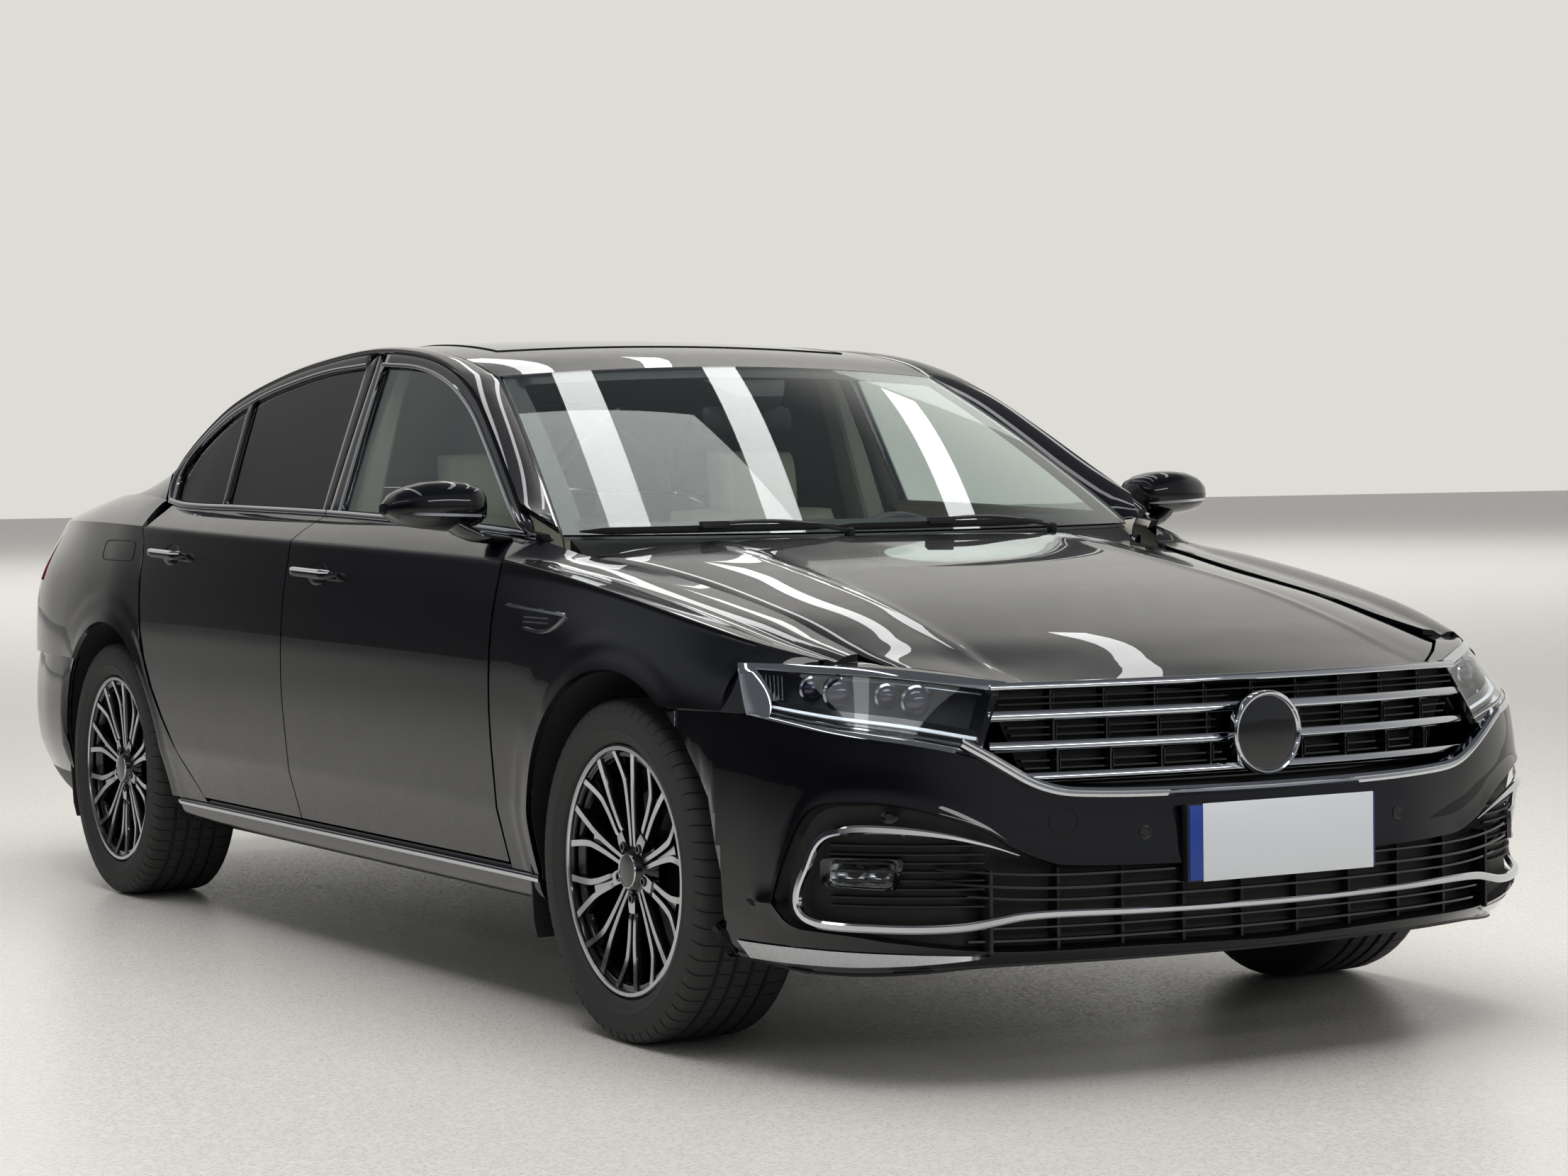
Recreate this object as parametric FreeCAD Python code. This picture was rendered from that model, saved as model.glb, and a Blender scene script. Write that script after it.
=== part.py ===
"""Four-door sedan car, drawn in millimetres, standing on its four wheels.

X runs across the car (the driver sits on +X), Y from the nose (-Y) to the tail (+Y), Z up from the
ground. The origin lies on the ground in the middle of the car's length and width.
"""
import FreeCAD, Part
import math
import os
from FreeCAD import Rotation, Vector

os.makedirs("parts", exist_ok=True)
doc = FreeCAD.newDocument("sedan")

# alias, value in millimetres or degrees, what it is
SIZES = [
    ("wheelbase", 3009, "front axle to rear axle"),
    ("front_overhang", 950, "front axle to the nose"),
    ("rear_overhang", 1115, "rear axle to the tail"),
    ("body_width", 1893, "over the body, without mirrors"),
    ("body_height", 1478, "ground to the roof's crown"),
    ("track", 1610, "between the wheels' middle planes"),
    ("tyre_radius", 345, "standing tyre"),
    ("tyre_width", 245, "section width"),
    ("rim_radius", 254.5, "outer edge of the rim's flange"),
    ("rim_depth", 22, "flange to barrel"),
    ("rim_wall", 7, "barrel wall"),
    ("hub_bore", 30, "hub bore in the rim, radius"),
    ("stub_clearance", 0.3, "stub axle inside the hub bore"),
    ("disc_radius", 165, "brake disc"),
    ("disc_thick", 26, "brake disc"),
    ("arch_radius", 405, "wheel arch opening"),
    ("liner_radius", 416, "inside of the arch liner"),
    ("liner_wall", 4, "arch liner wall"),
    ("kingpin_offset", 745, "steering axis from the middle of the car"),
    ("shut_gap", 6, "gap round doors and lids"),
    ("skin", 16, "panel with its stiffening"),
    ("lid_skin", 24, "bonnet and boot lid"),
    ("door_depth", 96, "door at its waist"),
    ("frame_depth", 26, "window frame of a door"),
    ("glass", 5, "window glass"),
    ("sill_height", 235, "ground to the underside of the sill"),
    ("floor_height", 205, "ground to the floor pan"),
    ("floor_thick", 30, "floor pan with its ribs"),
    ("bumper_wall", 34, "bumper skin and its foam"),
    ("seat_gap", 0.4, "between pieces that rest on each other"),
    ("screen_glass", 7, "windscreen and rear window, measured upright"),
    ("roof_edge", 12, "roof at its sides"),
    ("roof_thick", 30, "roof with its lining, in the middle"),
    ("bumper_low", 218, "ground to the bumpers"),
    ("tail_lamp_depth", 60, "tail lamp from its lens inwards"),
    ("bead_half", 96, "half width of the rim between its flanges"),
    ("tunnel_rise", 95, "tunnel above the floor"),
    ("column_radius", 24, "steering column"),
    ("hinge_reach", 860, "door hinge strap, out from the middle of the car"),
    ("wide_half", 941, "front door's half width at its hinges"),
    ("front_lean", 26, "door's front edge, drawn back at its inner face"),
    ("jack_pad", 10, "jacking pad below the sill"),
    ("wheel_rim_tube", 16, "steering wheel rim, radius of its tube"),
    ("steering_wheel_radius", 185, "steering wheel, to the tube's middle"),
]
sheet = doc.addObject("Spreadsheet::Sheet", "sizes")
for line, (alias, value, meaning) in enumerate(SIZES, start=1):
    sheet.set("A%d" % line, meaning)
    sheet.set("B%d" % line, str(value))
    sheet.setAlias("B%d" % line, alias)
doc.recompute()


class Named:
    """The sheet's cells as attributes."""

    def __getattr__(self, alias):
        return float(sheet.get(alias))


z = Named()
NOSE = -(z.wheelbase + z.front_overhang + z.rear_overhang) / 2
FRONT_AXLE = NOSE + z.front_overhang
REAR_AXLE = FRONT_AXLE + z.wheelbase
TAIL = -NOSE

# The tables below are drawn for these sizes, and place() stretches them to the sheet's.
DRAWN = {"nose": -2537, "front_axle": -1587, "rear_axle": 1422, "tail": 2537,
         "half_width": 946.5, "height": 1478}


def along(y):
    """Where a drawn lengthwise position lies on the car."""
    d = DRAWN
    if y < d["front_axle"]:
        return FRONT_AXLE + (y - d["front_axle"]) * z.front_overhang / 950
    if y > d["rear_axle"]:
        return REAR_AXLE + (y - d["rear_axle"]) * z.rear_overhang / 1115
    return FRONT_AXLE + (y - d["front_axle"]) * z.wheelbase / 3009


def place(x, y, h):
    """A drawn point on the car."""
    return Vector(x * z.body_width / 2 / DRAWN["half_width"], along(y), h * z.body_height / DRAWN["height"])


def smooth(table, at):
    """Rows of (station, value, value...), read between stations along a Catmull-Rom curve."""
    if at <= table[0][0]:
        return list(table[0][1:])
    if at >= table[-1][0]:
        return list(table[-1][1:])
    i = max(k for k in range(len(table) - 1) if table[k][0] <= at)
    a, b = table[i], table[i + 1]
    before, after = table[max(i - 1, 0)], table[min(i + 2, len(table) - 1)]
    span = b[0] - a[0]
    t = (at - a[0]) / span
    out = []
    for k in range(1, len(a)):
        slope_a = (b[k] - before[k]) / (b[0] - before[0]) * span
        slope_b = (after[k] - a[k]) / (after[0] - a[0]) * span
        out.append((2 * t**3 - 3 * t**2 + 1) * a[k] + (t**3 - 2 * t**2 + t) * slope_a
                   + (3 * t**2 - 2 * t**3) * b[k] + (t**3 - t**2) * slope_b)
    return out


# The car's side from sill to window: station y, then half widths at the sill, the low crease, the
# widest line, the upper door and the shoulder, the shoulder's height, and the belt's width and height.
SIDE = [
    (-2150, 868, 880, 890, 862, 772, 784, 692, 792),
    (-2000, 886, 902, 916, 894, 826, 812, 684, 822),
    (-1850, 896, 914, 934, 918, 858, 842, 678, 856),
    (-1587, 900, 926, 944, 932, 884, 888, 680, 900),
    (-1300, 897, 926, 942, 934, 897, 930, 706, 943),
    (-1120, 894, 926, 941, 934, 903, 950, 756, 968),
    (-1035, 893, 926, 941, 934, 905, 957, 815, 1001),
    (-450, 893, 927, 943, 936, 910, 973, 826, 1030),
    (130, 893, 928, 945, 938, 912, 986, 813, 1047),
    (700, 893, 928, 945, 938, 911, 1000, 807, 1057),
    (1150, 895, 928, 945, 937, 905, 1012, 804, 1065),
    (1422, 900, 930, 945, 934, 893, 1018, 782, 1090),
    (1850, 896, 920, 928, 908, 852, 1022, 716, 1094),
    (2200, 850, 868, 880, 862, 776, 1018, 648, 1076),
    (2400, 770, 786, 800, 786, 700, 1012, 610, 1060),
]
SILL_LINE, LOW_LINE, WIDE_LINE = 300, 428, 640
UPPER_SHARE = 0.55

# Upper edge of the side windows: station y, half width, height.
ROOF_EDGE = [
    (-1035, 842, 1012),
    (-830, 790, 1128),
    (-662, 748, 1226),
    (-496, 710, 1314),
    (-321, 683, 1380),
    (-122, 666, 1420),
    (184, 657, 1441),
    (474, 663, 1427),
    (763, 678, 1391),
    (1040, 704, 1327),
    (1200, 736, 1247),
    (1290, 775, 1160),
    (1330, 800, 1085),
]


def side_points(y):
    """The six points of the side's section at a drawn station, sill first."""
    sill, low, wide, upper, shoulder, shoulder_z, belt, belt_z = smooth(SIDE, y)
    upper_z = WIDE_LINE + UPPER_SHARE * (shoulder_z - WIDE_LINE)
    return [(sill, SILL_LINE), (low, LOW_LINE), (wide, WIDE_LINE), (upper, upper_z),
            (shoulder, shoulder_z), (belt, belt_z)]


def side_at(y, h):
    """Half width of the body's side at a drawn station and height."""
    points = side_points(y)
    for (x0, h0), (x1, h1) in zip(points, points[1:]):
        if h <= h1:
            return x0 + (x1 - x0) * (h - h0) / (h1 - h0)
    return points[-1][0]


def edges(points):
    """Edges of a closed ring: straight ones, and arcs where the middle point is given as (point,)."""
    out = []
    here = points[0]
    i = 1
    while i < len(points):
        if isinstance(points[i], tuple):
            out.append(Part.Arc(here, points[i][0], points[i + 1]).toShape())
            here = points[i + 1]
            i += 2
        else:
            out.append(Part.LineSegment(here, points[i]).toShape())
            here = points[i]
            i += 1
    out.append(Part.LineSegment(here, points[0]).toShape())
    return out


def wire(points):
    """Closed wire of a ring of points."""
    return Part.Wire(edges(points))


def loft(sections, ruled=False):
    """Solid through closed sections of equally many edges, each lying in a plane."""
    return Part.makeLoft([wire(s) for s in sections], True, ruled)


def panel(sections, ruled=False):
    """Solid through sections that needn't be flat: outer edges one way, as many inner ones back."""
    faces = Part.makeLoft([wire(s) for s in sections], False, ruled).Faces
    for ring in (sections[0], sections[-1]):
        around = edges(ring)
        half = len(around) // 2 - 1
        for i in range(half):
            faces.append(Part.makeRuledSurface(around[i], around[2 * half - i]))
    shell = Part.makeShell(faces)
    shell.sewShape()
    solid = Part.makeSolid(shell)
    if solid.Volume < 0:
        solid.reverse()
    return solid


def mirrored(shape):
    """The same piece on the other side of the car."""
    return shape.mirror(Vector(0, 0, 0), Vector(1, 0, 0))


def pair(shape):
    """A piece and its mirror image, which don't touch."""
    return Part.makeCompound([shape, mirrored(shape)])


def box(x0, x1, y0, y1, z0, z1):
    """Block between two corners on the car."""
    return Part.makeBox(x1 - x0, y1 - y0, z1 - z0, Vector(x0, y0, z0))


def disc(radius, x0, x1, y, h):
    """Cylinder along X."""
    return Part.makeCylinder(radius, x1 - x0, Vector(x0, y, h), Vector(1, 0, 0))


def post(radius, x, y, z0, z1):
    """Cylinder along Z."""
    return Part.makeCylinder(radius, z1 - z0, Vector(x, y, z0), Vector(0, 0, 1))


def bar(start, end, wide, high):
    """Straight bar of rectangular section between two points, its width across Y or X, its height upwards."""
    axis = (end - start).normalize()
    side = axis.cross(Vector(0, 0, 1))
    side = side.normalize() if side.Length > 0.1 else Vector(1, 0, 0)
    top = side.cross(axis).normalize()
    corners = []
    for point in (start, end):
        corners.append([point + side * (sx * wide / 2) + top * (sz * high / 2)
                        for sx, sz in ((-1, -1), (1, -1), (1, 1), (-1, 1))])
    return loft(corners, ruled=True)


def rod(start, end, radius):
    """Round rod between two points."""
    return Part.makeCylinder(radius, (end - start).Length, start, end - start)


def joined(shapes):
    """One solid of pieces that run into each other."""
    first, rest = shapes[0], shapes[1:]
    return first.multiFuse(rest).removeSplitter()


def probe(shape, x, y):
    """Lowest and highest point of a shape on the upright line at x, y, or None beside it."""
    line = Part.makeLine(Vector(x, y, 0), Vector(x, y, 3000)).common(shape)
    return (line.BoundBox.ZMin, line.BoundBox.ZMax) if line.Edges else None


def footprint(shape, x, y, half):
    """Lowest and highest point of a shape under the corners and the middle of a square on the plan."""
    found = [probe(shape, x + dx, y + dy) for dx in (-half, 0, half) for dy in (-half, 0, half)]
    found = [pair_of for pair_of in found if pair_of]
    return min(low for low, _ in found), max(high for _, high in found)


made = []


def keep(name, shape):
    """Adds a finished sub-part to the document."""
    feature = doc.addObject("Part::Feature", name)
    feature.Label = name
    feature.Shape = shape
    made.append(feature)
    return feature


def inset(points, depth):
    """A section's points moved towards the inside of the car by depth, square to the line through their neighbours."""
    out = []
    for i, (x, h) in enumerate(points):
        x0, h0 = points[max(i - 1, 0)]
        x1, h1 = points[min(i + 1, len(points) - 1)]
        length = math.hypot(x1 - x0, h1 - h0)
        out.append((x - (h1 - h0) / length * depth, h + (x1 - x0) / length * depth))
    return out


def skin_section(y_of, points, depth):
    """Closed section of a side panel: its outer points from the bottom up, then the inner ones back down."""
    inner = inset(points, depth)
    ring = points + inner[::-1]
    return [place(x, y_of(h), h) for x, h in ring]


# Doors. The shut lines are rows of (height, y), from the sill up.
FRONT_SHUT = [(290, -1035), (800, -1035), (960, -1037), (1000, -1050), (1500, -1050)]
MIDDLE_SHUT = [(290, 130), (900, 130), (1050, 134), (1500, 166)]
REAR_SHUT = [(290, 770), (346, 823), (440, 925), (540, 1017), (640, 1085), (744, 1127), (860, 1146),
             (960, 1158), (1010, 1200), (1066, 1284), (1120, 1312), (1500, 1312)]


def line_at(line, h):
    """A shut line's y at a height, straight between its rows."""
    for (h0, y0), (h1, y1) in zip(line, line[1:]):
        if h <= h1:
            return y0 + (y1 - y0) * (h - h0) / (h1 - h0)
    return line[-1][1]


def door_section(front, rear, share, lean, trim):
    """One upright section of a door, at a share of the way from its front to its rear shut line.

    lean is how far the inner face draws back from the outer one at this end, so that the door's edge
    swings clear of its neighbour, and trim pulls the whole section away from the shut line.
    """
    levels = [SILL_LINE + 12, LOW_LINE, WIDE_LINE, side_points(line_at(front, 800))[3][1]]
    outer = []
    for h in levels:
        y = line_at(front, h) + (line_at(rear, h) - line_at(front, h)) * share + trim
        outer.append((side_at(y, h), y, h))
    y = line_at(front, 975) + (line_at(rear, 975) - line_at(front, 975)) * share + trim
    points = side_points(y)
    outer.append((points[4][0], y, points[4][1]))
    y = line_at(front, 1045) + (line_at(rear, 1045) - line_at(front, 1045)) * share + trim
    belt, belt_z = side_points(y)[5]
    outer.append((belt, y, belt_z))
    top_front, top_rear = line_at(front, 1500) + 20, line_at(rear, 1500) - 10
    y_top = top_front + (top_rear - top_front) * share + trim
    roof_x, roof_z = smooth(ROOF_EDGE, y_top)
    roof_z = max(roof_z, belt_z + z.shut_gap)
    outer.append((roof_x, y_top, roof_z))
    depths = [z.door_depth * 0.8, z.door_depth, z.door_depth, z.door_depth, z.door_depth - 30, z.frame_depth + 4, z.frame_depth]
    inner = [(x - d, y + lean * min(1, d / z.door_depth), h) for (x, y, h), d in zip(outer, depths)]
    inner[4] = (min(inner[4][0], inner[3][0]), inner[4][1], inner[4][2])
    ring = outer + inner[::-1]
    return [place(x, y, h) for x, y, h in ring]


def door(front, rear, lean_front, lean_rear, shares):
    """A whole door without its window openings."""
    half = z.shut_gap / 2
    sections = []
    for share in shares:
        lean = lean_front * (1 - share) + lean_rear * share
        trim = half * (1 - 2 * share)
        sections.append(door_section(front, rear, share, lean, trim))
    return panel(sections)


def window_prism(outline):
    """Block through the whole side, of a window's outline in side view."""
    points = [place(500, y, h) for y, h in outline]
    face = Part.Face(wire(points))
    return face.extrude(Vector(450, 0, 0))


def pane(shape_sections, outline):
    """Glass of a door, cut to its window's outline."""
    return panel(shape_sections).common(window_prism(outline))


# Window outlines in side view: (y, height).
FRONT_WINDOW = [(-985, 1018), (-830, 1104), (-662, 1200), (-496, 1288), (-321, 1354), (-122, 1394),
                (110, 1410), (60, 1052), (-450, 1042)]
REAR_WINDOW = [(178, 1056), (215, 1412), (474, 1400), (763, 1364), (900, 1335), (845, 1068)]
QUARTER_LIGHT = [(868, 1070), (926, 1328), (1040, 1294), (1190, 1215), (1246, 1150), (1238, 1078)]


def glass_section(front, rear, share, trim):
    """Section of the sheet of glass that a door's window is cut from."""
    y = line_at(front, 1045) + (line_at(rear, 1045) - line_at(front, 1045)) * share + trim
    belt, belt_z = side_points(y)[5]
    top_front, top_rear = line_at(front, 1500) + 20, line_at(rear, 1500) - 10
    y_top = top_front + (top_rear - top_front) * share + trim
    roof_x, roof_z = smooth(ROOF_EDGE, y_top)
    roof_z = max(roof_z, belt_z + z.shut_gap)
    setback = 12
    low, high = (belt - setback, y, belt_z), (roof_x - setback, y_top, roof_z)
    ring = [low, high, (high[0] - z.glass, high[1], high[2]), (low[0] - z.glass, low[1], low[2])]
    return [place(*p) for p in ring]


SHARES_FRONT = [0, 0.12, 0.3, 0.5, 0.75, 1]
SHARES_REAR = [0, 0.25, 0.5, 0.75, 0.9, 1]


def door_and_glass(front, rear, lean_front, lean_rear, shares, windows):
    """A door with its window openings, and its glass."""
    body = door(front, rear, lean_front, lean_rear, shares)
    glass = panel([glass_section(front, rear, s, z.shut_gap / 2 * (1 - 2 * s)) for s in shares])
    panes = []
    for outline in windows:
        prism = window_prism(outline)
        body = body.cut(prism)
        panes.append(glass.common(prism))
    return body, Part.makeCompound(panes)


front_door, front_glass = door_and_glass(FRONT_SHUT, MIDDLE_SHUT, z.front_lean, -60, SHARES_FRONT, [FRONT_WINDOW])
rear_door, rear_glass = door_and_glass(MIDDLE_SHUT, REAR_SHUT, z.front_lean, -60, SHARES_REAR, [REAR_WINDOW, QUARTER_LIGHT])
for side, turn in (("left", False), ("right", True)):
    for name, shape in (("door_front_", front_door), ("door_rear_", rear_door),
                        ("glass_front_", front_glass), ("glass_rear_", rear_glass)):
        keep(name + side, mirrored(shape) if turn else shape)


# Fenders and quarter panels: skins of the side beyond the doors, with the wheel arches cut out.
def side_skin(stations, shut, shut_end, ruled=False):
    """Panel of the side through stations, following a shut line at one end."""
    sections = []
    for y in stations:
        points = side_points(y)
        at_shut = y == shut_end
        ring_outer = [(x, line_at(shut, h) if at_shut else y, h) for x, h in points]
        inner = inset(points, z.skin)
        ring_inner = [(x, line_at(shut, min(h, 1500)) if at_shut else y, h) for x, h in inner]
        sections.append([place(*p) for p in ring_outer + ring_inner[::-1]])
    return panel(sections, ruled)


arch_front = disc(z.arch_radius, -1200, 1200, FRONT_AXLE, z.tyre_radius)
arch_rear = disc(z.arch_radius, -1200, 1200, REAR_AXLE, z.tyre_radius)
FRONT_SEAM, REAR_SEAM, LAMP_SHELF = 688, 640, 776
fender_shut = [(h, y - z.shut_gap) for h, y in FRONT_SHUT]
fender = side_skin([-2150, -2000, -1850, -1587, -1300, -1120, -1035], fender_shut, -1035).cut(arch_front)
fender = fender.cut(box(0, 1200, along(-2300), FRONT_AXLE, 0, place(0, 0, FRONT_SEAM).z))
fender = fender.cut(box(0, 1200, along(-2300), along(-1996), 0, place(0, 0, LAMP_SHELF).z))
keep("fenders", pair(fender))

# The quarter panel turns round the rear corner on quarter ellipses.
CORNER_Y, CORNER_X = 2400, 602


def corner_point(x, h, turn):
    """Point of the rear corner that starts at half width x, turned by an angle in degrees."""
    deep = 0.42 * (x - CORNER_X) + 18
    c, q = math.cos(math.radians(turn)), math.sin(math.radians(turn))
    return CORNER_X + (x - CORNER_X) * c, CORNER_Y + deep * q, h


def rear_corner_section(turn):
    """Section of the quarter panel on the rear corner, turned by an angle in degrees."""
    points = side_points(CORNER_Y)
    q = math.sin(math.radians(turn))
    ring = [corner_point(x, h, turn) for x, h in points]
    back = [(x, y - z.skin * q, h) for x, y, h in (corner_point(x, h, turn) for x, h in inset(points, z.skin))]
    return [place(*p) for p in ring + back[::-1]]


quarter_shut = [(h, y + z.shut_gap) for h, y in REAR_SHUT]
quarter_front = side_skin([1150, 1422], quarter_shut, 1150, ruled=True)
quarter_side = joined([quarter_front, side_skin([1422, 1700, 1980, 2200, CORNER_Y], quarter_shut, None)]).cut(arch_rear)
quarter_corner = panel([rear_corner_section(turn) for turn in (0, 35, 65, 90)])
TAIL_LOW, TAIL_HIGH, TAIL_FRONT = 848, 992, 2150
seat_gap = z.seat_gap
bumper_space = box(0, 1200, REAR_AXLE, along(2700), 0, place(0, 0, REAR_SEAM).z)
lamp_space = box(0, 1200, along(TAIL_FRONT) - seat_gap, along(2700), place(0, 0, TAIL_LOW).z - seat_gap,
                 place(0, 0, TAIL_HIGH).z + seat_gap)
quarter = [piece.cut(bumper_space).cut(lamp_space) for piece in (quarter_side, quarter_corner)]
quarter_low_edge = quarter[1].translated(Vector(0, 0, -seat_gap))
keep("quarter_panels", pair(joined(quarter)))

# Windscreen and rear window, each a lower and an upper edge: half width, y in the middle and at the
# side, height in the middle and at the side.
WINDSCREEN = ((745, -1150, -1010, 1000, 1004), (590, -452, -392, 1388, 1366))
REAR_WINDOW_EDGES = ((600, 1880, 1790, 1112, 1098), (560, 1196, 1246, 1378, 1338))
BULGE = 16


def screen(low, high, thick):
    """Curved sheet of glass between a lower and an upper edge."""
    sections = []
    for share in (-1, -0.5, 0, 0.5, 1):
        ends = []
        for half, y_mid, y_side, h_mid, h_side in (low, high):
            fall = share * share
            ends.append(place(half * share, y_mid + (y_side - y_mid) * fall, h_mid + (h_side - h_mid) * fall))
        bulge = (ends[0] + ends[1]) * 0.5 + Vector(0, 0, BULGE)
        under = Vector(0, 0, -thick)
        sections.append([ends[0], (bulge,), ends[1], ends[1] + under, (bulge + under,), ends[0] + under])
    return panel(sections)


def screen_edge(low, high, y):
    """Side edge of a screen at a drawn station: half width and height."""
    t = (y - low[2]) / (high[2] - low[2])
    return low[0] + t * (high[0] - low[0]), low[4] + t * (high[4] - low[4]) + 4 * BULGE * t * (1 - t)


windscreen = screen(*WINDSCREEN, z.screen_glass)
rear_window = screen(*REAR_WINDOW_EDGES, z.screen_glass)
keep("windscreen", windscreen)
keep("rear_window", rear_window)

# Roof: arcs across the car. y at the side, y in the middle, half width, edge height, middle height.
ROOF = [
    (-386, -446, 598, 1369, 1393),
    (-240, -260, 604, 1412, 1436),
    (0, 0, 604, 1446, 1466),
    (250, 250, 602, 1456, 1478),
    (600, 600, 610, 1438, 1464),
    (900, 900, 616, 1396, 1430),
    (1090, 1080, 604, 1362, 1402),
    (1240, 1190, 568, 1341, 1381),
]


def roof_section(y_side, y_mid, half, edge, middle):
    """Closed arc section of the roof."""
    thin, deep = z.roof_edge, z.roof_thick
    return [place(-half, y_side, edge), (place(0, y_mid, middle),), place(half, y_side, edge),
            place(half, y_side, edge - thin), (place(0, y_mid, middle - deep),), place(-half, y_side, edge - thin)]


roof = panel([roof_section(*row) for row in ROOF])
fin_base = place(0, 880, 1425)
fin = loft([[fin_base + Vector(dx, dy, dz) for dx, dy, dz in ring] for ring in (
    [(-18, -62, 0), (18, -62, 0), (18, 72, 0), (-18, 72, 0)],
    [(-10, -10, 30), (10, -10, 30), (10, 66, 30), (-10, 66, 30)],
    [(-4, 34, 62), (4, 34, 62), (4, 58, 62), (-4, 58, 62)])], ruled=True)
keep("roof", joined([roof, fin]))


# Side frames. The rail runs from the foot of the windscreen along the roof to the boot, its outer
# line over the door or the quarter panel and its inner line beside the screens and the roof.
DOOR_CORNER = 1302
PILLAR_FRONT = 1326
# In front of this station the rail draws in, behind the door's sail.
SAIL_REAR = -940


def inner_line(y):
    """The rail's inner edge at a drawn station, and the depth of the flange that carries its neighbour."""
    if y < ROOF[0][0]:
        x, h = screen_edge(*WINDSCREEN, y)
        return x + 5, h, z.screen_glass + seat_gap
    if y > ROOF[-1][0]:
        x, h = screen_edge(*REAR_WINDOW_EDGES, y)
        return x + 5, h, z.screen_glass + seat_gap
    half, edge = smooth([(row[0], row[2], row[3]) for row in ROOF], y)
    return half + 4, edge, z.roof_edge + seat_gap


def rail_section(y, bulge):
    """Closed section of the rail at a drawn station."""
    xi, hi, flange = inner_line(y)
    tuck = max(0, (SAIL_REAR - y) / 90)
    if y >= PILLAR_FRONT:
        points = side_points(y)
        (x0, h0), (x1, h1) = points[4], points[5]
        length = math.hypot(x1 - x0, h1 - h0)
        outer = (x1 + (x1 - x0) / length, h1 + (h1 - h0) / length)
        lip = z.skin
    else:
        xo, ho = smooth(ROOF_EDGE, min(y, DOOR_CORNER))
        outer = (xo - z.shut_gap - 66 * tuck, ho + 2 * z.shut_gap)
        lip = z.shut_gap
    length = math.hypot(xi - outer[0], hi - outer[1])
    sx, sz = (xi - outer[0]) / length, (hi - outer[1]) / length
    nx, nz = -sz, sx

    def at(base, along_face, inward):
        return base[0] + sx * along_face + nx * inward, base[1] + sz * along_face + nz * inward

    inner = (xi, hi)
    ledge = (xi, hi - flange)
    toe = (xi - 17, hi - flange)
    shoulder_in = at(outer, 0, lip)
    step = at(shoulder_in, 38 - 32 * tuck, 0)
    middle = at(((outer[0] + xi) / 2, (outer[1] + hi) / 2), 0, -bulge)
    ring = [at(toe, 0, 24 - 16 * tuck), at(step, 0, 30 - 22 * tuck), step, shoulder_in, outer, (middle,), inner, ledge, toe]
    return [place(p[0][0], y, p[0][1]) if len(p) == 1 else place(p[0], y, p[1]) for p in ring], middle


def rail(stations, bulge, ruled=False):
    """Stretch of the rail through drawn stations."""
    sections = []
    for y in stations:
        ring, middle = rail_section(y, bulge)
        ring[5] = (place(middle[0], y, middle[1]),)
        sections.append(ring)
    return loft(sections, ruled)


rail_pieces = [rail((-1030, SAIL_REAR), 4, ruled=True),
               rail((SAIL_REAR, -800, -660, -520, -420), 4),
               rail((-420, -386), 4, ruled=True),
               rail((-386, -240, 0, 250, 600, 900, 1090, 1190, 1240), 3),
               rail((1240, DOOR_CORNER), 6, ruled=True),
               rail((DOOR_CORNER, 1318), 6, ruled=True),
               rail((1318, PILLAR_FRONT), 6, ruled=True),
               rail((PILLAR_FRONT, 1422, 1560, 1700, 1786), 6)]
front_edge, rear_edge = along(FRONT_SHUT[0][1]), along(MIDDLE_SHUT[0][1])
sill = loft([[place(700, y, z.sill_height), place(868, y, z.sill_height), place(892, y, SILL_LINE - 8),
              place(792, y, SILL_LINE - 2), place(780, y, 390), place(700, y, 390)]
             for y in (-1160, 0, 960)], ruled=True)
b_low = [place(x, y, 380) for x, y in ((715, 70), (790, 70), (790, 230), (715, 230))]
b_belt = [place(x, y, 1010) for x, y in ((700, 90), (766, 90), (766, 200), (700, 200))]
b_top = [place(x, y, 1425) for x, y in ((575, 110), (612, 110), (612, 210), (575, 210))]
pillars = [
    box(place(700, 0, 0).x, place(784, 0, 0).x, along(-1160), along(-1022), 300, 850),
    box(place(746, 0, 0).x, place(774, 0, 0).x, along(-1036), along(-1000), 800, place(0, 0, 985).z),
    loft([b_low, b_belt], ruled=True), loft([b_belt, b_top], ruled=True)]
hinge_straps = []
for shut, inner_x in ((FRONT_SHUT, 700), (MIDDLE_SHUT, 760)):
    edge = line_at(shut, 500) + z.shut_gap / 2
    reach = z.hinge_reach
    for h in (450, 750):
        nearest = min(side_at(edge, h), side_at(edge, h + 50))
        y_face = edge + z.front_lean * (nearest - reach) / z.door_depth
        hinge_straps.append(box(inner_x, reach, along(y_face) - 45, along(y_face) - 2 * seat_gap, h, h + 50))
jack_pads = [box(790, 850, along(y) - 40, along(y) + 40, z.sill_height - z.jack_pad, z.sill_height + 5)
             for y in (-860, 740)]
frame_side = joined(rail_pieces + [sill] + pillars + hinge_straps + jack_pads)
lowered_roof = roof.translated(Vector(0, 0, -seat_gap))
frame_side = frame_side.cut(lowered_roof).cut(quarter_side).cut(quarter_side.translated(Vector(-seat_gap, 0, -seat_gap)))
keep("side_frames", pair(frame_side))


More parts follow.
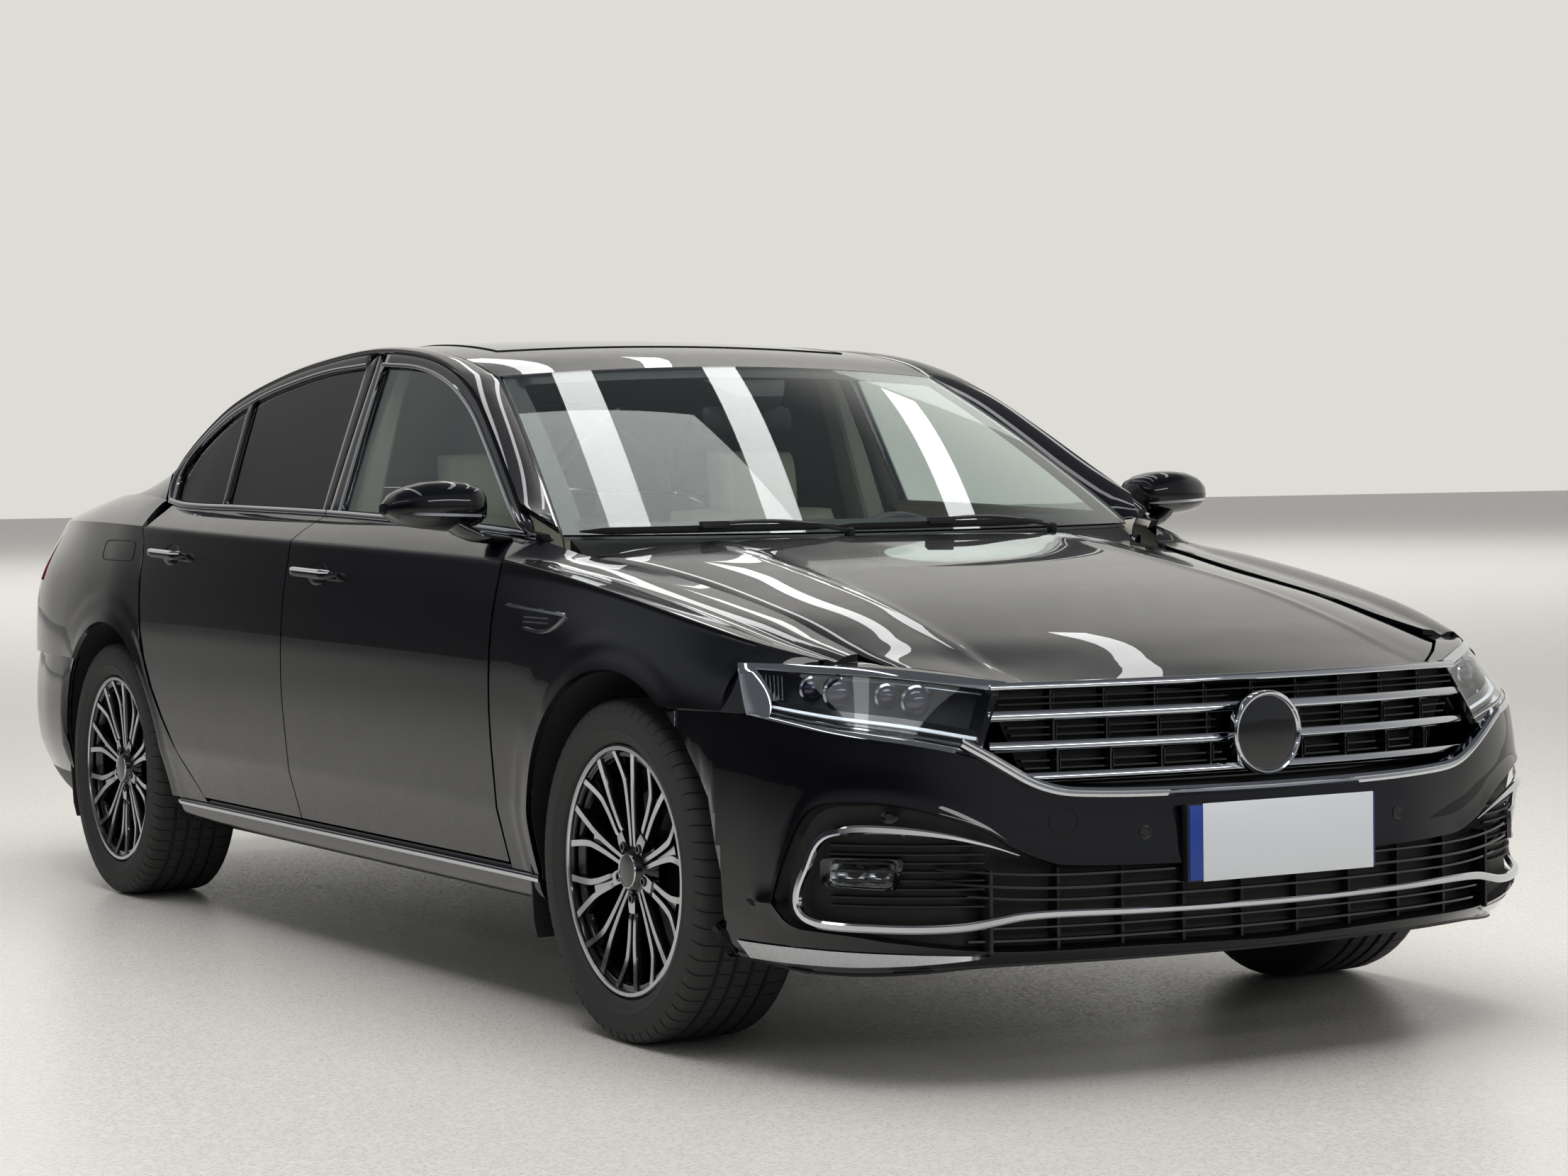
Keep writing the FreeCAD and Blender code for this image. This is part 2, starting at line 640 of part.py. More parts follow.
# Bonnet: across between its shut lines. Half width, y in the middle, at the crease and at the side,
# height in the middle, at the crease and at the side, crease's half width.
BONNET = [
    (735, -1188, -1164, -1104, 996, 990, 962, 452),
    (699, -1330, -1318, -1290, 972, 967, 942, 454),
    (674, -1600, -1586, -1550, 934, 926, 902, 462),
    (676, -1900, -1880, -1830, 884, 874, 856, 474),
    (680, -2180, -2130, -2020, 820, 810, 812, 488),
    (674, -2340, -2272, -2130, 768, 764, 788, 496),
    (664, -2430, -2362, -2206, 733, 740, 772, 502),
]


def bonnet_section(half, y_mid, y_crease, y_side, h_mid, h_crease, h_side, crease):
    """Closed section of the bonnet, with a crease at each side of the middle."""
    side = half - z.shut_gap
    top = [(-side, y_side, h_side), (-crease, y_crease, h_crease), (0, y_mid, h_mid),
           (crease, y_crease, h_crease), (side, y_side, h_side)]
    low = [(x, y, h - z.lid_skin) for x, y, h in top[::-1]]
    t = [place(*p) for p in top]
    b = [place(*p) for p in low]
    return [t[0], t[1], (t[2],), t[3], t[4], b[0], b[1], (b[2],), b[3], b[4]]


bonnet = panel([bonnet_section(*row) for row in BONNET])
keep("bonnet", bonnet)

# Cowl between the bonnet and the windscreen, its rear edge under the glass.
cowl_sections = []
for share in (-1, -0.66, -0.33, 0, 0.33, 0.66, 1):
    x = share * 728
    y_front = -1188 + 8 + 84 * share * share
    y_rear = -1150 + 140 * (x / 745) ** 2 + 6
    under = probe(windscreen, place(x, 0, 0).x, along(y_rear))[0] - seat_gap - 0.6 * share * share
    front_z = place(0, 0, 972 - 20 * share * share).z
    a, b = place(x, y_front, 0), place(x, y_rear, 0)
    cowl_sections.append([Vector(a.x, a.y, front_z - 26), Vector(a.x, a.y, front_z),
                          Vector(b.x, b.y, under), Vector(b.x, b.y, under - 26)])
cowl = loft(cowl_sections)
keep("cowl", cowl)

# Boot lid: its top from the rear window back, then its rear face down. Half width, y and height in
# the middle, and how much y and height fall at the sides, then the same for the underside.
BOOT_TOP = [(690, 1905, 1104, 0, 10), (636, 2180, 1098, 0, 22), (598, 2446, 1096, 56, 34), (590, 2478, 1000, 52, 6),
            (572, 2500, 742, 40, 0)]
BOOT_UNDER = [(572, 2466, 742, 40, 0), (590, 2444, 985, 52, 6), (598, 2414, 1060, 56, 34), (636, 2180, 1066, 0, 22),
              (690, 1905, 1072, 0, 10)]
boot_sections = []
for share in (-1, -0.6, 0, 0.6, 1):
    fall = share * share
    boot_sections.append([place((half - z.shut_gap) * share, y - dy * fall, h - dh * fall)
                          for half, y, h, dy, dh in BOOT_TOP + BOOT_UNDER])
boot_lid = panel(boot_sections)
keep("boot_lid", boot_lid)


# Bumpers: upright sections round the nose and the tail. Half width, y, height of the top edge.
def round_nose(rows, profile, wall, sign):
    """Bumper through upright sections, one for each row of (x, y, top height)."""
    sections = []
    for x, y, top in rows:
        angle = math.radians(90) * min(1, abs(x) / 900) ** 2.4
        out_x, out_y = math.copysign(math.sin(angle), x), sign * math.cos(angle)
        outer, inner = [], []
        for share, back in profile:
            h = z.bumper_low + (top - z.bumper_low) * share
            outer.append((x - out_x * back, y - out_y * back, h))
            inner.append((x - out_x * (back + wall), y - out_y * (back + wall), h))
        sections.append([place(*p) for p in outer + inner[::-1]])
    return panel(sections)


def both_sides(rows):
    """Rows from one side to the middle, and on to the other side."""
    return rows + [(-x, y, top) for x, y, top in rows[:-1][::-1]]


top_seam = FRONT_SEAM - 1.2
FRONT_BUMPER = [(943, -1780, top_seam), (933, -1900, top_seam), (918, -2010, top_seam), (888, -2140, 676),
                (826, -2270, 654), (730, -2368, 636), (610, -2440, 606), (480, -2486, 556), (300, -2520, 532),
                (0, -2537, 526)]
BUMPER_PROFILE = [(0, 60), (0.12, 12), (0.45, 0), (0.8, 4), (1, 16)]
front_bumper = round_nose(both_sides(FRONT_BUMPER), BUMPER_PROFILE, z.bumper_wall, -1).cut(arch_front)
MOUTH_HALF = 600
front_bumper = front_bumper.cut(box(-MOUTH_HALF, MOUTH_HALF, along(-2700), along(-2300), 268, 400))
under_fender = place(0, 0, FRONT_SEAM).z - seat_gap
front_bumper = front_bumper.cut(box(-1200, 1200, along(-2020), FRONT_AXLE, under_fender, under_fender + 100))
keep("front_bumper", front_bumper)
rear_top = REAR_SEAM - 0.8
REAR_BUMPER = [(942, 1660, rear_top), (932, 1850, rear_top), (905, 2080, rear_top), (850, 2290, rear_top),
               (730, 2430, rear_top), (566, 2500, 700), (300, 2530, 724), (0, 2537, 726)]
rear_bumper = round_nose(both_sides(REAR_BUMPER), BUMPER_PROFILE, z.bumper_wall, 1).cut(arch_rear)
under_quarter = place(0, 0, REAR_SEAM).z - seat_gap
rear_bumper = rear_bumper.cut(box(-1200, 1200, REAR_AXLE, along(2395), under_quarter, under_quarter + 150))
rear_bumper = rear_bumper.cut(quarter_low_edge).cut(mirrored(quarter_low_edge))
keep("rear_bumper", rear_bumper)


# Lamps: a deep lens between an upper and a lower edge, each through an inner, a middle and an outer point.
def lamp(upper, lower, back):
    """Lens block; back is how far it reaches into the car at each section."""
    sections = []
    for up, down, (bx, by) in zip(upper, lower, back):
        a, b = place(*down), place(*up)
        into = Vector(bx, by, 0)
        sections.append([a, b, b + into, a + into])
    return panel(sections, ruled=True)


HEAD_TOP = [(530, -2386, 744), (690, -2262, 768), (800, -2120, 774), (866, -2004, 775)]
HEAD_LOW = [(596, -2412, 616), (716, -2352, 642), (820, -2240, 662), (884, -2080, 690)]
HEAD_BACK = [(0, 90, -50), (-30, 80, -45), (-60, 60, -30), (-60, 10, -20)]
head_sections = []
for up, down, (bx, by, bz) in zip(HEAD_TOP, HEAD_LOW, HEAD_BACK):
    a, b = place(*down), place(*up)
    head_sections.append([a, b, b + Vector(bx, by, bz), a + Vector(bx, by, 0)])
headlamp = panel(head_sections, ruled=True)
keep("headlamps", pair(headlamp))
tail_sections = []
for station in (TAIL_FRONT, 2270, CORNER_Y, CORNER_Y + 35, CORNER_Y + 65, CORNER_Y + 90):
    turn = max(station - CORNER_Y, 0)
    ring = []
    for h in (TAIL_LOW, TAIL_HIGH):
        x = side_at(min(station, CORNER_Y), h)
        ring.append(corner_point(x, h, turn) if turn else (x, station, h))
    deep = z.tail_lamp_depth
    q, c = math.sin(math.radians(turn)), math.cos(math.radians(turn))
    back = [(x - deep * c, y - deep * q, h) for x, y, h in ring]
    tail_sections.append([place(*p) for p in ring + back[::-1]])
keep("tail_lamps", pair(panel(tail_sections, ruled=True)))


def bowed_slat(half, y_mid, y_end, low, high, deep):
    """Bar across the car that bows forward in the middle."""
    a, m, b = place(-half, y_end, low), place(0, y_mid, low), place(half, y_end, low)
    back = Vector(0, deep, 0)
    face = Part.Face(wire([a, (m,), b, b + back, (m + back,), a + back]))
    return face.extrude(Vector(0, 0, high - low))


# Upper grille: (half width, y middle, y end, low, high) of each bright bar.
GRILLE_BARS = [
    (508, -2438, -2384, 714, 732),
    (540, -2450, -2392, 672, 686),
    (556, -2462, -2400, 630, 644),
    (520, -2476, -2424, 590, 602),
]
# The lowest bar sweeps up at its ends: half width, y, height.
SWEEP = [(600, -2424, 620), (540, -2458, 590), (440, -2486, 560), (300, -2508, 545), (0, -2522, 540)]
GRILLE_FINS = 9
GRILLE_BACK = -2412
bars = [bowed_slat(*row, GRILLE_BACK - row[1]) for row in GRILLE_BARS]
sweep = [[place(x, y + dy, h + dh) for dy, dh in ((0, -9), (24, -9), (24, 7), (0, 7))]
         for x, y, h in both_sides(SWEEP)]
back_plate = bowed_slat(480, -2440, -2396, 560, 732, 12)
back_plate.translate(Vector(0, 30, 0))
fins = []
for i in range(GRILLE_FINS):
    x = (i - (GRILLE_FINS - 1) / 2) * 104
    y = -2446 + 50 * (x / 500) ** 2
    fins.append(box(x - 4, x + 4, along(y), along(y) + 50, 540 + 18 * (x / 416) ** 4, 730))
upper_grille = joined(bars + [loft(sweep), back_plate] + fins).cut(front_bumper).cut(bonnet)
upper_grille = upper_grille.cut(headlamp).cut(mirrored(headlamp))
# Lower grille: dark bars in the bumper's mouth.
LOWER_BARS = [(-2506, -2436, 272, 280), (-2514, -2440, 302, 314), (-2520, -2442, 352, 360), (-2520, -2442, 388, 396)]
lower_half = MOUTH_HALF - seat_gap
lower = [bowed_slat(lower_half, y_mid, y_end, low, high, 24) for y_mid, y_end, low, high in LOWER_BARS]
for i in range(GRILLE_FINS):
    x = (i - (GRILLE_FINS - 1) / 2) * 130
    y = -2500 + 58 * (x / 560) ** 2
    lower.append(box(x - 4, x + 4, along(y), along(y) + 20, 274, 394))
lower_grille = joined(lower)
keep("grilles", Part.makeCompound([upper_grille, lower_grille]))


# Floor pan with tunnel, firewall, seat bulkhead, boot floor and parcel shelf.
floor_low, floor_top = z.floor_height, z.floor_height + z.floor_thick
floor_half, rear_half = place(700, 0, 0).x - seat_gap, place(560, 0, 0).x
firewall_y, firewall_back = along(-1160), along(-1130)
bulkhead_y, bulkhead_back = along(1130), along(1160)
boot_floor = place(0, 0, 395).z
shelf = place(0, 0, 985).z
liner_inner_rear = place(650, 0, 0).x
shelf_block_top = footprint(boot_lid, 490, along(1932), 20)[0] - seat_gap
floor = joined([
    box(-floor_half, floor_half, firewall_y, along(970), floor_low, floor_top),
    box(-rear_half, rear_half, along(965), bulkhead_back, floor_low, floor_top),
    box(-110, 110, firewall_back, along(470), floor_top - 5, floor_top + z.tunnel_rise),
    box(-floor_half, floor_half, firewall_y, firewall_back, floor_low, place(0, 0, 880).z),
    box(-380, 380, firewall_y, firewall_back, 800, footprint(cowl, 360, along(-1145), 12)[0] - 8),
    box(-rear_half, rear_half, bulkhead_y, bulkhead_back, floor_low, shelf),
    box(-liner_inner_rear + seat_gap, liner_inner_rear - seat_gap, bulkhead_y, along(2380), boot_floor, boot_floor + 30),
    box(-rear_half, rear_half, bulkhead_y, along(1932) + 20, shelf - 5, shelf + 25),
    box(470, 510, along(1932) - 20, along(1932) + 20, shelf, shelf_block_top),
    box(-510, -470, along(1932) - 20, along(1932) + 20, shelf, shelf_block_top),
])
keep("floor_pan", floor)


# Wheel arch liners.
def liner(y, inner_x, outer_x):
    """Half ring over a wheel, closed towards the middle of the car."""
    outer = disc(z.liner_radius + z.liner_wall, inner_x, outer_x, y, z.tyre_radius)
    inner = disc(z.liner_radius, inner_x + z.liner_wall, outer_x + 1, y, z.tyre_radius)
    return outer.cut(inner).cut(box(inner_x - 1, outer_x + 1, y - 600, y + 600, -200, z.tyre_radius - 60))


LINER_FRONT = 470
arm_low, arm_high = z.tyre_radius - 150, z.tyre_radius + 150
arm_slot = box(LINER_FRONT - 5, LINER_FRONT + 10, FRONT_AXLE - 30, FRONT_AXLE + 30, arm_high - 20, arm_high + 20)
link_slot = box(liner_inner_rear - 5, liner_inner_rear + 10, REAR_AXLE - 130, REAR_AXLE + 60, 200, z.tyre_radius + 5)
bumper_end = box(870, 900, FRONT_AXLE - z.arch_radius - 40, FRONT_AXLE - z.arch_radius + 20, 200, 400)
keep("arch_liners", Part.makeCompound([
    pair(liner(FRONT_AXLE, LINER_FRONT, 878.8).cut(arm_slot).cut(bumper_end)),
    pair(liner(REAR_AXLE, liner_inner_rear, 880.6).cut(link_slot))]))

# Front structure: rails, radiator panel, crossmember, suspension arms, lamp carriers and bonnet buffers.
kx = z.kingpin_offset
panel_y = along(-2325)
buffer_y = panel_y + 15
front_bits = [
    box(380, 450, panel_y, firewall_y, 420, 500),
    box(400, 450, FRONT_AXLE - 50, FRONT_AXLE + 50, 200, 560),
    box(440, LINER_FRONT - seat_gap, FRONT_AXLE - 160, FRONT_AXLE - 100, 440, 480),
    bar(Vector(420, FRONT_AXLE, arm_low), Vector(kx + 22, FRONT_AXLE, arm_low), 50, 24),
    bar(Vector(420, FRONT_AXLE, arm_high), Vector(kx + 22, FRONT_AXLE, arm_high), 40, 22),
    box(440, 650, along(-2270), along(-2235), 640, 690).cut(headlamp),
    box(420, 450, along(-2320), along(-2235), 600, 660),
    post(10, 400, buffer_y, 600, footprint(bonnet, 400, buffer_y, 10)[0] - seat_gap / 2),
]
across = [
    box(-450, 450, panel_y, panel_y + 30, 300, 640),
    box(-450, 450, FRONT_AXLE - 60, FRONT_AXLE + 60, 200, 260),
    box(-200, 200, FRONT_AXLE - 40, FRONT_AXLE + 40, 255, 290),
]
keep("front_structure", joined(across + front_bits + [mirrored(s) for s in front_bits]))

# Rear suspension: subframe, links and fixed hub carriers with stub axles.
half_track = z.track / 2
stub = z.hub_bore - z.stub_clearance
rear_bits = [
    bar(Vector(460, REAR_AXLE, z.tyre_radius - 60), Vector(half_track - 130, REAR_AXLE, z.tyre_radius - 60), 60, 40),
    box(half_track - 150, half_track - 90, REAR_AXLE - 60, REAR_AXLE + 60, z.tyre_radius - 100, z.tyre_radius + 100),
    disc(stub, half_track - 100, half_track + 52, REAR_AXLE, z.tyre_radius),
    bar(Vector(460, REAR_AXLE - 220, 280), Vector(half_track - 120, REAR_AXLE - 40, z.tyre_radius - 40), 50, 40),
    box(430, 490, REAR_AXLE - 245, REAR_AXLE + 50, 250, 300),
    box(400, 440, REAR_AXLE - 30, REAR_AXLE + 30, 300, boot_floor - seat_gap),
]
rear_cross = box(-480, 480, REAR_AXLE - 50, REAR_AXLE + 50, 250, 320)
keep("rear_suspension", joined([rear_cross] + rear_bits + [mirrored(s) for s in rear_bits]))


# Knuckles that carry the front wheels.
def knuckle():
    """Upright between the two arms, its stub axle and brake caliper."""
    pin = z.stub_clearance
    upright = post(20, kx, FRONT_AXLE, arm_low + 12 + pin, arm_high - 11 - pin)
    block = box(kx - 30, kx + 26, FRONT_AXLE - 45, FRONT_AXLE + 45, z.tyre_radius - 70, z.tyre_radius + 70)
    axle = disc(stub, kx, half_track + 52, FRONT_AXLE, z.tyre_radius)
    return joined([upright, block, axle])


keep("knuckle_left", knuckle())
keep("knuckle_right", mirrored(knuckle()))


# Wheels, drawn round the origin with +X outboard, then set on their hubs.
def tyre_shape():
    """Tyre turned from half its section."""
    half, top, bead = z.tyre_width / 2, z.tyre_radius, z.rim_radius - z.rim_depth
    foot = z.bead_half
    body = [(-foot, bead), (-foot, z.rim_radius + 3), (-half, bead + 60), (-half + 6, top - 20), (-half * 0.74, top),
            (half * 0.74, top), (half - 6, top - 20), (half, bead + 60), (foot, z.rim_radius + 3), (foot, bead)]
    face = Part.Face(wire([Vector(x, 0, r) for x, r in body]))
    return face.revolve(Vector(0, 0, 0), Vector(1, 0, 0), 360)


SPOKES = 10


def rim_shape():
    """Barrel with flanges, forked spokes, hub and brake disc."""
    half = z.bead_half + seat_gap
    bead = z.rim_radius - z.rim_depth - seat_gap
    wall, top = z.rim_wall, z.rim_radius
    barrel = [(-half - 8, bead - wall), (-half - 8, top - 6), (-half, top - 6), (-half, bead), (half, bead), (half, top - 2),
              (half + 6, top), (half + 11, top - 5), (half + 6, bead - wall)]
    barrel = Part.Face(wire([Vector(x, 0, r) for x, r in barrel])).revolve(Vector(0, 0, 0), Vector(1, 0, 0), 360)
    hub = disc(78, 52, 84, 0, 0).cut(disc(z.hub_bore, 0, 66, 0, 0))
    spokes = []
    rim_r, hub_r, fork_r = bead - wall / 2, 60, 150
    for i in range(SPOKES):
        turn = 360 / SPOKES * i
        for sign in (-1, 1):
            inner = Vector(70, sign * 9, hub_r)
            fork = Vector(82, sign * 14, fork_r)
            outer = Vector(88, sign * 38, rim_r - 7)
            leg = bar(inner, fork, 13, 26).fuse(bar(fork + (inner - fork) * 0.03, outer, 12, 26))
            leg.rotate(Vector(0, 0, 0), Vector(1, 0, 0), turn)
            spokes.append(leg)
    brake = disc(z.disc_radius, -12, -12 + z.disc_thick, 0, 0).cut(disc(z.hub_bore, -20, 60, 0, 0))
    bell = disc(76, -12, 54, 0, 0).cut(disc(z.hub_bore, -20, 70, 0, 0))
    return joined([barrel, hub, brake, bell] + spokes)


tyre, rim = tyre_shape(), rim_shape()
for name, side, y in (("front_left", 1, FRONT_AXLE), ("front_right", -1, FRONT_AXLE),
                      ("rear_left", 1, REAR_AXLE), ("rear_right", -1, REAR_AXLE)):
    for kind, shape in (("tyre_", tyre), ("rim_", rim)):
        piece = shape.copy() if side > 0 else mirrored(shape)
        piece.translate(Vector(side * half_track, y, z.tyre_radius))
        keep(kind + name, piece)


# Mirrors on the front doors.
def mirror_shape():
    """Mirror head on its arm."""
    head = loft([[place(x, y, h) for y, h in ((y0, 1036), (y1, 1036), (y1 - 6, top), (y0 + 20, top))]
                 for x, y0, y1, top in ((938, -930, -800, 1104), (1010, -925, -795, 1120), (1090, -880, -800, 1090))])
    arm = loft([[place(x, y, h) for y, h in ((-950, h0), (-880, h0), (-880, h1), (-950, h1))]
                for x, h0, h1 in ((860, 985, 1012), (950, 995, 1042))], ruled=True)
    outside = arm.cut(front_door)
    kept = max(outside.Solids, key=lambda solid: solid.CenterOfMass.x)
    return joined([head, kept])


mirror_left = mirror_shape()
keep("mirror_left", mirror_left)
keep("mirror_right", mirrored(mirror_left))


# Seats, dashboard, steering wheel.
def seat(x0, x1, y, back_lean):
    """Cushion, backrest and headrest in one."""
    half = (x1 - x0) / 2
    mid = (x0 + x1) / 2
    cushion = box(x0, x1, y, y + 500, 330, 480)
    back = loft([[Vector(mid - w, yb, h), Vector(mid + w, yb, h), Vector(mid + w, yb + t, h), Vector(mid - w, yb + t, h)]
                 for w, yb, t, h in ((half, y + 400, 110, 420), (half, y + 400 + back_lean / 2, 120, 760),
                                     (half * 0.7, y + 400 + back_lean, 80, 1040))])
    rest = box(mid - 130, mid + 130, y + 405 + back_lean, y + 480 + back_lean, 1020, 1190)
    base = box(mid - 150, mid + 150, y + 60, y + 440, floor_top, 340)
    return joined([cushion, back, rest, base])


front_seat = seat(125, 640, along(-480), 190)
keep("front_seats", pair(front_seat))
rear_cushion = box(-640, 640, along(480), along(985), floor_top, 480)
rear_back = loft([[Vector(-w, along(y), h), Vector(w, along(y), h), Vector(w, along(y) + t, h), Vector(-w, along(y) + t, h)]
                  for w, y, t, h in ((600, 900, 80, 440), (600, 950, 100, 760), (560, 1010, 90, 1020))], ruled=True)
keep("rear_seat", joined([rear_cushion, rear_back]))
dash = loft([[place(x, -1128, 640), place(x, -700, 620), place(x, -660, 760), place(x, -720, 920), place(x, -1000, 950), place(x, -1128, 900)]
             for x in (-660, 0, 660)], ruled=True)
console = box(-112, 112, along(-720), along(-60), floor_top + z.tunnel_rise, 640)
wheel_centre = place(370, -520, 850)
tilt = Rotation(Vector(1, 0, 0), -68)
bore_axis = tilt.multVec(Vector(0, 0, -1))
column_bore = Part.makeCylinder(z.column_radius + z.stub_clearance, 400, wheel_centre, bore_axis)
keep("dashboard", joined([dash, console]).cut(column_bore))
ring = Part.makeTorus(z.steering_wheel_radius, z.wheel_rim_tube)
boss = Part.makeCylinder(62, 44, Vector(0, 0, -30))
spoke = box(-z.steering_wheel_radius, z.steering_wheel_radius, -16, 16, -9, 9)
down_spoke = box(-18, 18, -z.steering_wheel_radius, 0, -9, 9)
column = Part.makeCylinder(z.column_radius, 330, Vector(0, 0, -350))
steering = joined([ring, boss, spoke, down_spoke, column])
steering.Placement = FreeCAD.Placement(wheel_centre, tilt)
keep("steering_wheel", steering)

# Engine as one plain block, exhaust and wipers.
keep("engine", box(-300, 300, along(-2180), along(-1300), 290, 760))
pipe_z = floor_low - 28 - seat_gap
pipe = [rod(Vector(0, along(-1250), pipe_z), Vector(0, along(1500), pipe_z), 28),
        box(-420, 420, along(1900), along(2150), 225, boot_floor - seat_gap),
        rod(Vector(0, along(1500), pipe_z), Vector(150, along(1960), 260), 28),
        rod(Vector(360, along(2100), 260), Vector(520, along(2330), 256), 34),
        rod(Vector(-360, along(2100), 260), Vector(-520, along(2330), 256), 34)]
keep("exhaust", joined(pipe))
wiper = []
for pivot, x_end in ((-120, 480), (-660, -200)):
    pivot_y = -1162 + 62 * (pivot / 660) ** 2
    end_y = -1150 + 140 * (x_end / 745) ** 2 - 14
    start, end = place(pivot, pivot_y, 1026), place(x_end, end_y, 1032)
    foot = footprint(cowl, start.x, start.y, 10)[1] + seat_gap
    spindle = box(start.x - 10, start.x + 10, start.y - 10, start.y + 10, foot, start.z)
    wiper.append(joined([bar(start, end, 14, 12), spindle]))
keep("wipers", Part.makeCompound(wiper))

doc.recompute()
broken = [f.Label for f in made if "Invalid" in f.State or "Error" in f.State
          or f.Shape.isNull() or not f.Shape.isValid()]
if broken:
    raise RuntimeError("not built or not valid: " + ", ".join(broken))
for feature in made:
    feature.Shape.exportStep("parts/%s.step" % feature.Label)
print("%d sub-parts" % len(made))
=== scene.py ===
"""Four-door sedan car in gloss black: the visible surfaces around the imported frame.

Lengths in the tables are millimetres, drawn as on the car: x out from the middle, y from the nose (-) to
the tail (+), height above the ground. Points are turned to metres where they enter a mesh.
"""

import logging
import math
from dataclasses import dataclass
from enum import Enum
from functools import lru_cache
from typing import Callable, Sequence

import bmesh
import bpy
from mathutils import Matrix, Vector

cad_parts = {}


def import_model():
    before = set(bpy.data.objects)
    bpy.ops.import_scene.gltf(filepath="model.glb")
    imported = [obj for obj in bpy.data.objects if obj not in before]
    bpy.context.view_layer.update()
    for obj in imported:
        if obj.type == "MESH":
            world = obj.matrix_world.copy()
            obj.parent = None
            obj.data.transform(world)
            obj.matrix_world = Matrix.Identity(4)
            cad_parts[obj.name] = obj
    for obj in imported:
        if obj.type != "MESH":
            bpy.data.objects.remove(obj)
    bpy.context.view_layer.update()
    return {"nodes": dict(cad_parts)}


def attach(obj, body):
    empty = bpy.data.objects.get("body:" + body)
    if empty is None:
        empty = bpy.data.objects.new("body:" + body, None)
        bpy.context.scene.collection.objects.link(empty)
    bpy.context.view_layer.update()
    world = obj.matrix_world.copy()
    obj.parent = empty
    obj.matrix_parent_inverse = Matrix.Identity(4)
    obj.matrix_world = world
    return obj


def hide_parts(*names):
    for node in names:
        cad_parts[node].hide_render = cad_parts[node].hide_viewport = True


LOG = logging.getLogger("sedan")
MM = 0.001
SPLINE_STEPS = 16
Row = Sequence[float]
Line = list[Vector]
FRONT_AXLE, REAR_AXLE = -1587.0, 1422.0
WHEEL_RADIUS, HALF_TRACK = 345.0, 805.0
ARCH_RADIUS = 405.0


class Pattern(Enum):
    """How a surface's fine relief is made."""
    SMOOTH = "smooth"
    GRAIN = "grain"
    LEATHER = "leather"
    CAST = "cast"
    BRUSHED = "brushed"
    CARPET = "carpet"
    FLAKE = "flake"


def linear(hex_colour: str) -> tuple[float, float, float, float]:
    """Turns an sRGB hex colour into the linear values that a shader takes.

    Args:
        hex_colour: six hexadecimal digits.

    Returns:
        Red, green, blue and a full alpha.
    """
    parts = [int(hex_colour[i:i + 2], 16) / 255 for i in (0, 2, 4)]
    out = [c / 12.92 if c <= 0.04045 else ((c + 0.055) / 1.055) ** 2.4 for c in parts]
    return out[0], out[1], out[2], 1.0


def add_node(tree: bpy.types.NodeTree, kind: str, settings: dict | None = None,
             links: dict | None = None) -> bpy.types.Node:
    """Adds a node to a tree.

    Args:
        tree: the node tree.
        kind: the node's type name.
        settings: properties by name, and input values by socket name or number.
        links: output sockets by the name or number of the input that they feed.

    Returns:
        The new node.
    """
    node = tree.nodes.new(kind)
    for key, value in (settings or {}).items():
        if isinstance(key, str) and hasattr(node, key):
            setattr(node, key, value)
        else:
            node.inputs[key].default_value = value
    for key, socket in (links or {}).items():
        tree.links.new(socket, node.inputs[key])
    return node


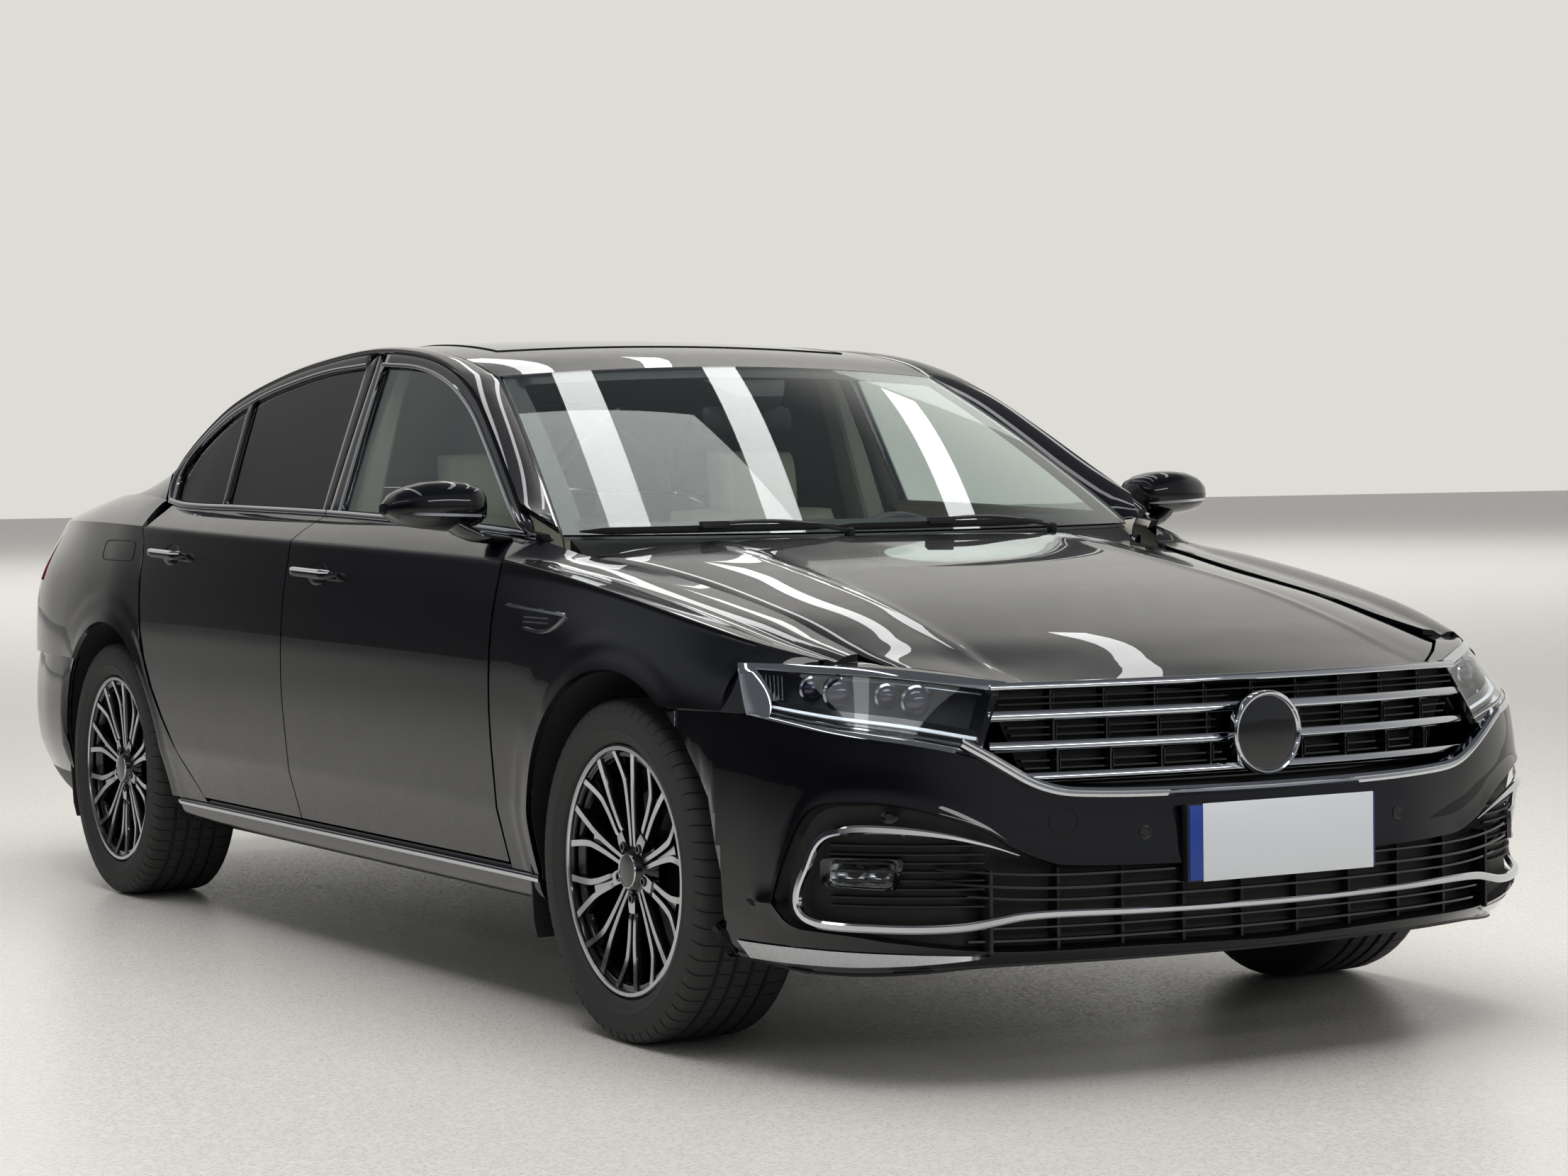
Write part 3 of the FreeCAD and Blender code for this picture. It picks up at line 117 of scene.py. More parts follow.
@dataclass(frozen=True)
class Finish:
    """A surface finish, named for the real material.

    grain is the relief's spacing and depth its height, both in millimetres. second is the colour that
    the relief's hollows or flakes take. clear lets light through the surface. under is the gloss beneath
    a clear coat.
    """
    name: str
    colour: str
    roughness: float = 0.5
    metallic: float = 0.0
    coat: float = 0.0
    coat_roughness: float = 0.03
    ior: float = 1.5
    clear: float = 0.0
    sheen: float = 0.0
    pattern: Pattern = Pattern.SMOOTH
    grain: float = 1.0
    depth: float = 0.05
    second: str = ""
    glow: float = 0.0
    under: float = 0.5

    def material(self) -> bpy.types.Material:
        """The finish as a material, made once."""
        known = bpy.data.materials.get(self.name)
        return known or self._make()

    def _relief(self, tree: bpy.types.NodeTree) -> bpy.types.NodeSocket:
        """The pattern's height, from 0 to 1.

        Args:
            tree: the material's node tree.

        Returns:
            The socket that gives it.
        """
        place = add_node(tree, "ShaderNodeTexCoord").outputs["Object"]
        scale = 1 / (self.grain * MM)
        if self.pattern is Pattern.BRUSHED:
            stretched = add_node(tree, "ShaderNodeMapping", {"Scale": (scale, scale / 30, scale)}, {0: place})
            return add_node(tree, "ShaderNodeTexNoise", {"Scale": 1.0, "Detail": 3.0},
                            {"Vector": stretched.outputs[0]}).outputs[0]
        if self.pattern in (Pattern.LEATHER, Pattern.FLAKE):
            return add_node(tree, "ShaderNodeTexVoronoi", {"Scale": scale},
                            {"Vector": place}).outputs["Distance"]
        detail = {Pattern.GRAIN: 2.0, Pattern.CAST: 6.0, Pattern.CARPET: 8.0}.get(self.pattern, 1.0)
        return add_node(tree, "ShaderNodeTexNoise", {"Scale": scale, "Detail": detail},
                        {"Vector": place}).outputs[0]

    def _make(self) -> bpy.types.Material:
        """Builds the node tree.

        Returns:
            The new material.
        """
        made = bpy.data.materials.new(self.name)
        made.use_nodes = True
        tree = made.node_tree
        shader = tree.nodes["Principled BSDF"]
        values = {"Base Color": linear(self.colour), "Roughness": self.roughness, "Metallic": self.metallic,
                  "Coat Weight": self.coat, "Coat Roughness": self.coat_roughness,
                  "Transmission Weight": self.clear, "Sheen Weight": self.sheen,
                  "Specular IOR Level": self.under}
        if self.metallic < 1:
            values["IOR"] = self.ior
        if self.glow:
            values["Emission Color"] = linear(self.colour)
            values["Emission Strength"] = self.glow
        for key, value in values.items():
            shader.inputs[key].default_value = value
        relief = self._relief(tree)
        wear = add_node(tree, "ShaderNodeMapRange",
                        {"From Min": 0.2, "From Max": 0.8, "To Min": self.roughness * 0.85,
                         "To Max": min(1.0, self.roughness * 1.2)}, {"Value": relief})
        tree.links.new(wear.outputs[0], shader.inputs["Roughness"])
        if self.second:
            mix = add_node(tree, "ShaderNodeMix", {"data_type": "RGBA", 6: linear(self.colour),
                                                   7: linear(self.second)}, {0: relief})
            tree.links.new(mix.outputs[2], shader.inputs["Base Color"])
        if self.pattern is not Pattern.SMOOTH:
            bump = add_node(tree, "ShaderNodeBump", {"Strength": 0.5, "Distance": self.depth * MM},
                            {"Height": relief})
            tree.links.new(bump.outputs[0], shader.inputs["Normal"])
        if self.clear:
            # Light from the lamps passes the pane in a straight line, as it does through thin glass.
            path = add_node(tree, "ShaderNodeLightPath")
            through = add_node(tree, "ShaderNodeBsdfTransparent", {"Color": linear(self.colour)})
            both = add_node(tree, "ShaderNodeMixShader", {}, {0: path.outputs["Is Shadow Ray"],
                                                             1: shader.outputs[0], 2: through.outputs[0]})
            tree.links.new(both.outputs[0], tree.nodes["Material Output"].inputs[0])
        return made


class Stock:
    """The finishes on the car."""
    # Enamelled steel: a black coat with a faint blue flake under deep clear lacquer.
    PAINT = Finish("black_enamel", "030409", 0.4, coat=1.0, coat_roughness=0.008, grain=60, under=0.05)
    # Chromed plastic trim: a hard mirror with hardly any haze.
    CHROME = Finish("chromed_trim", "D3D6DA", 0.05, 1.0, grain=80)
    # Satin chrome inside the lamps.
    SILVER = Finish("metallised_reflector", "B9BDC4", 0.16, 1.0, grain=20)
    # Piano-black ABS.
    GLOSS = Finish("piano_black_abs", "06070A", 0.08, 0.0, 0.6, grain=50)
    # Grained ABS of the intake, cowl and wipers.
    PLASTIC = Finish("grained_abs", "101113", 0.48, pattern=Pattern.GRAIN, grain=1.2, depth=0.05,
                     second="16171A")
    DARK = Finish("deep_black_abs", "050506", 0.6, pattern=Pattern.GRAIN, grain=2.0, depth=0.05)
    # Laminated green-tinted windscreen glass.
    SCREEN = Finish("laminated_glass", "ECF3F1", 0.0, clear=1.0, ior=1.5, grain=300)
    # Tempered door glass, and its privacy version behind the middle pillar.
    GLASS = Finish("tempered_glass", "E2EDE9", 0.0, clear=1.0, ior=1.5, grain=300)
    PRIVACY = Finish("privacy_glass", "101214", 0.0, clear=1.0, ior=1.55, grain=300)
    CLEAR = Finish("polycarbonate_lens", "F2F5F7", 0.0, clear=1.0, ior=1.3, grain=200)
    # Prism pattern behind a fog lamp's lens: bright facets.
    PRISM = Finish("prismatic_reflector", "D5D9DD", 0.22, 0.4, 0.8, pattern=Pattern.LEATHER, grain=9,
                   depth=1.2, second="6A6E73")
    # Glass of a round headlight: dark with a violet coating.
    LENS = Finish("coated_lens_glass", "1B1430", 0.04, 0.2, 1.0, grain=40)
    RED = Finish("red_acrylic", "7A0408", 0.12, 0.0, 0.8, grain=100)
    AMBER = Finish("light_guide", "E9EDF0", 0.25, 0.0, 0.6, glow=0.15, grain=50)
    # Rubber: sidewall bloom and moulding texture.
    RUBBER = Finish("tyre_rubber", "08090A", 0.5, pattern=Pattern.GRAIN, grain=1.5, depth=0.12,
                    second="0E0F10")
    SEAL = Finish("epdm_seal", "0B0B0C", 0.7, pattern=Pattern.GRAIN, grain=1.5, depth=0.03)
    # Diamond-turned aluminium under lacquer: fine turned lines on a bright face.
    TURNED = Finish("turned_aluminium", "C6C9CD", 0.2, 1.0, 0.5, pattern=Pattern.BRUSHED, grain=3, depth=0.01)
    POCKET = Finish("lacquered_wheel_black", "08090B", 0.14, 0.2, 0.8, grain=40)
    DISC = Finish("cast_iron_disc", "5B5C5F", 0.4, 1.0, pattern=Pattern.BRUSHED, grain=4, depth=0.03)
    CASTING = Finish("cast_aluminium", "6C6E71", 0.55, 0.8, pattern=Pattern.CAST, grain=4, depth=0.2,
                     second="55575A")
    STEEL = Finish("pressed_steel", "2A2B2D", 0.5, 0.6, pattern=Pattern.CAST, grain=12, depth=0.2,
                   second="1D1E20")
    LEATHER = Finish("nappa_leather", "B9AF9F", 0.5, sheen=0.1, pattern=Pattern.LEATHER, grain=2.2,
                     depth=0.12, second="C9C0B1")
    HIDE = Finish("black_leather", "141416", 0.5, pattern=Pattern.LEATHER, grain=2.0, depth=0.1,
                  second="1B1B1E")
    FOAM = Finish("slush_moulded_vinyl", "1B1B1E", 0.62, pattern=Pattern.GRAIN, grain=1.6, depth=0.1,
                  second="232327")
    LINING = Finish("woven_headlining", "A8A399", 0.9, sheen=0.2, pattern=Pattern.CARPET, grain=2.5,
                    depth=0.1, second="98938A")
    CARPET = Finish("needlefelt_carpet", "26262A", 0.95, pattern=Pattern.CARPET, grain=3, depth=0.5,
                    second="151517")
    PLATE = Finish("blank_number_plate", "E6EAEE", 0.35, grain=30)
    BLUE = Finish("plate_margin", "123E9A", 0.35, grain=30)
    SILENCER = Finish("aluminised_steel", "77797C", 0.35, 1.0, pattern=Pattern.CAST, grain=15, depth=0.1)
    FLOOR = Finish("honed_floor", "C6C3BC", 0.3, pattern=Pattern.FLAKE, grain=9, depth=0.0, second="D6D3CD")


def smooth(a: float | Vector, slope_a: float | Vector, b: float | Vector, slope_b: float | Vector,
           t: float) -> float | Vector:
    """Reads the smooth curve between two values with given slopes.

    Args:
        a: value where the curve starts.
        slope_a: slope there, for the whole span.
        b: value where it ends.
        slope_b: slope there.
        t: share of the way.

    Returns:
        The value at t.
    """
    return (a * (2 * t**3 - 3 * t**2 + 1) + slope_a * (t**3 - 2 * t**2 + t)
            + b * (3 * t**2 - 2 * t**3) + slope_b * (t**3 - t**2))


def read(table: Sequence[Row], at: float) -> list[float]:
    """Reads a table of (station, values...) between its rows, along a smooth curve.

    Args:
        table: rows in rising order of station.
        at: the station.

    Returns:
        The values there.
    """
    if at <= table[0][0]:
        return list(table[0][1:])
    if at >= table[-1][0]:
        return list(table[-1][1:])
    i = max(k for k in range(len(table) - 1) if table[k][0] <= at)
    a, b = table[i], table[i + 1]
    before, after = table[max(i - 1, 0)], table[min(i + 2, len(table) - 1)]
    span = b[0] - a[0]
    t = (at - a[0]) / span
    out = []
    for k in range(1, len(a)):
        slope_a = (b[k] - before[k]) / (b[0] - before[0]) * span
        slope_b = (after[k] - a[k]) / (after[0] - a[0]) * span
        out.append(smooth(a[k], slope_a, b[k], slope_b, t))
    return out


def straight(line: Sequence[Row], h: float) -> float:
    """Reads rows of (height, y) straight between them.

    Args:
        line: the rows, upwards.
        h: the height.

    Returns:
        The station at that height.
    """
    for (h0, y0), (h1, y1) in zip(line, line[1:]):
        if h <= h1:
            return y0 + (y1 - y0) * (h - h0) / (h1 - h0)
    return line[-1][1]


def shares(count: int) -> list[float]:
    """Evenly spaced shares from 0 to 1, count of them."""
    return [i / (count - 1) for i in range(count)]


def between(start: float, end: float, count: int) -> list[float]:
    """Evenly spaced values from start to end, count of them."""
    return [start + (end - start) * t for t in shares(count)]


def turns(count: int) -> list[float]:
    """Evenly spaced angles of one full turn, in radians."""
    return [math.tau * k / count for k in range(count)]


def squared(value: float, power: float) -> float:
    """A sine or cosine pushed outwards, so that a ring drawn with it turns from round to square."""
    return math.copysign(abs(value) ** power, value)


def ridge(distance: float, width: float) -> float:
    """Height from 0 to 1 of a rounded ridge at a distance from its crest."""
    return math.exp(-(distance / width) ** 2)


def bow(t: float) -> float:
    """Height from 0 to 1 of a bow between its ends, at a share of its length."""
    return 4 * t * (1 - t)


def evenly(run: Line, count: int, steps: int) -> Line:
    """Points at even distances along a run of points.

    Args:
        run: the points to follow.
        count: how many to return.
        steps: equal steps that the whole run is cut into.

    Returns:
        The points, the start first.
    """
    reach = [0.0]
    for a, b in zip(run, run[1:]):
        reach.append(reach[-1] + (b - a).length)
    out, j = [], 0
    for i in range(count):
        want = reach[-1] * i / steps
        while j < len(run) - 2 and reach[j + 1] < want:
            j += 1
        span = max(reach[j + 1] - reach[j], 1e-12)
        out.append(run[j].lerp(run[j + 1], min(1.0, (want - reach[j]) / span)))
    return out


def spline(points: Sequence[Vector], count: int, closed: bool = False) -> Line:
    """Evenly spaced points along a smooth curve.

    Args:
        points: points that the curve passes.
        count: how many to return.
        closed: whether the curve comes back to its start.

    Returns:
        The points, without the start again where the curve is closed.
    """
    n = len(points)
    fine: Line = []
    for i in range(n if closed else n - 1):
        p1, p2 = points[i], points[(i + 1) % n]
        p0 = points[i - 1] if closed or i else p1 * 2 - p2
        p3 = points[(i + 2) % n] if closed or i < n - 2 else p2 * 2 - p1
        chord = max((p2 - p1).length, 1e-9)
        m1 = (p2 - p0) * (chord / max((p2 - p1).length + (p1 - p0).length, 1e-9))
        m2 = (p3 - p1) * (chord / max((p3 - p2).length + (p2 - p1).length, 1e-9))
        fine += [smooth(p1, m1, p2, m2, k / SPLINE_STEPS) for k in range(SPLINE_STEPS)]
    fine.append(points[0].copy() if closed else points[-1].copy())
    return evenly(fine, count, count if closed else count - 1)


def point(x: float, y: float, h: float) -> Vector:
    """A drawn point, in metres."""
    return Vector((x, y, h)) * MM


def tangents(path: Line, closed: bool = False) -> Line:
    """Directions along a path, one for each of its points.

    Args:
        path: the points.
        closed: whether the end joins the start.

    Returns:
        One unit vector for each point.
    """
    n = len(path)
    out = []
    for i in range(n):
        a = path[i - 1] if closed or i else path[0]
        b = path[(i + 1) % n] if closed or i < n - 1 else path[-1]
        out.append((b - a).normalized())
    return out


class Mesher:
    """Collects faces with their finishes and makes one object of them."""

    def __init__(self) -> None:
        self.points: Line = []
        self.faces: list[tuple[tuple[int, ...], Finish]] = []

    def grid(self, rows: Sequence[Line], finish: Finish, around: bool = False) -> None:
        """Adds quads between rows of equally many points; around joins each row's end to its start.

        Args:
            rows: the rows.
            finish: the surface.
            around: whether each row is a ring.
        """
        base, wide = len(self.points), len(rows[0])
        for row in rows:
            self.points.extend(row)
        for i in range(len(rows) - 1):
            for j in range(wide if around else wide - 1):
                k = (j + 1) % wide
                a, b = base + i * wide, base + (i + 1) * wide
                self.faces.append(((a + j, a + k, b + k, b + j), finish))

    def fan(self, ring: Line, finish: Finish) -> None:
        """Closes a ring with one face.

        Args:
            ring: the ring's points.
            finish: the surface.
        """
        base = len(self.points)
        self.points.extend(ring)
        self.faces.append((tuple(range(base, base + len(ring))), finish))

    def loft(self, rings: Sequence[Line], finish: Finish, closed: bool = False) -> None:
        """Adds a closed skin through rings, with flat ends unless the rings themselves close.

        Args:
            rings: rings of equally many points.
            finish: the surface.
            closed: whether the end joins the start.
        """
        chain = list(rings) + [rings[0]] if closed else rings
        self.grid(chain, finish, around=True)
        if not closed:
            self.fan(list(rings[0]), finish)
            self.fan(list(rings[-1]), finish)

    def shell(self, outer: Sequence[Line], inner: Sequence[Line], finish: Finish,
              lining: Finish | None = None) -> None:
        """Adds a wall between an outer and an inner sheet of as many points.

        Args:
            outer: rows of the outer sheet.
            inner: rows of the inner sheet.
            finish: the surface.
            lining: finish of the inner sheet, where it differs.
        """
        self.grid(outer, finish)
        self.grid(inner, lining or finish)
        self.edges(outer, inner, finish)

    def edges(self, outer: Sequence[Line], inner: Sequence[Line], finish: Finish) -> None:
        """Closes the four edges between two sheets of as many points.

        Args:
            outer: rows of the one sheet.
            inner: rows of the other.
            finish: the edges' finish.
        """
        for k in (0, -1):
            self.grid([outer[k], inner[k]], finish)
        for k in (0, -1):
            self.grid([[row[k] for row in outer], [row[k] for row in inner]], finish)

    def skin(self, rows: Sequence[Line], depth: float, finish: Finish, lining: Finish | None = None) -> None:
        """Adds a wall whose inner sheet lies square behind the outer one, by depth in metres.

        Args:
            rows: the outer sheet, in such an order that its normals point out of the car or part.
            depth: the wall; a negative depth turns it to the other side.
            finish: the outside and the edges.
            lining: the inside.
        """
        inner = []
        for i, row in enumerate(rows):
            above, below = rows[max(i - 1, 0)], rows[min(i + 1, len(rows) - 1)]
            line = []
            for j, here in enumerate(row):
                along = row[min(j + 1, len(row) - 1)] - row[max(j - 1, 0)]
                across = below[j] - above[j]
                normal = along.cross(across)
                line.append(here - normal.normalized() * depth if normal.length > 1e-12 else here.copy())
            inner.append(line)
        self.shell(rows, inner, finish, lining)

    def sweep(self, path: Line, outward: Callable[[int], Vector] | Vector,
              section: Sequence[tuple[float, float]], finish: Finish, closed: bool = False,
              grow: Callable[[float], float] | None = None) -> None:
        """Carries a section along a path.

        Args:
            path: the points to follow.
            outward: the direction in which the section's second number counts, one for all or by point.
            section: ring of (across, outward) in metres.
            finish: the surface.
            closed: whether the path comes back to its start.
            grow: the section's scale by share of the path.
        """
        rings = []
        for i, (here, along) in enumerate(zip(path, tangents(path, closed))):
            out = outward(i) if callable(outward) else outward
            side = along.cross(out).normalized()
            up = side.cross(along).normalized()
            size = grow(i / (len(path) - 1)) if grow else 1.0
            rings.append([here + side * (a * size) + up * (b * size) for a, b in section])
        self.loft(rings, finish, closed)

    def revolve(self, profile: Sequence[Row], steps: int, finish: Finish) -> None:
        """Turns a closed profile round the X axis.

        Args:
            profile: (x, radius) in millimetres.
            steps: flats of the turned form.
            finish: the surface.
        """
        self.loft([[point(x, r * math.cos(a), r * math.sin(a)) for x, r in profile] for a in turns(steps)],
                  finish, closed=True)

    def block(self, low: Vector, high: Vector, finish: Finish, taper: float = 1.0) -> None:
        """Adds a block between two corners; taper scales its upper face.

        Args:
            low: corner with the lowest values.
            high: the opposite corner.
            finish: the surface.
            taper: the upper face's scale.
        """
        mid = (low + high) / 2
        rings = []
        for h, s in ((low.z, 1.0), (high.z, taper)):
            rings.append([Vector((mid.x + (x - mid.x) * s, mid.y + (y - mid.y) * s, h))
                          for x, y in ((low.x, low.y), (high.x, low.y), (high.x, high.y), (low.x, high.y))])
        self.loft(rings, finish)

    def mirror(self) -> "Mesher":
        """Adds the mirror image of everything so far on the car's other side.

        Returns:
            The mesher itself.
        """
        count = len(self.points)
        self.points.extend(Vector((-p.x, p.y, p.z)) for p in self.points[:count])
        self.faces.extend((tuple(i + count for i in face[::-1]), finish) for face, finish in list(self.faces))
        return self

    def add(self, other: "Mesher") -> None:
        """Takes over another mesher's faces.

        Args:
            other: the mesher that has them.
        """
        count = len(self.points)
        self.points += other.points
        self.faces += [(tuple(i + count for i in face), finish) for face, finish in other.faces]

    def refinish(self, choose: Callable[[Vector, Finish], Finish]) -> None:
        """Gives each face the finish that is chosen from its middle and its present finish.

        Args:
            choose: takes a face's middle and finish and gives the new finish.
        """
        for k, (face, finish) in enumerate(self.faces):
            mid = sum((self.points[i] for i in face), Vector()) / len(face)
            self.faces[k] = (face, choose(mid, finish))

    def moved(self, matrix: Matrix) -> "Mesher":
        """Moves everything so far."""
        self.points = [matrix @ p for p in self.points]
        return self

    def build(self, name: str, bevel: float = 0.0, sharp: float = 38.0) -> bpy.types.Object:
        """Makes the object.

        Args:
            name: its name.
            bevel: width in metres of the rounding on edges sharper than 50 degrees.
            sharp: edges sharper than this many degrees stay crisp.

        Returns:
            The object, at the origin, with its modifiers applied.
        """
        mesh = bpy.data.meshes.new(name)
        mesh.from_pydata([tuple(p) for p in self.points], [], [face for face, _ in self.faces])
        order = list(dict.fromkeys(finish for _, finish in self.faces))
        for finish in order:
            mesh.materials.append(finish.material())
        for polygon, (_, finish) in zip(mesh.polygons, self.faces):
            polygon.material_index = order.index(finish)
        work = bmesh.new()
        work.from_mesh(mesh)
        bmesh.ops.remove_doubles(work, verts=work.verts, dist=2e-6)
        bmesh.ops.dissolve_degenerate(work, edges=work.edges, dist=1e-7)
        bmesh.ops.recalc_face_normals(work, faces=work.faces)
        work.to_mesh(mesh)
        work.free()
        piece = bpy.data.objects.new(name, mesh)
        bpy.context.scene.collection.objects.link(piece)
        if bevel:
            rounding = piece.modifiers.new("rounding", "BEVEL")
            rounding.width = bevel
            rounding.segments = 2
            rounding.limit_method = "ANGLE"
            rounding.angle_limit = math.radians(50)
            settle(piece)
        crisp(piece, sharp)
        return piece


def bar_section(half: float, low: float, top_half: float, high: float) -> list[tuple[float, float]]:
    """Four-cornered section to sweep: half widths below and above, and the heights of both, in metres."""
    return [(-half, low), (half, low), (top_half, high), (-top_half, high)]


def facing_rings(y: float, h: float, radius: float, profile: Sequence[Row], steps: int) -> list[Line]:
    """Rings about a lengthwise axis in the car's middle.

    Args:
        y: station that the profile counts from.
        h: height of the axis.
        radius: the full radius.
        profile: (share of the radius, distance behind the station) of each ring.
        steps: points of a ring.

    Returns:
        The rings.
    """
    return [[point(radius * r * math.cos(a), y + dy, h + radius * r * math.sin(a)) for a in turns(steps)]
            for r, dy in profile]


def settle(piece: bpy.types.Object) -> None:
    """Applies a piece's modifiers to its mesh.

    Args:
        piece: the object.
    """
    shape = bpy.data.meshes.new_from_object(piece.evaluated_get(bpy.context.evaluated_depsgraph_get()))
    piece.modifiers.clear()
    piece.data = shape
    shape.name = piece.name


def crisp(piece: bpy.types.Object, degrees: float) -> None:
    """Shades a piece smooth, apart from edges sharper than the given angle.

    Args:
        piece: the object.
        degrees: the angle.
    """
    work = bmesh.new()
    work.from_mesh(piece.data)
    for face in work.faces:
        face.smooth = True
    for edge in work.edges:
        edge.smooth = not (edge.is_boundary or edge.calc_face_angle(0.0) > math.radians(degrees))
    work.to_mesh(piece.data)
    work.free()


def dress(piece: bpy.types.Object, body: str, slot: str, *nodes: str) -> bpy.types.Object:
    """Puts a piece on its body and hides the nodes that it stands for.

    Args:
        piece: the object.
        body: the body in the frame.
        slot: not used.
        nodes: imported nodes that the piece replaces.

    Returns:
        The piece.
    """
    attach(piece, body)
    if nodes:
        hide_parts(*nodes)
    LOG.info("%s rides on %s, %d faces", piece.name, body, len(piece.data.polygons))
    return piece


@dataclass(frozen=True)
class Repeater:
    """Geometry Nodes that repeat a shape, either turned about X or moved along a line."""
    name: str
    turned: bool

    def tree(self) -> bpy.types.NodeTree:
        """The node tree, with named inputs for its count, step and finishes.

        Returns:
            The tree, made once.
        """
        known = bpy.data.node_groups.get(self.name)
        if known:
            return known
        tree = bpy.data.node_groups.new(self.name, "GeometryNodeTree")
        sockets = (("Shape", "NodeSocketGeometry"), ("Count", "NodeSocketInt"), ("Step", "NodeSocketVector"),
                   ("Centre", "NodeSocketVector"), ("Side Finish", "NodeSocketMaterial"),
                   ("Face Finish", "NodeSocketMaterial"))
        for label, kind in sockets:
            tree.interface.new_socket(label, in_out="INPUT", socket_type=kind)
        tree.interface.new_socket("Shape", in_out="OUTPUT", socket_type="NodeSocketGeometry")
        given = add_node(tree, "NodeGroupInput").outputs
        single = add_node(tree, "GeometryNodeGeometryToInstance", {}, {0: given["Shape"]})
        copies = add_node(tree, "GeometryNodeDuplicateElements", {"domain": "INSTANCE"},
                          {"Geometry": single.outputs[0], "Amount": given["Count"]})
        step = add_node(tree, "ShaderNodeVectorMath", {"operation": "SCALE"},
                        {0: given["Step"], "Scale": copies.outputs["Duplicate Index"]})
        if self.turned:
            placed = add_node(tree, "GeometryNodeRotateInstances", {"Local Space": False},
                              {"Instances": copies.outputs[0], "Rotation": step.outputs[0],
                               "Pivot Point": given["Centre"]})
        else:
            placed = add_node(tree, "GeometryNodeTranslateInstances", {"Local Space": False},
                              {"Instances": copies.outputs[0], "Translation": step.outputs[0]})
        real = add_node(tree, "GeometryNodeRealizeInstances", {}, {0: placed.outputs[0]})
        sides = add_node(tree, "GeometryNodeSetMaterial", {}, {"Geometry": real.outputs[0],
                                                              "Material": given["Side Finish"]})
        normal = add_node(tree, "GeometryNodeInputNormal")
        parts = add_node(tree, "ShaderNodeSeparateXYZ", {}, {0: normal.outputs[0]})
        facing = add_node(tree, "FunctionNodeCompare", {"operation": "GREATER_THAN", 1: 0.8},
                          {0: parts.outputs["X"]})
        faced = add_node(tree, "GeometryNodeSetMaterial", {}, {"Geometry": sides.outputs[0],
                                                              "Selection": facing.outputs[0],
                                                              "Material": given["Face Finish"]})
        add_node(tree, "NodeGroupOutput", {}, {0: faced.outputs[0]})
        return tree

    def apply(self, piece: bpy.types.Object, count: int, step: Vector, centre: Vector, side: Finish,
              face: Finish) -> bpy.types.Object:
        """Repeats a piece's mesh and settles the result.

        Args:
            piece: the shape to repeat.
            count: copies, the first one included.
            step: turn in radians or move in metres from one copy to the next.
            centre: the point that copies turn about.
            side: finish of the copies.
            face: finish of what faces +X.

        Returns:
            The piece with its repeats as one plain mesh.
        """
        tree = self.tree()
        repeat = piece.modifiers.new("repeat", "NODES")
        repeat.node_group = tree
        values = {"Count": count, "Step": tuple(step), "Centre": tuple(centre),
                  "Side Finish": side.material(), "Face Finish": face.material()}
        for item in tree.interface.items_tree:
            if item.in_out == "INPUT" and item.name in values:
                repeat[item.identifier] = values[item.name]
        settle(piece)
        crisp(piece, 35)
        return piece


RING = Repeater("repeat_round_axle", True)
ROW = Repeater("repeat_along_line", False)


# The car's drawn lines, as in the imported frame.
# Side section by station: half widths at the sill, low crease, widest line, upper door and shoulder, the
# shoulder's height, and the belt's half width and height.
SIDE = (
    (-2150, 868, 880, 890, 862, 772, 784, 692, 792), (-2000, 886, 902, 916, 894, 826, 812, 684, 822),
    (-1850, 896, 914, 934, 918, 858, 842, 678, 856), (-1587, 900, 926, 944, 932, 884, 888, 680, 900),
    (-1300, 897, 926, 942, 934, 897, 930, 706, 943), (-1120, 894, 926, 941, 934, 903, 950, 756, 968),
    (-1035, 893, 926, 941, 934, 905, 957, 815, 1001), (-450, 893, 927, 943, 936, 910, 973, 826, 1030),
    (130, 893, 928, 945, 938, 912, 986, 813, 1047), (700, 893, 928, 945, 938, 911, 1000, 807, 1057),
    (1150, 895, 928, 945, 937, 905, 1012, 804, 1065), (1422, 900, 930, 945, 934, 893, 1018, 782, 1090),
    (1850, 896, 920, 928, 908, 852, 1022, 716, 1094), (2200, 850, 868, 880, 862, 776, 1018, 648, 1076),
    (2400, 770, 786, 800, 786, 700, 1012, 610, 1060))
SILL_LINE, LOW_LINE, WIDE_LINE, UPPER_SHARE = 300.0, 428.0, 640.0, 0.55
# Upper edge of the side windows: station, half width, height.
ROOF_EDGE = (
    (-1035, 842, 1012), (-830, 790, 1128), (-662, 748, 1226), (-496, 710, 1314), (-321, 683, 1380),
    (-122, 666, 1420), (184, 657, 1441), (474, 663, 1427), (763, 678, 1391), (1040, 704, 1327),
    (1200, 736, 1247), (1290, 775, 1160), (1330, 800, 1085))
# Shut lines of the doors: height, station.
FRONT_SHUT = ((290, -1035), (800, -1035), (960, -1037), (1000, -1050), (1500, -1050))
MIDDLE_SHUT = ((290, 130), (900, 130), (1050, 134), (1500, 166))
REAR_SHUT = ((290, 770), (346, 823), (440, 925), (540, 1017), (640, 1085), (744, 1127), (860, 1146),
             (960, 1158), (1010, 1200), (1066, 1284), (1120, 1312), (1500, 1312))
GAP = 3.0
# Roof across the car: station in the middle, station at the side, half width, edge height, middle height.
ROOF = ((-446, -386, 598, 1369, 1393), (-260, -240, 604, 1412, 1436), (0, 0, 604, 1446, 1466),
        (250, 250, 602, 1456, 1478), (600, 600, 610, 1438, 1464), (900, 900, 616, 1396, 1430),
        (1080, 1090, 604, 1362, 1402), (1190, 1240, 568, 1341, 1381))
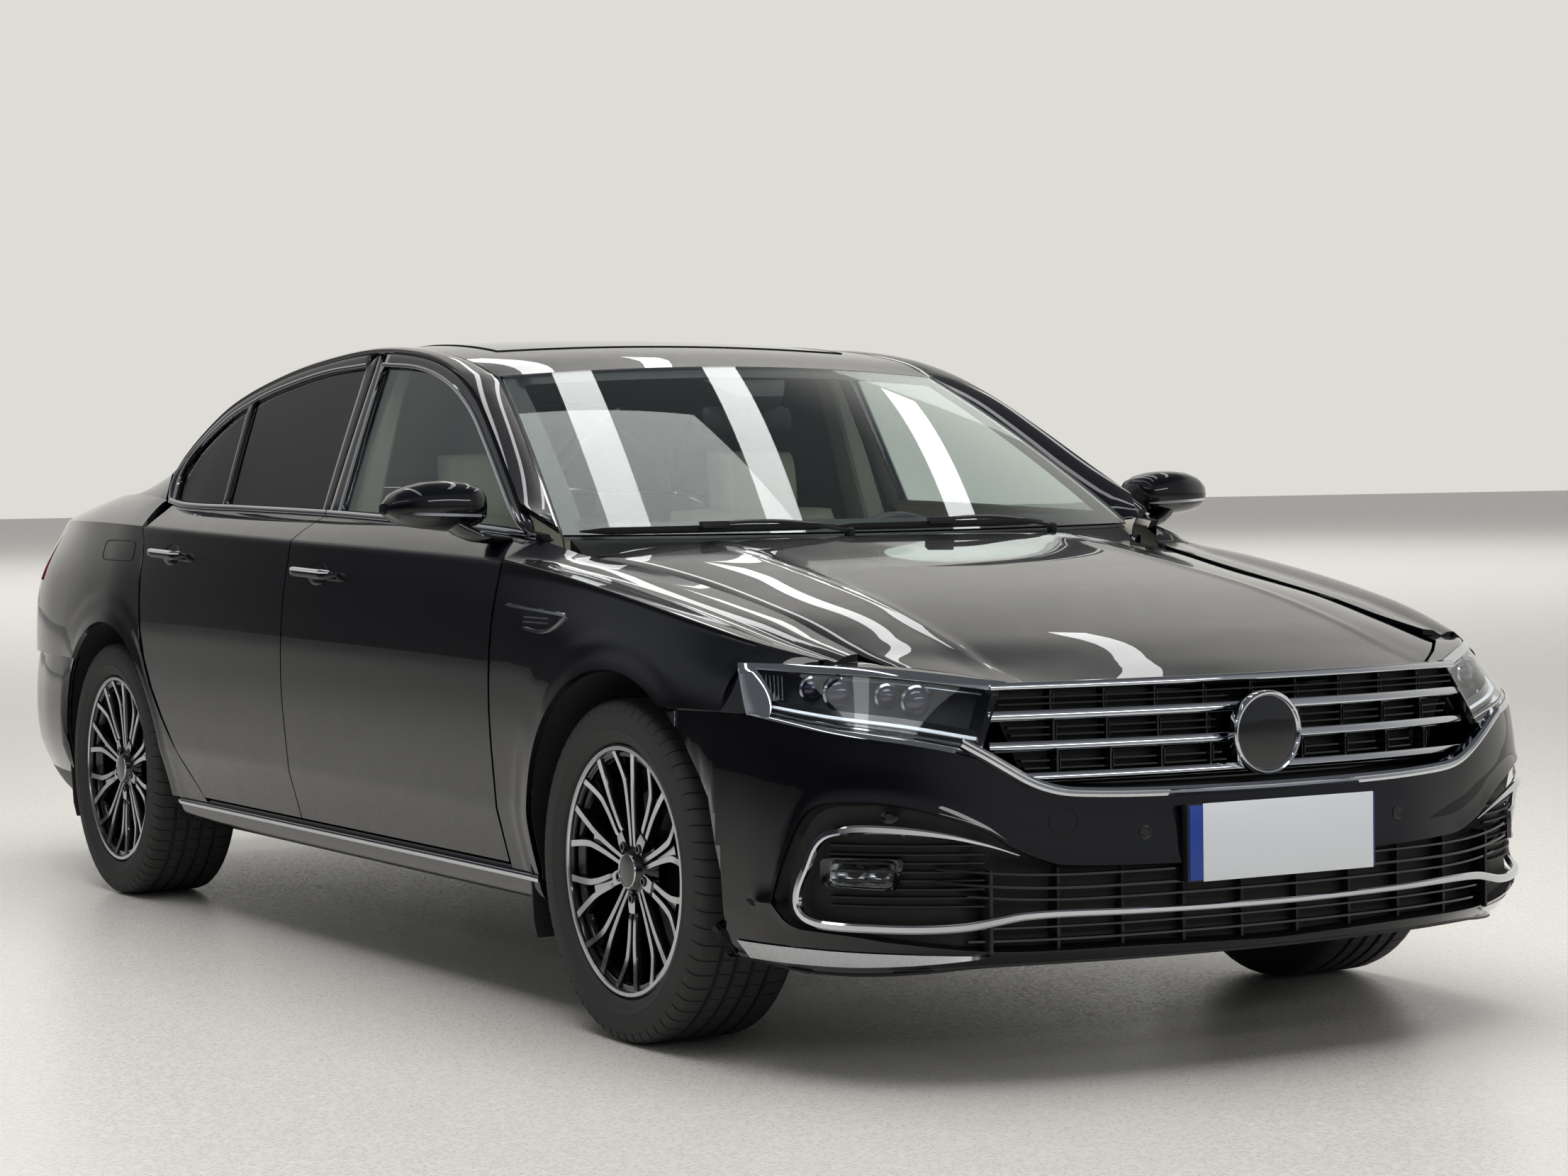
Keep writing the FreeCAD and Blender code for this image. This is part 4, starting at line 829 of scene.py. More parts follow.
# Screens: half width, station in the middle and at the side, height in the middle and at the side.
WINDSCREEN = ((745, -1150, -1010, 1000, 1004), (590, -452, -392, 1388, 1366))
REAR_SCREEN = ((600, 1880, 1790, 1112, 1098), (560, 1196, 1246, 1378, 1338))
SCREEN_BULGE = 16.0


@lru_cache(maxsize=None)
def side_section(y: float) -> tuple[tuple[float, float], ...]:
    """The side's section at a station, as (height, half width) from the sill to the belt.

    Args:
        y: the station.

    Returns:
        Six points, upwards.
    """
    sill, low, wide, upper, shoulder, shoulder_z, belt, belt_z = read(SIDE, y)
    upper_z = WIDE_LINE + UPPER_SHARE * (shoulder_z - WIDE_LINE)
    return ((SILL_LINE, sill), (LOW_LINE, low), (WIDE_LINE, wide), (upper_z, upper), (shoulder_z, shoulder),
            (belt_z, belt))


def flank(y: float) -> tuple[tuple[float, float], ...]:
    """The side's section, read once for each tenth of a millimetre."""
    return side_section(round(y, 1))


def shoulder(y: float) -> tuple[float, float]:
    """The shoulder's line in side view: station and height."""
    return y, flank(y)[4][0]


def half_at(y: float, h: float) -> float:
    """Half width of the body's side at a station and a height.

    Args:
        y: the station.
        h: the height.

    Returns:
        The half width.
    """
    rows = flank(y)
    if h <= LOW_LINE:
        (h0, x0), (h1, x1) = rows[0], rows[1]
        return x0 + (x1 - x0) * (h - h0) / (h1 - h0)
    if h >= rows[4][0]:
        (h0, x0), (h1, x1) = rows[4], rows[5]
        return x0 + (x1 - x0) * min(1.2, (h - h0) / max(h1 - h0, 1))
    return read(rows[1:5], h)[0]


def over(y: float, t: float) -> tuple[float, float]:
    """Half width and height between the shoulder, at share 0, and the belt, at 1.

    Args:
        y: the station.
        t: share of the way up.

    Returns:
        Half width and height.
    """
    rows = flank(y)
    (h0, x0), (h1, x1) = rows[4], rows[5]
    wide = min(1.0, max(0.0, (-1060 - y) / 200))
    swell = 3.0 * (1 - wide) * bow(t)
    valley = wide * 9 * ridge(t - 0.42, 0.16)
    return x0 + (x1 - x0) * t + swell * 0.6, h0 + (h1 - h0) * t + swell - valley


def glass_half(y: float, h: float) -> float:
    """Half width of the side's upper part, between belt and roof, at a station and a height.

    Args:
        y: the station.
        h: the height.

    Returns:
        The half width.
    """
    belt_z, belt = flank(y)[5]
    roof, roof_z = read(ROOF_EDGE, y)
    share = (h - belt_z) / max(roof_z - belt_z, 60)
    share = min(1.25, max(-0.3, share))
    return belt + (roof - belt) * share + 1.75 * bow(share)


def on_side(y: float, h: float, out: float = 0.0) -> Vector:
    """Point on the body's side or on its upper part; out lifts it off the surface.

    Args:
        y: the station.
        h: the height.
        out: how far it stands off the surface.

    Returns:
        The point, in metres.
    """
    belt_z = flank(y)[5][0]
    x = glass_half(y, h) if h > belt_z - 1 else half_at(y, h)
    return point(x + out, y, h)


def outline(points: Sequence[tuple[float, float]], count: int,
            curved: bool = True) -> list[tuple[float, float]]:
    """Points along a line in side view, evenly spaced.

    Args:
        points: (station, height) that the line passes.
        count: points wanted.
        curved: a smooth line, or straight runs.

    Returns:
        (station, height) of each point.
    """
    given = [Vector((y, h, 0)) for y, h in points]
    line = spline(given, count) if curved else evenly(given, count, count - 1)
    return [(p.x, p.y) for p in line]


def ruled(low: Sequence[tuple[float, float]], high: Sequence[tuple[float, float]], rows: int,
          place: Callable[[float, float], Vector]) -> list[Line]:
    """Rows of points between two lines in side view, placed on a surface.

    Args:
        low: the lower line.
        high: the upper line, of as many points.
        rows: how many rows.
        place: puts (station, height) on the surface.

    Returns:
        The rows, upwards.
    """
    out = []
    for t in shares(rows):
        out.append([place(a[0] + (b[0] - a[0]) * t, a[1] + (b[1] - a[1]) * t) for a, b in zip(low, high)])
    return out


def flare(y: float, h: float, centre: float) -> float:
    """How far the wheel arch's lip stands out of the side at a point."""
    off = math.hypot(y - centre, h - WHEEL_RADIUS) - ARCH_RADIUS
    return 6.0 * ridge(off, 30) + 2.5 * ridge(off - 58, 14)


def flared(centre: float) -> Callable[[float, float], Vector]:
    """Placing of (station, height) on the body's side with the lip of the arch round centre."""
    return lambda y, h: point(half_at(y, h) + flare(y, h, centre), y, h)


def by_glass(out: float) -> Callable[[float, float], Vector]:
    """Placing of (station, height) on the side's upper part, moved outwards."""
    return lambda y, h: point(glass_half(y, h) + out, y, h)


@dataclass
class SidePanels:
    """Front fenders and rear quarter panels, with their wheel arch lips, and the sills between them."""
    skin: float = 0.012
    arch_points: int = 40
    seam: float = 688.0
    lamp_shelf: float = 776.0
    rear_seam: float = 640.0
    fender_back: float = -1041.0
    shelf_start: float = -1996.0
    quarter_front: float = 1207.0
    corner: tuple[float, float] = (602.0, 2400.0)
    corner_turns: Sequence[float] = tuple(range(8, 91, 8))

    def arch(self, centre: float, start: float, end: float, count: int) -> list[tuple[float, float]]:
        """Points on a wheel arch between two angles in degrees, counted from the rear over the top."""
        angles = [math.radians(a) for a in between(start, end, count)]
        return [(centre + ARCH_RADIUS * math.cos(a), WHEEL_RADIUS + ARCH_RADIUS * math.sin(a))
                for a in angles]

    def fender(self) -> bpy.types.Object:
        """Both front fenders.

        Returns:
            The piece.
        """
        low_angle = math.degrees(math.asin((SILL_LINE - WHEEL_RADIUS) / ARCH_RADIUS))
        seam_angle = 180 - math.degrees(math.asin((self.seam - WHEEL_RADIUS) / ARCH_RADIUS))
        shut = [(-1035 - GAP * 2, h) for h in (SILL_LINE, 400, 520, 640, 760, 860)]
        edge = outline(self.arch(FRONT_AXLE, low_angle, seam_angle, 60), self.arch_points)
        inner = edge + [(y, self.seam) for y in (-1830, -1870, -1920, -1960, -1996)]
        inner += [(y, self.lamp_shelf) for y in (-1997, -2040, -2090, -2140)]
        turn = 10
        outer = outline(shut + [shoulder(self.fender_back)], turn + 1, curved=False)
        rest = len(edge) - turn - 1
        outer += [shoulder(self.fender_back + (-1800 - self.fender_back) * ((i + 1) / rest) ** 0.9)
                  for i in range(rest)]
        outer += [shoulder(y) for y in (-1832, -1872, -1921, -1961, -1996, -1997, -2040, -2090, -2140)]
        rows = ruled(inner, outer, 14, flared(FRONT_AXLE))
        made = Mesher()
        self._double(made, rows)
        top_rows = []
        for t in (0.0, 0.05, 0.12, 0.22, 0.32, 0.42, 0.52, 0.64, 0.76, 0.88, 1.0):
            line = []
            for y, _ in outer[turn:]:
                x, h = over(y, t)
                line.append(point(x, y, max(h, self.lamp_shelf) if y < self.shelf_start else h))
            top_rows.append(line)
        top_rows[0] = rows[-1][turn:]
        self._double(made, top_rows, Vector((0, 0, -self.skin)))
        self._double(made, ruled([(-1996, 688), (-1996, 776)], [(-2080, 688), (-2002, 776)], 5,
                                 flared(FRONT_AXLE)))
        shelf_in = ((502, -2372, 738), (580, -2304, 756), (640, -2239, 766), (672, -2204, 770),
                    (686, -2160, 775), (690, -2110, 779))
        shelf_out = ((530, -2385, 743), (610, -2323, 755), (670, -2276, 764), (715, -2228, 768),
                     (760, -2172, 771), (800, -2119, 773))
        made.skin([[point(*p) for p in shelf_in], [point(*p) for p in shelf_out]], 0.003, Stock.PAINT)
        return dress(made.mirror().build("fender_skins"), "body", "black_paint", "fenders")

    def _double(self, made: Mesher, rows: Sequence[Line], inwards: Vector | None = None) -> None:
        """Adds a panel and its inner face; the inner face lies straight inwards.

        Args:
            made: takes the faces.
            rows: the outer face.
            inwards: the way from it to the inner face.
        """
        inwards = inwards or Vector((-self.skin, 0, -self.skin * 0.4))
        inner = [[p + inwards for p in row] for row in rows]
        made.shell(rows, inner, Stock.PAINT)

    def corner_point(self, x: float, h: float, turn: float) -> Vector:
        """Point on the rear corner, turned by an angle in degrees from half width x.

        Args:
            x: half width where the corner starts.
            h: the height.
            turn: angle in degrees.

        Returns:
            The point, in metres.
        """
        cx, cy = self.corner
        deep = 0.42 * (x - cx) + 18
        a = math.radians(turn)
        return point(cx + (x - cx) * math.cos(a), cy + deep * math.sin(a), h)

    def corner_row(self, x: float, h: float) -> Line:
        """Points round the rear corner, from half width x to the boot lid."""
        return [self.corner_point(x, h, turn) for turn in self.corner_turns]

    def quarter(self) -> bpy.types.Object:
        """Both quarter panels, round the rear corner to the boot lid.

        Returns:
            The piece.
        """
        low_angle = 180 - math.degrees(math.asin((SILL_LINE - WHEEL_RADIUS) / ARCH_RADIUS))
        seam_angle = math.degrees(math.asin((self.rear_seam - WHEEL_RADIUS) / ARCH_RADIUS))
        edge = outline(self.arch(REAR_AXLE, low_angle, seam_angle, 60), self.arch_points)
        shut = [(y + GAP * 2, h) for h, y in REAR_SHUT if h < 1000]
        shut[0] = (776.0 + GAP, SILL_LINE)
        turn = 17
        outer = outline(shut + [shoulder(self.quarter_front)], turn + 1)
        rest = len(edge) - turn - 1
        outer += [shoulder(y) for y in between(self.quarter_front, 1715, rest + 1)[1:]]
        back = between(1715, self.corner[1], 16)[1:]
        inner = edge + [(y, self.rear_seam) for y in back]
        outer += [shoulder(y) for y in back]
        inner[-len(back) - 1] = (edge[-1][0], self.rear_seam)
        made = Mesher()
        lamp_column = len(outer) - 6
        rows = ruled(inner, outer, 15, flared(REAR_AXLE))
        self._double(made, [row[:lamp_column + 1] for row in rows])
        # Behind the lamp's front end the panel leaves the lamp's band open.
        stations = [outer[i][0] for i in range(lamp_column, len(outer))]
        bands = ((self.rear_seam, 846), (994, 1014))
        for low, high in bands:
            sheet = []
            for h in between(low, high, 8):
                line = [point(half_at(y, min(h, shoulder(y)[1])), y, h) for y in stations]
                line += self.corner_row(half_at(self.corner[1], min(h, 1012)), h)
                sheet.append(line)
            if high > 1000:
                for k, y in enumerate(stations):
                    height, half = flank(y)[4]
                    sheet[-1][k] = point(half, y, height)
            self._double(made, sheet)
        top = []
        stations = between(self.quarter_front, self.corner[1], 34)
        for t in (0.0, 0.06, 0.16, 0.3, 0.45, 0.6, 0.75, 0.9, 1.0):
            line = []
            for y in stations:
                front = max(0.0, 1 - (y - self.quarter_front) / 110)
                shift = front * 105 * min(1.0, t * 1.15)
                x, h = over(y + shift, t)
                line.append(point(x, y + shift, h))
            top.append(line + self.corner_row(*over(self.corner[1], t)))
        self._double(made, top)
        return dress(made.mirror().build("quarter_skins"), "body", "black_paint", "quarter_panels")

    def sill(self) -> bpy.types.Object:
        """Sill mouldings under the doors, with their bright step line, and the mud flaps.

        Returns:
            The piece.
        """
        made = Mesher()
        stations = between(-1176, 1010, 40)
        body, strip = [], []
        for y in stations:
            x = half_at(y, SILL_LINE)
            body.append([point(px, y, h) for px, h in (
                (700, 238), (x - 40, 236), (x - 22, 240), (x - 10, 250), (x - 3, 266), (x + 1, 284),
                (x + 1, 296), (x - 4, 305), (x - 16, 309), (x - 70, 309), (x - 70, 380), (700, 380))])
            strip.append([point(px, y, h) for px, h in ((x - 4, 280), (x + 4, 281), (x + 5, 288),
                                                        (x + 4, 295), (x - 4, 296))])
        made.loft(body, Stock.GLOSS)
        made.loft(strip, Stock.CHROME)
        for y0, low in ((-1158, 158), (1838, 176)):
            flap = []
            for h, x_in, x_out, dy in ((low, 742, 880, 26), (low + 40, 736, 890, 22), (330, 730, 902, 6),
                                       (430, 730, 908, -14)):
                flap.append([point(x_in, y0 + dy, h), point(x_out, y0 + dy, h), point(x_out, y0 + dy + 7, h),
                             point(x_in, y0 + dy + 7, h)])
            made.loft(flap, Stock.PLASTIC)
        return dress(made.mirror().build("sill_mouldings", bevel=0.0015), "body", "black_paint")

    def linings(self) -> bpy.types.Object:
        """Wheel arch linings, from the panels' edges inwards.

        Returns:
            The piece.
        """
        made = Mesher()
        for centre in (FRONT_AXLE, REAR_AXLE):
            rows = []
            for y, h in self.arch(centre, -8, 188, 48):
                dy, dh = (y - centre) / ARCH_RADIUS, (h - WHEEL_RADIUS) / ARCH_RADIUS
                x = half_at(y, max(h, 320))
                rows.append([point(px, y + dy * out, h + dh * out) for px, out in (
                    (x - 7, 1), (x - 30, 9), (x - 120, 12), (x - 240, 12), (640, 10))])
            made.skin(rows, 0.003, Stock.CARPET)
        return dress(made.mirror().build("arch_linings", sharp=60), "body", "black_plastic")

    def trims(self) -> bpy.types.Object:
        """Bright blade on each fender behind the wheel, and the fuel flap's gap on the right.

        Returns:
            The piece.
        """
        made = Mesher()
        for line, count in ((((-1098, 866), (-1190, 861), (-1300, 855), (-1372, 850)), 24),
                            (((-1372, 850), (-1330, 826), (-1286, 815), (-1190, 820)), 20)):
            made.loft([[on_side(y, h + dh * s, o) for dh, o in ((-4, 0.5), (4, 0.5), (2.5, 4), (-2.5, 4))]
                       for (y, h), s in zip(outline(line, count), [0.4] + [1] * (count - 2) + [0.2])],
                       Stock.CHROME)
        for low in (832, 842):
            made.loft([[on_side(y, low + dh, o) for dh, o in ((-2, 0.5), (2, 0.5), (1.4, 3), (-1.4, 3))]
                       for y in (-1190, -1240, -1300)], Stock.CHROME)
        inlay = ruled([(-1330, 828), (-1190, 823)], [(-1330, 850), (-1190, 858)], 2,
                      lambda y, h: on_side(y, h, 1.0))
        made.skin(inlay, 0.002, Stock.GLOSS)
        made.mirror()
        flap = [(1369 + 138 * squared(math.cos(a), 0.3), 946 + 27 * squared(math.sin(a), 0.4))
                for a in turns(56)]
        groove = [on_side(y, h, 0.4) * Vector((-1, 1, 1)) for y, h in flap]
        made.sweep(groove, Vector((-1, 0, 0)), bar_section(0.0013, 0, 0.0013, 0.0006),
                   Stock.DARK, closed=True)
        return dress(made.build("fender_blades"), "body", "bright_trim")

    def build(self) -> None:
        """Makes the side's fixed panels."""
        self.fender()
        self.quarter()
        self.sill()
        self.linings()
        self.trims()


@dataclass
class Rails:
    """Painted rail from the windscreen's foot over the doors to the boot, with its bright drip line."""
    crown: float = 5.0
    skin: float = 0.006

    @staticmethod
    def inner(y: float) -> tuple[float, float]:
        """The rail's inner edge at a station: half width and height.

        Args:
            y: the station.

        Returns:
            Half width and height.
        """
        def beside(low: Row, high: Row) -> tuple[float, float]:
            t = (y - low[2]) / (high[2] - low[2])
            return (low[0] + t * (high[0] - low[0]) + 5,
                    low[4] + t * (high[4] - low[4]) + SCREEN_BULGE * bow(t))
        if y < ROOF[0][1]:
            return beside(*WINDSCREEN)
        if y > ROOF[-1][1]:
            return beside(*REAR_SCREEN)
        half, edge = read([(row[1], row[2], row[3]) for row in ROOF], y)
        return half + 4, edge

    @staticmethod
    def outer(y: float) -> tuple[float, float]:
        """The rail's outer edge at a station.

        Args:
            y: the station.

        Returns:
            Half width and height.
        """
        if y >= 1326:
            belt_z, belt = flank(y)[5]
            return belt, belt_z
        x, h = read(ROOF_EDGE, min(y, 1302))
        tuck = max(0.0, (-940 - y) / 90)
        return x - 6 - 66 * tuck, h + 12

    def strip(self) -> bpy.types.Object:
        """The rails on both sides.

        Returns:
            The piece.
        """
        stations = between(-1030, -940, 6)[:-1] + between(-940, 1302, 70)
        stations += [1310, 1318] + between(1326, 1786, 16)
        rows = []
        for y in stations:
            (xi, hi), (xo, ho) = self.inner(y), self.outer(y)
            run = math.hypot(xo - xi, ho - hi) or 1
            nx, nh = -(ho - hi) / run, (xo - xi) / run
            line = []
            for t in (0, 0.02, 0.1, 0.25, 0.4, 0.55, 0.7, 0.82, 0.92, 0.98, 1):
                up = self.crown * bow(t) * min(1, run / 60)
                line.append(point(xi + (xo - xi) * t + nx * up, y, hi + (ho - hi) * t + nh * up))
            drop = min(1.0, run / 40)
            line.append(point(xo - 1.5, y, ho - 10 * drop))
            line.insert(0, point(xi - 1.0, y, hi - 9 * drop))
            rows.append(line)
        made = Mesher()
        inner = [[p + Vector((-0.004, 0, -self.skin)) for p in row] for row in rows]
        made.shell(rows, inner, Stock.PAINT, Stock.LINING)
        return dress(made.mirror().build("roof_rails"), "body", "black_paint", "side_frames")

    def bright_line(self) -> bpy.types.Object:
        """Thin bright line beside the windscreen, on the rail's inner edge.

        Returns:
            The piece.
        """
        path = [point(x + 4, y, h + 3) for y in between(-1000, -380, 40) for x, h in [self.inner(y)]]
        made = Mesher()
        made.sweep(path, Vector((0.5, -0.3, 0.8)), bar_section(0.003, -0.002, 0.0018, 0.002),
                   Stock.CHROME)
        return dress(made.mirror().build("screen_side_lines"), "body", "bright_trim")

    def pillars(self) -> bpy.types.Object:
        """Middle pillars with their trim, and the body's door frames seen when the doors are open.

        Returns:
            The piece.
        """
        made = Mesher()
        y0, y1 = 84, 206
        rings = []
        for h, x0, x1, inset in ((384, 715, 790, 0), (700, 708, 786, 4), (1010, 700, 766, 8),
                                 (1200, 650, 706, 16), (1340, 612, 648, 22), (1424, 578, 612, 26)):
            rings.append([point(x, y, h) for x, y in (
                (x0, y0 + inset + 8), (x0 + 8, y0 + inset), (x1 - 8, y0 + inset), (x1, y0 + inset + 8),
                (x1, y1 - inset - 8), (x1 - 8, y1 - inset), (x0 + 8, y1 - inset), (x0, y1 - inset - 8))])
        made.loft(rings, Stock.LINING)
        made.block(point(700, -1160, 300), point(784, -1024, 850), Stock.PAINT)
        made.block(point(746, -1036, 845), point(774, -1002, 980), Stock.PAINT)
        return dress(made.mirror().build("door_pillars", bevel=0.004), "body", "black_paint")

    def build(self) -> None:
        """Makes the rails."""
        self.strip()
        self.bright_line()
        self.pillars()


@dataclass
class Roof:
    """Roof skin with its glass panel and aerial fin."""
    columns: int = 33
    lip: float = 12.0
    glass: tuple[float, float, float] = (-150.0, 600.0, 0.8)

    def at(self, y: float, t: float, down: float = 0.0) -> Vector:
        """Point of the roof at a middle station and a share from -1 to 1 across.

        Args:
            y: station in the middle.
            t: share from -1 to 1 across.
            down: how far below the skin.

        Returns:
            The point, in metres.
        """
        y_side, half, edge, mid = read(ROOF, y)
        fall = t * t
        return point(half * t, y + (y_side - y) * fall, mid + (edge - mid) * fall - down)

    def build(self) -> None:
        """Makes the roof."""
        stations = between(-446, 1190, 48)
        across = between(-1, 1, self.columns)
        outer = [[self.at(y, t) for t in across] for y in stations]
        inner = [[self.at(y, t, self.lip + 16 * (1 - t * t)) for t in across] for y in stations]
        made = Mesher()
        made.shell(outer, inner, Stock.PAINT, Stock.LINING)
        dress(made.build("roof_skin"), "body", "black_paint", "roof")
        front, rear, wide = self.glass
        pane = Mesher()
        rows = [[self.at(y, t * wide, -1.6) for t in across] for y in between(front, rear, 24)]
        pane.skin(rows, 0.0025, Stock.GLOSS)
        dress(pane.build("roof_glass_panel"), "body", "window_glass")
        seam = Mesher()
        ring = [self.at(y, -wide, -1.0) for y in between(front, rear, 20)]
        ring += [self.at(rear, t, -1.0) for t in between(-wide, wide, 24)[1:]]
        ring += [self.at(y, wide, -1.0) for y in between(rear, front, 20)[1:]]
        ring += [self.at(front, t, -1.0) for t in between(wide, -wide, 24)[1:-1]]
        seam.sweep(ring, Vector((0, 0, 1)), bar_section(0.004, -0.001, 0.004, 0.0012),
                   Stock.SEAL, closed=True)
        dress(seam.build("roof_glass_seal"), "body", "black_plastic")
        fin = Mesher()
        rings = []
        for up, front_y, rear_y, wide_x in ((-2, -66, 76, 19), (6, -56, 74, 16.5), (18, -34, 72, 12.5),
                                            (32, -6, 69, 8.5), (46, 18, 65, 5.5), (56, 34, 60, 3.6),
                                            (61, 44, 55, 1.6)):
            mid, half = (front_y + rear_y) / 2, (rear_y - front_y) / 2
            rings.append([point(wide_x * math.sin(a), 880 + mid + half * math.cos(a), 1425 + up)
                          for a in turns(16)])
        fin.loft(rings, Stock.PAINT)
        dress(fin.build("aerial_fin"), "body", "black_paint")


@dataclass
class Screens:
    """Windscreen and rear window, with the black printed band round their edges."""
    thick: float = 0.005

    def at(self, low: Row, high: Row, across: float, up: float, deeper: float = 0.0) -> Vector:
        """Point of a screen; across runs from -1 to 1 and up from 0 to 1.

        Args:
            low: the screen's lower edge.
            high: its upper edge.
            across: share from -1 to 1.
            up: share from 0 to 1.
            deeper: how far it lies below the pane, in metres.

        Returns:
            The point, in metres.
        """
        fall = across * across
        a, b = (point(half * across, ym + (ys - ym) * fall, hm + (hs - hm) * fall)
                for half, ym, ys, hm, hs in (low, high))
        return a.lerp(b, up) + Vector((0, 0, SCREEN_BULGE * bow(up) * MM - deeper))

    def pane(self, name: str, edges: tuple[Row, Row], finish: Finish, node: str) -> None:
        """Makes one screen.

        Args:
            name: its name.
            edges: lower and upper edge.
            finish: the glass.
            node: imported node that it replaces.
        """
        across = [-1, -0.985, -0.96] + between(-0.93, 0.93, 27) + [0.96, 0.985, 1]
        up = [0, 0.02, 0.045, 0.08, 0.12] + between(0.16, 0.9, 15) + [0.94, 0.97, 1]
        rows = [[self.at(*edges, a, u) for a in across] for u in up]
        made = Mesher()
        made.skin(rows, self.thick if rows[0][0].y > 0 else -self.thick, finish)
        dress(made.build(name), "body", "window_glass", node)
        band = Mesher()
        spans = (([a for a in across if a <= -0.93], up), ([a for a in across if a >= 0.93], up),
                 ([a for a in across if -0.93 <= a <= 0.93], [u for u in up if u <= 0.08]),
                 ([a for a in across if -0.93 <= a <= 0.93], [u for u in up if u >= 0.94]))
        for part_across, part_up in spans:
            sheet = [[self.at(*edges, a, u, 0.0062) for a in part_across] for u in part_up]
            band.skin(sheet, 0.0008, Stock.DARK)
        dress(band.build(name + "_printed_band"), "body", "black_plastic")

    def extras(self) -> None:
        """Sensor housing and inside mirror behind the windscreen."""
        made = Mesher()
        rings = []
        for up, wide, deep in ((0.985, 120, 12), (0.93, 110, 34), (0.87, 84, 40), (0.82, 60, 30)):
            mid = self.at(*WINDSCREEN, 0, up, 0.012)
            rings.append([mid + Vector((x, y, z)) * MM for x, y, z in (
                (-wide, 0, 0), (wide, 0, 0), (wide * 0.8, 10, -deep), (-wide * 0.8, 10, -deep))])
        made.loft(rings, Stock.DARK)
        stem = self.at(*WINDSCREEN, 0, 0.84, 0.03)
        head = []
        for x, s in ((-122, 0.5), (-116, 0.85), (-95, 1), (0, 1.08), (95, 1), (116, 0.85), (122, 0.5)):
            head.append([stem + Vector((x, 62 + 14 * math.cos(a) * s, -44 + 34 * math.sin(a) * s)) * MM
                         for a in turns(14)])
        made.loft(head, Stock.DARK)
        made.loft([[stem + Vector((dx, y + dy, z)) * MM for dx, dy in ((-9, -9), (9, -9), (9, 9), (-9, 9))]
                   for y, z in ((6, 8), (40, -24), (60, -40))], Stock.DARK)
        dress(made.build("sensor_and_mirror", bevel=0.003), "body", "black_plastic")

    def build(self) -> None:
        """Makes both screens."""
        self.pane("front_screen", WINDSCREEN, Stock.SCREEN, "windscreen")
        self.pane("rear_screen", REAR_SCREEN, Stock.PRIVACY, "rear_window")
        self.extras()


class Side(Enum):
    """The car's two sides."""
    LEFT = 1
    RIGHT = -1

    @property
    def word(self) -> str:
        """The side's name, as in the frame."""
        return self.name.lower()


def handed(made: Mesher, side: Side) -> Mesher:
    """Turns a piece that is drawn on the left to its own side.

    Args:
        made: takes the faces.
        side: where the piece belongs.

    Returns:
        The mesher itself.
    """
    if side is Side.RIGHT:
        made.points = [Vector((-p.x, p.y, p.z)) for p in made.points]
    return made


@dataclass(frozen=True)
class DoorPlan:
    """One door's lines: shut lines, window openings and how its edges lean back."""
    name: str
    front: tuple[Row, ...]
    rear: tuple[Row, ...]
    rear_lean: float
    windows: tuple[tuple[tuple[Row, ...], tuple[Row, ...]], ...]
    chrome: tuple[Row, ...]
    handle: tuple[float, float, float]
    glass: Finish
    columns: int

    @property
    def end(self) -> str:
        """Front or rear."""
        return self.name.split("_")[1]


FRONT_DOOR = DoorPlan(
    "door_front", FRONT_SHUT, MIDDLE_SHUT, -60,
    ((((-985, 1018), (-700, 1035), (-450, 1042), (60, 1052)),
      ((-985, 1018), (-830, 1104), (-662, 1200), (-496, 1288), (-321, 1354), (-122, 1394), (110, 1410))),),
    ((-1010, 1008), (-905, 1062), (-830, 1106), (-662, 1203), (-496, 1291), (-321, 1357), (-122, 1397),
     (112, 1413)),
    (-180, 57, 910), Stock.GLASS, 26)
REAR_DOOR = DoorPlan(
    "door_rear", MIDDLE_SHUT, REAR_SHUT, -60,
    ((((178, 1056), (845, 1068)), ((215, 1412), (474, 1400), (763, 1364), (900, 1335))),
     (((868, 1070), (1238, 1078)), ((926, 1328), (1040, 1294), (1190, 1215), (1246, 1150), (1246, 1100)))),
    ((213, 1415), (474, 1404), (763, 1368), (905, 1338), (1040, 1298), (1192, 1218), (1249, 1150),
     (1246, 1084)),
    (825, 1056, 940), Stock.PRIVACY, 30)


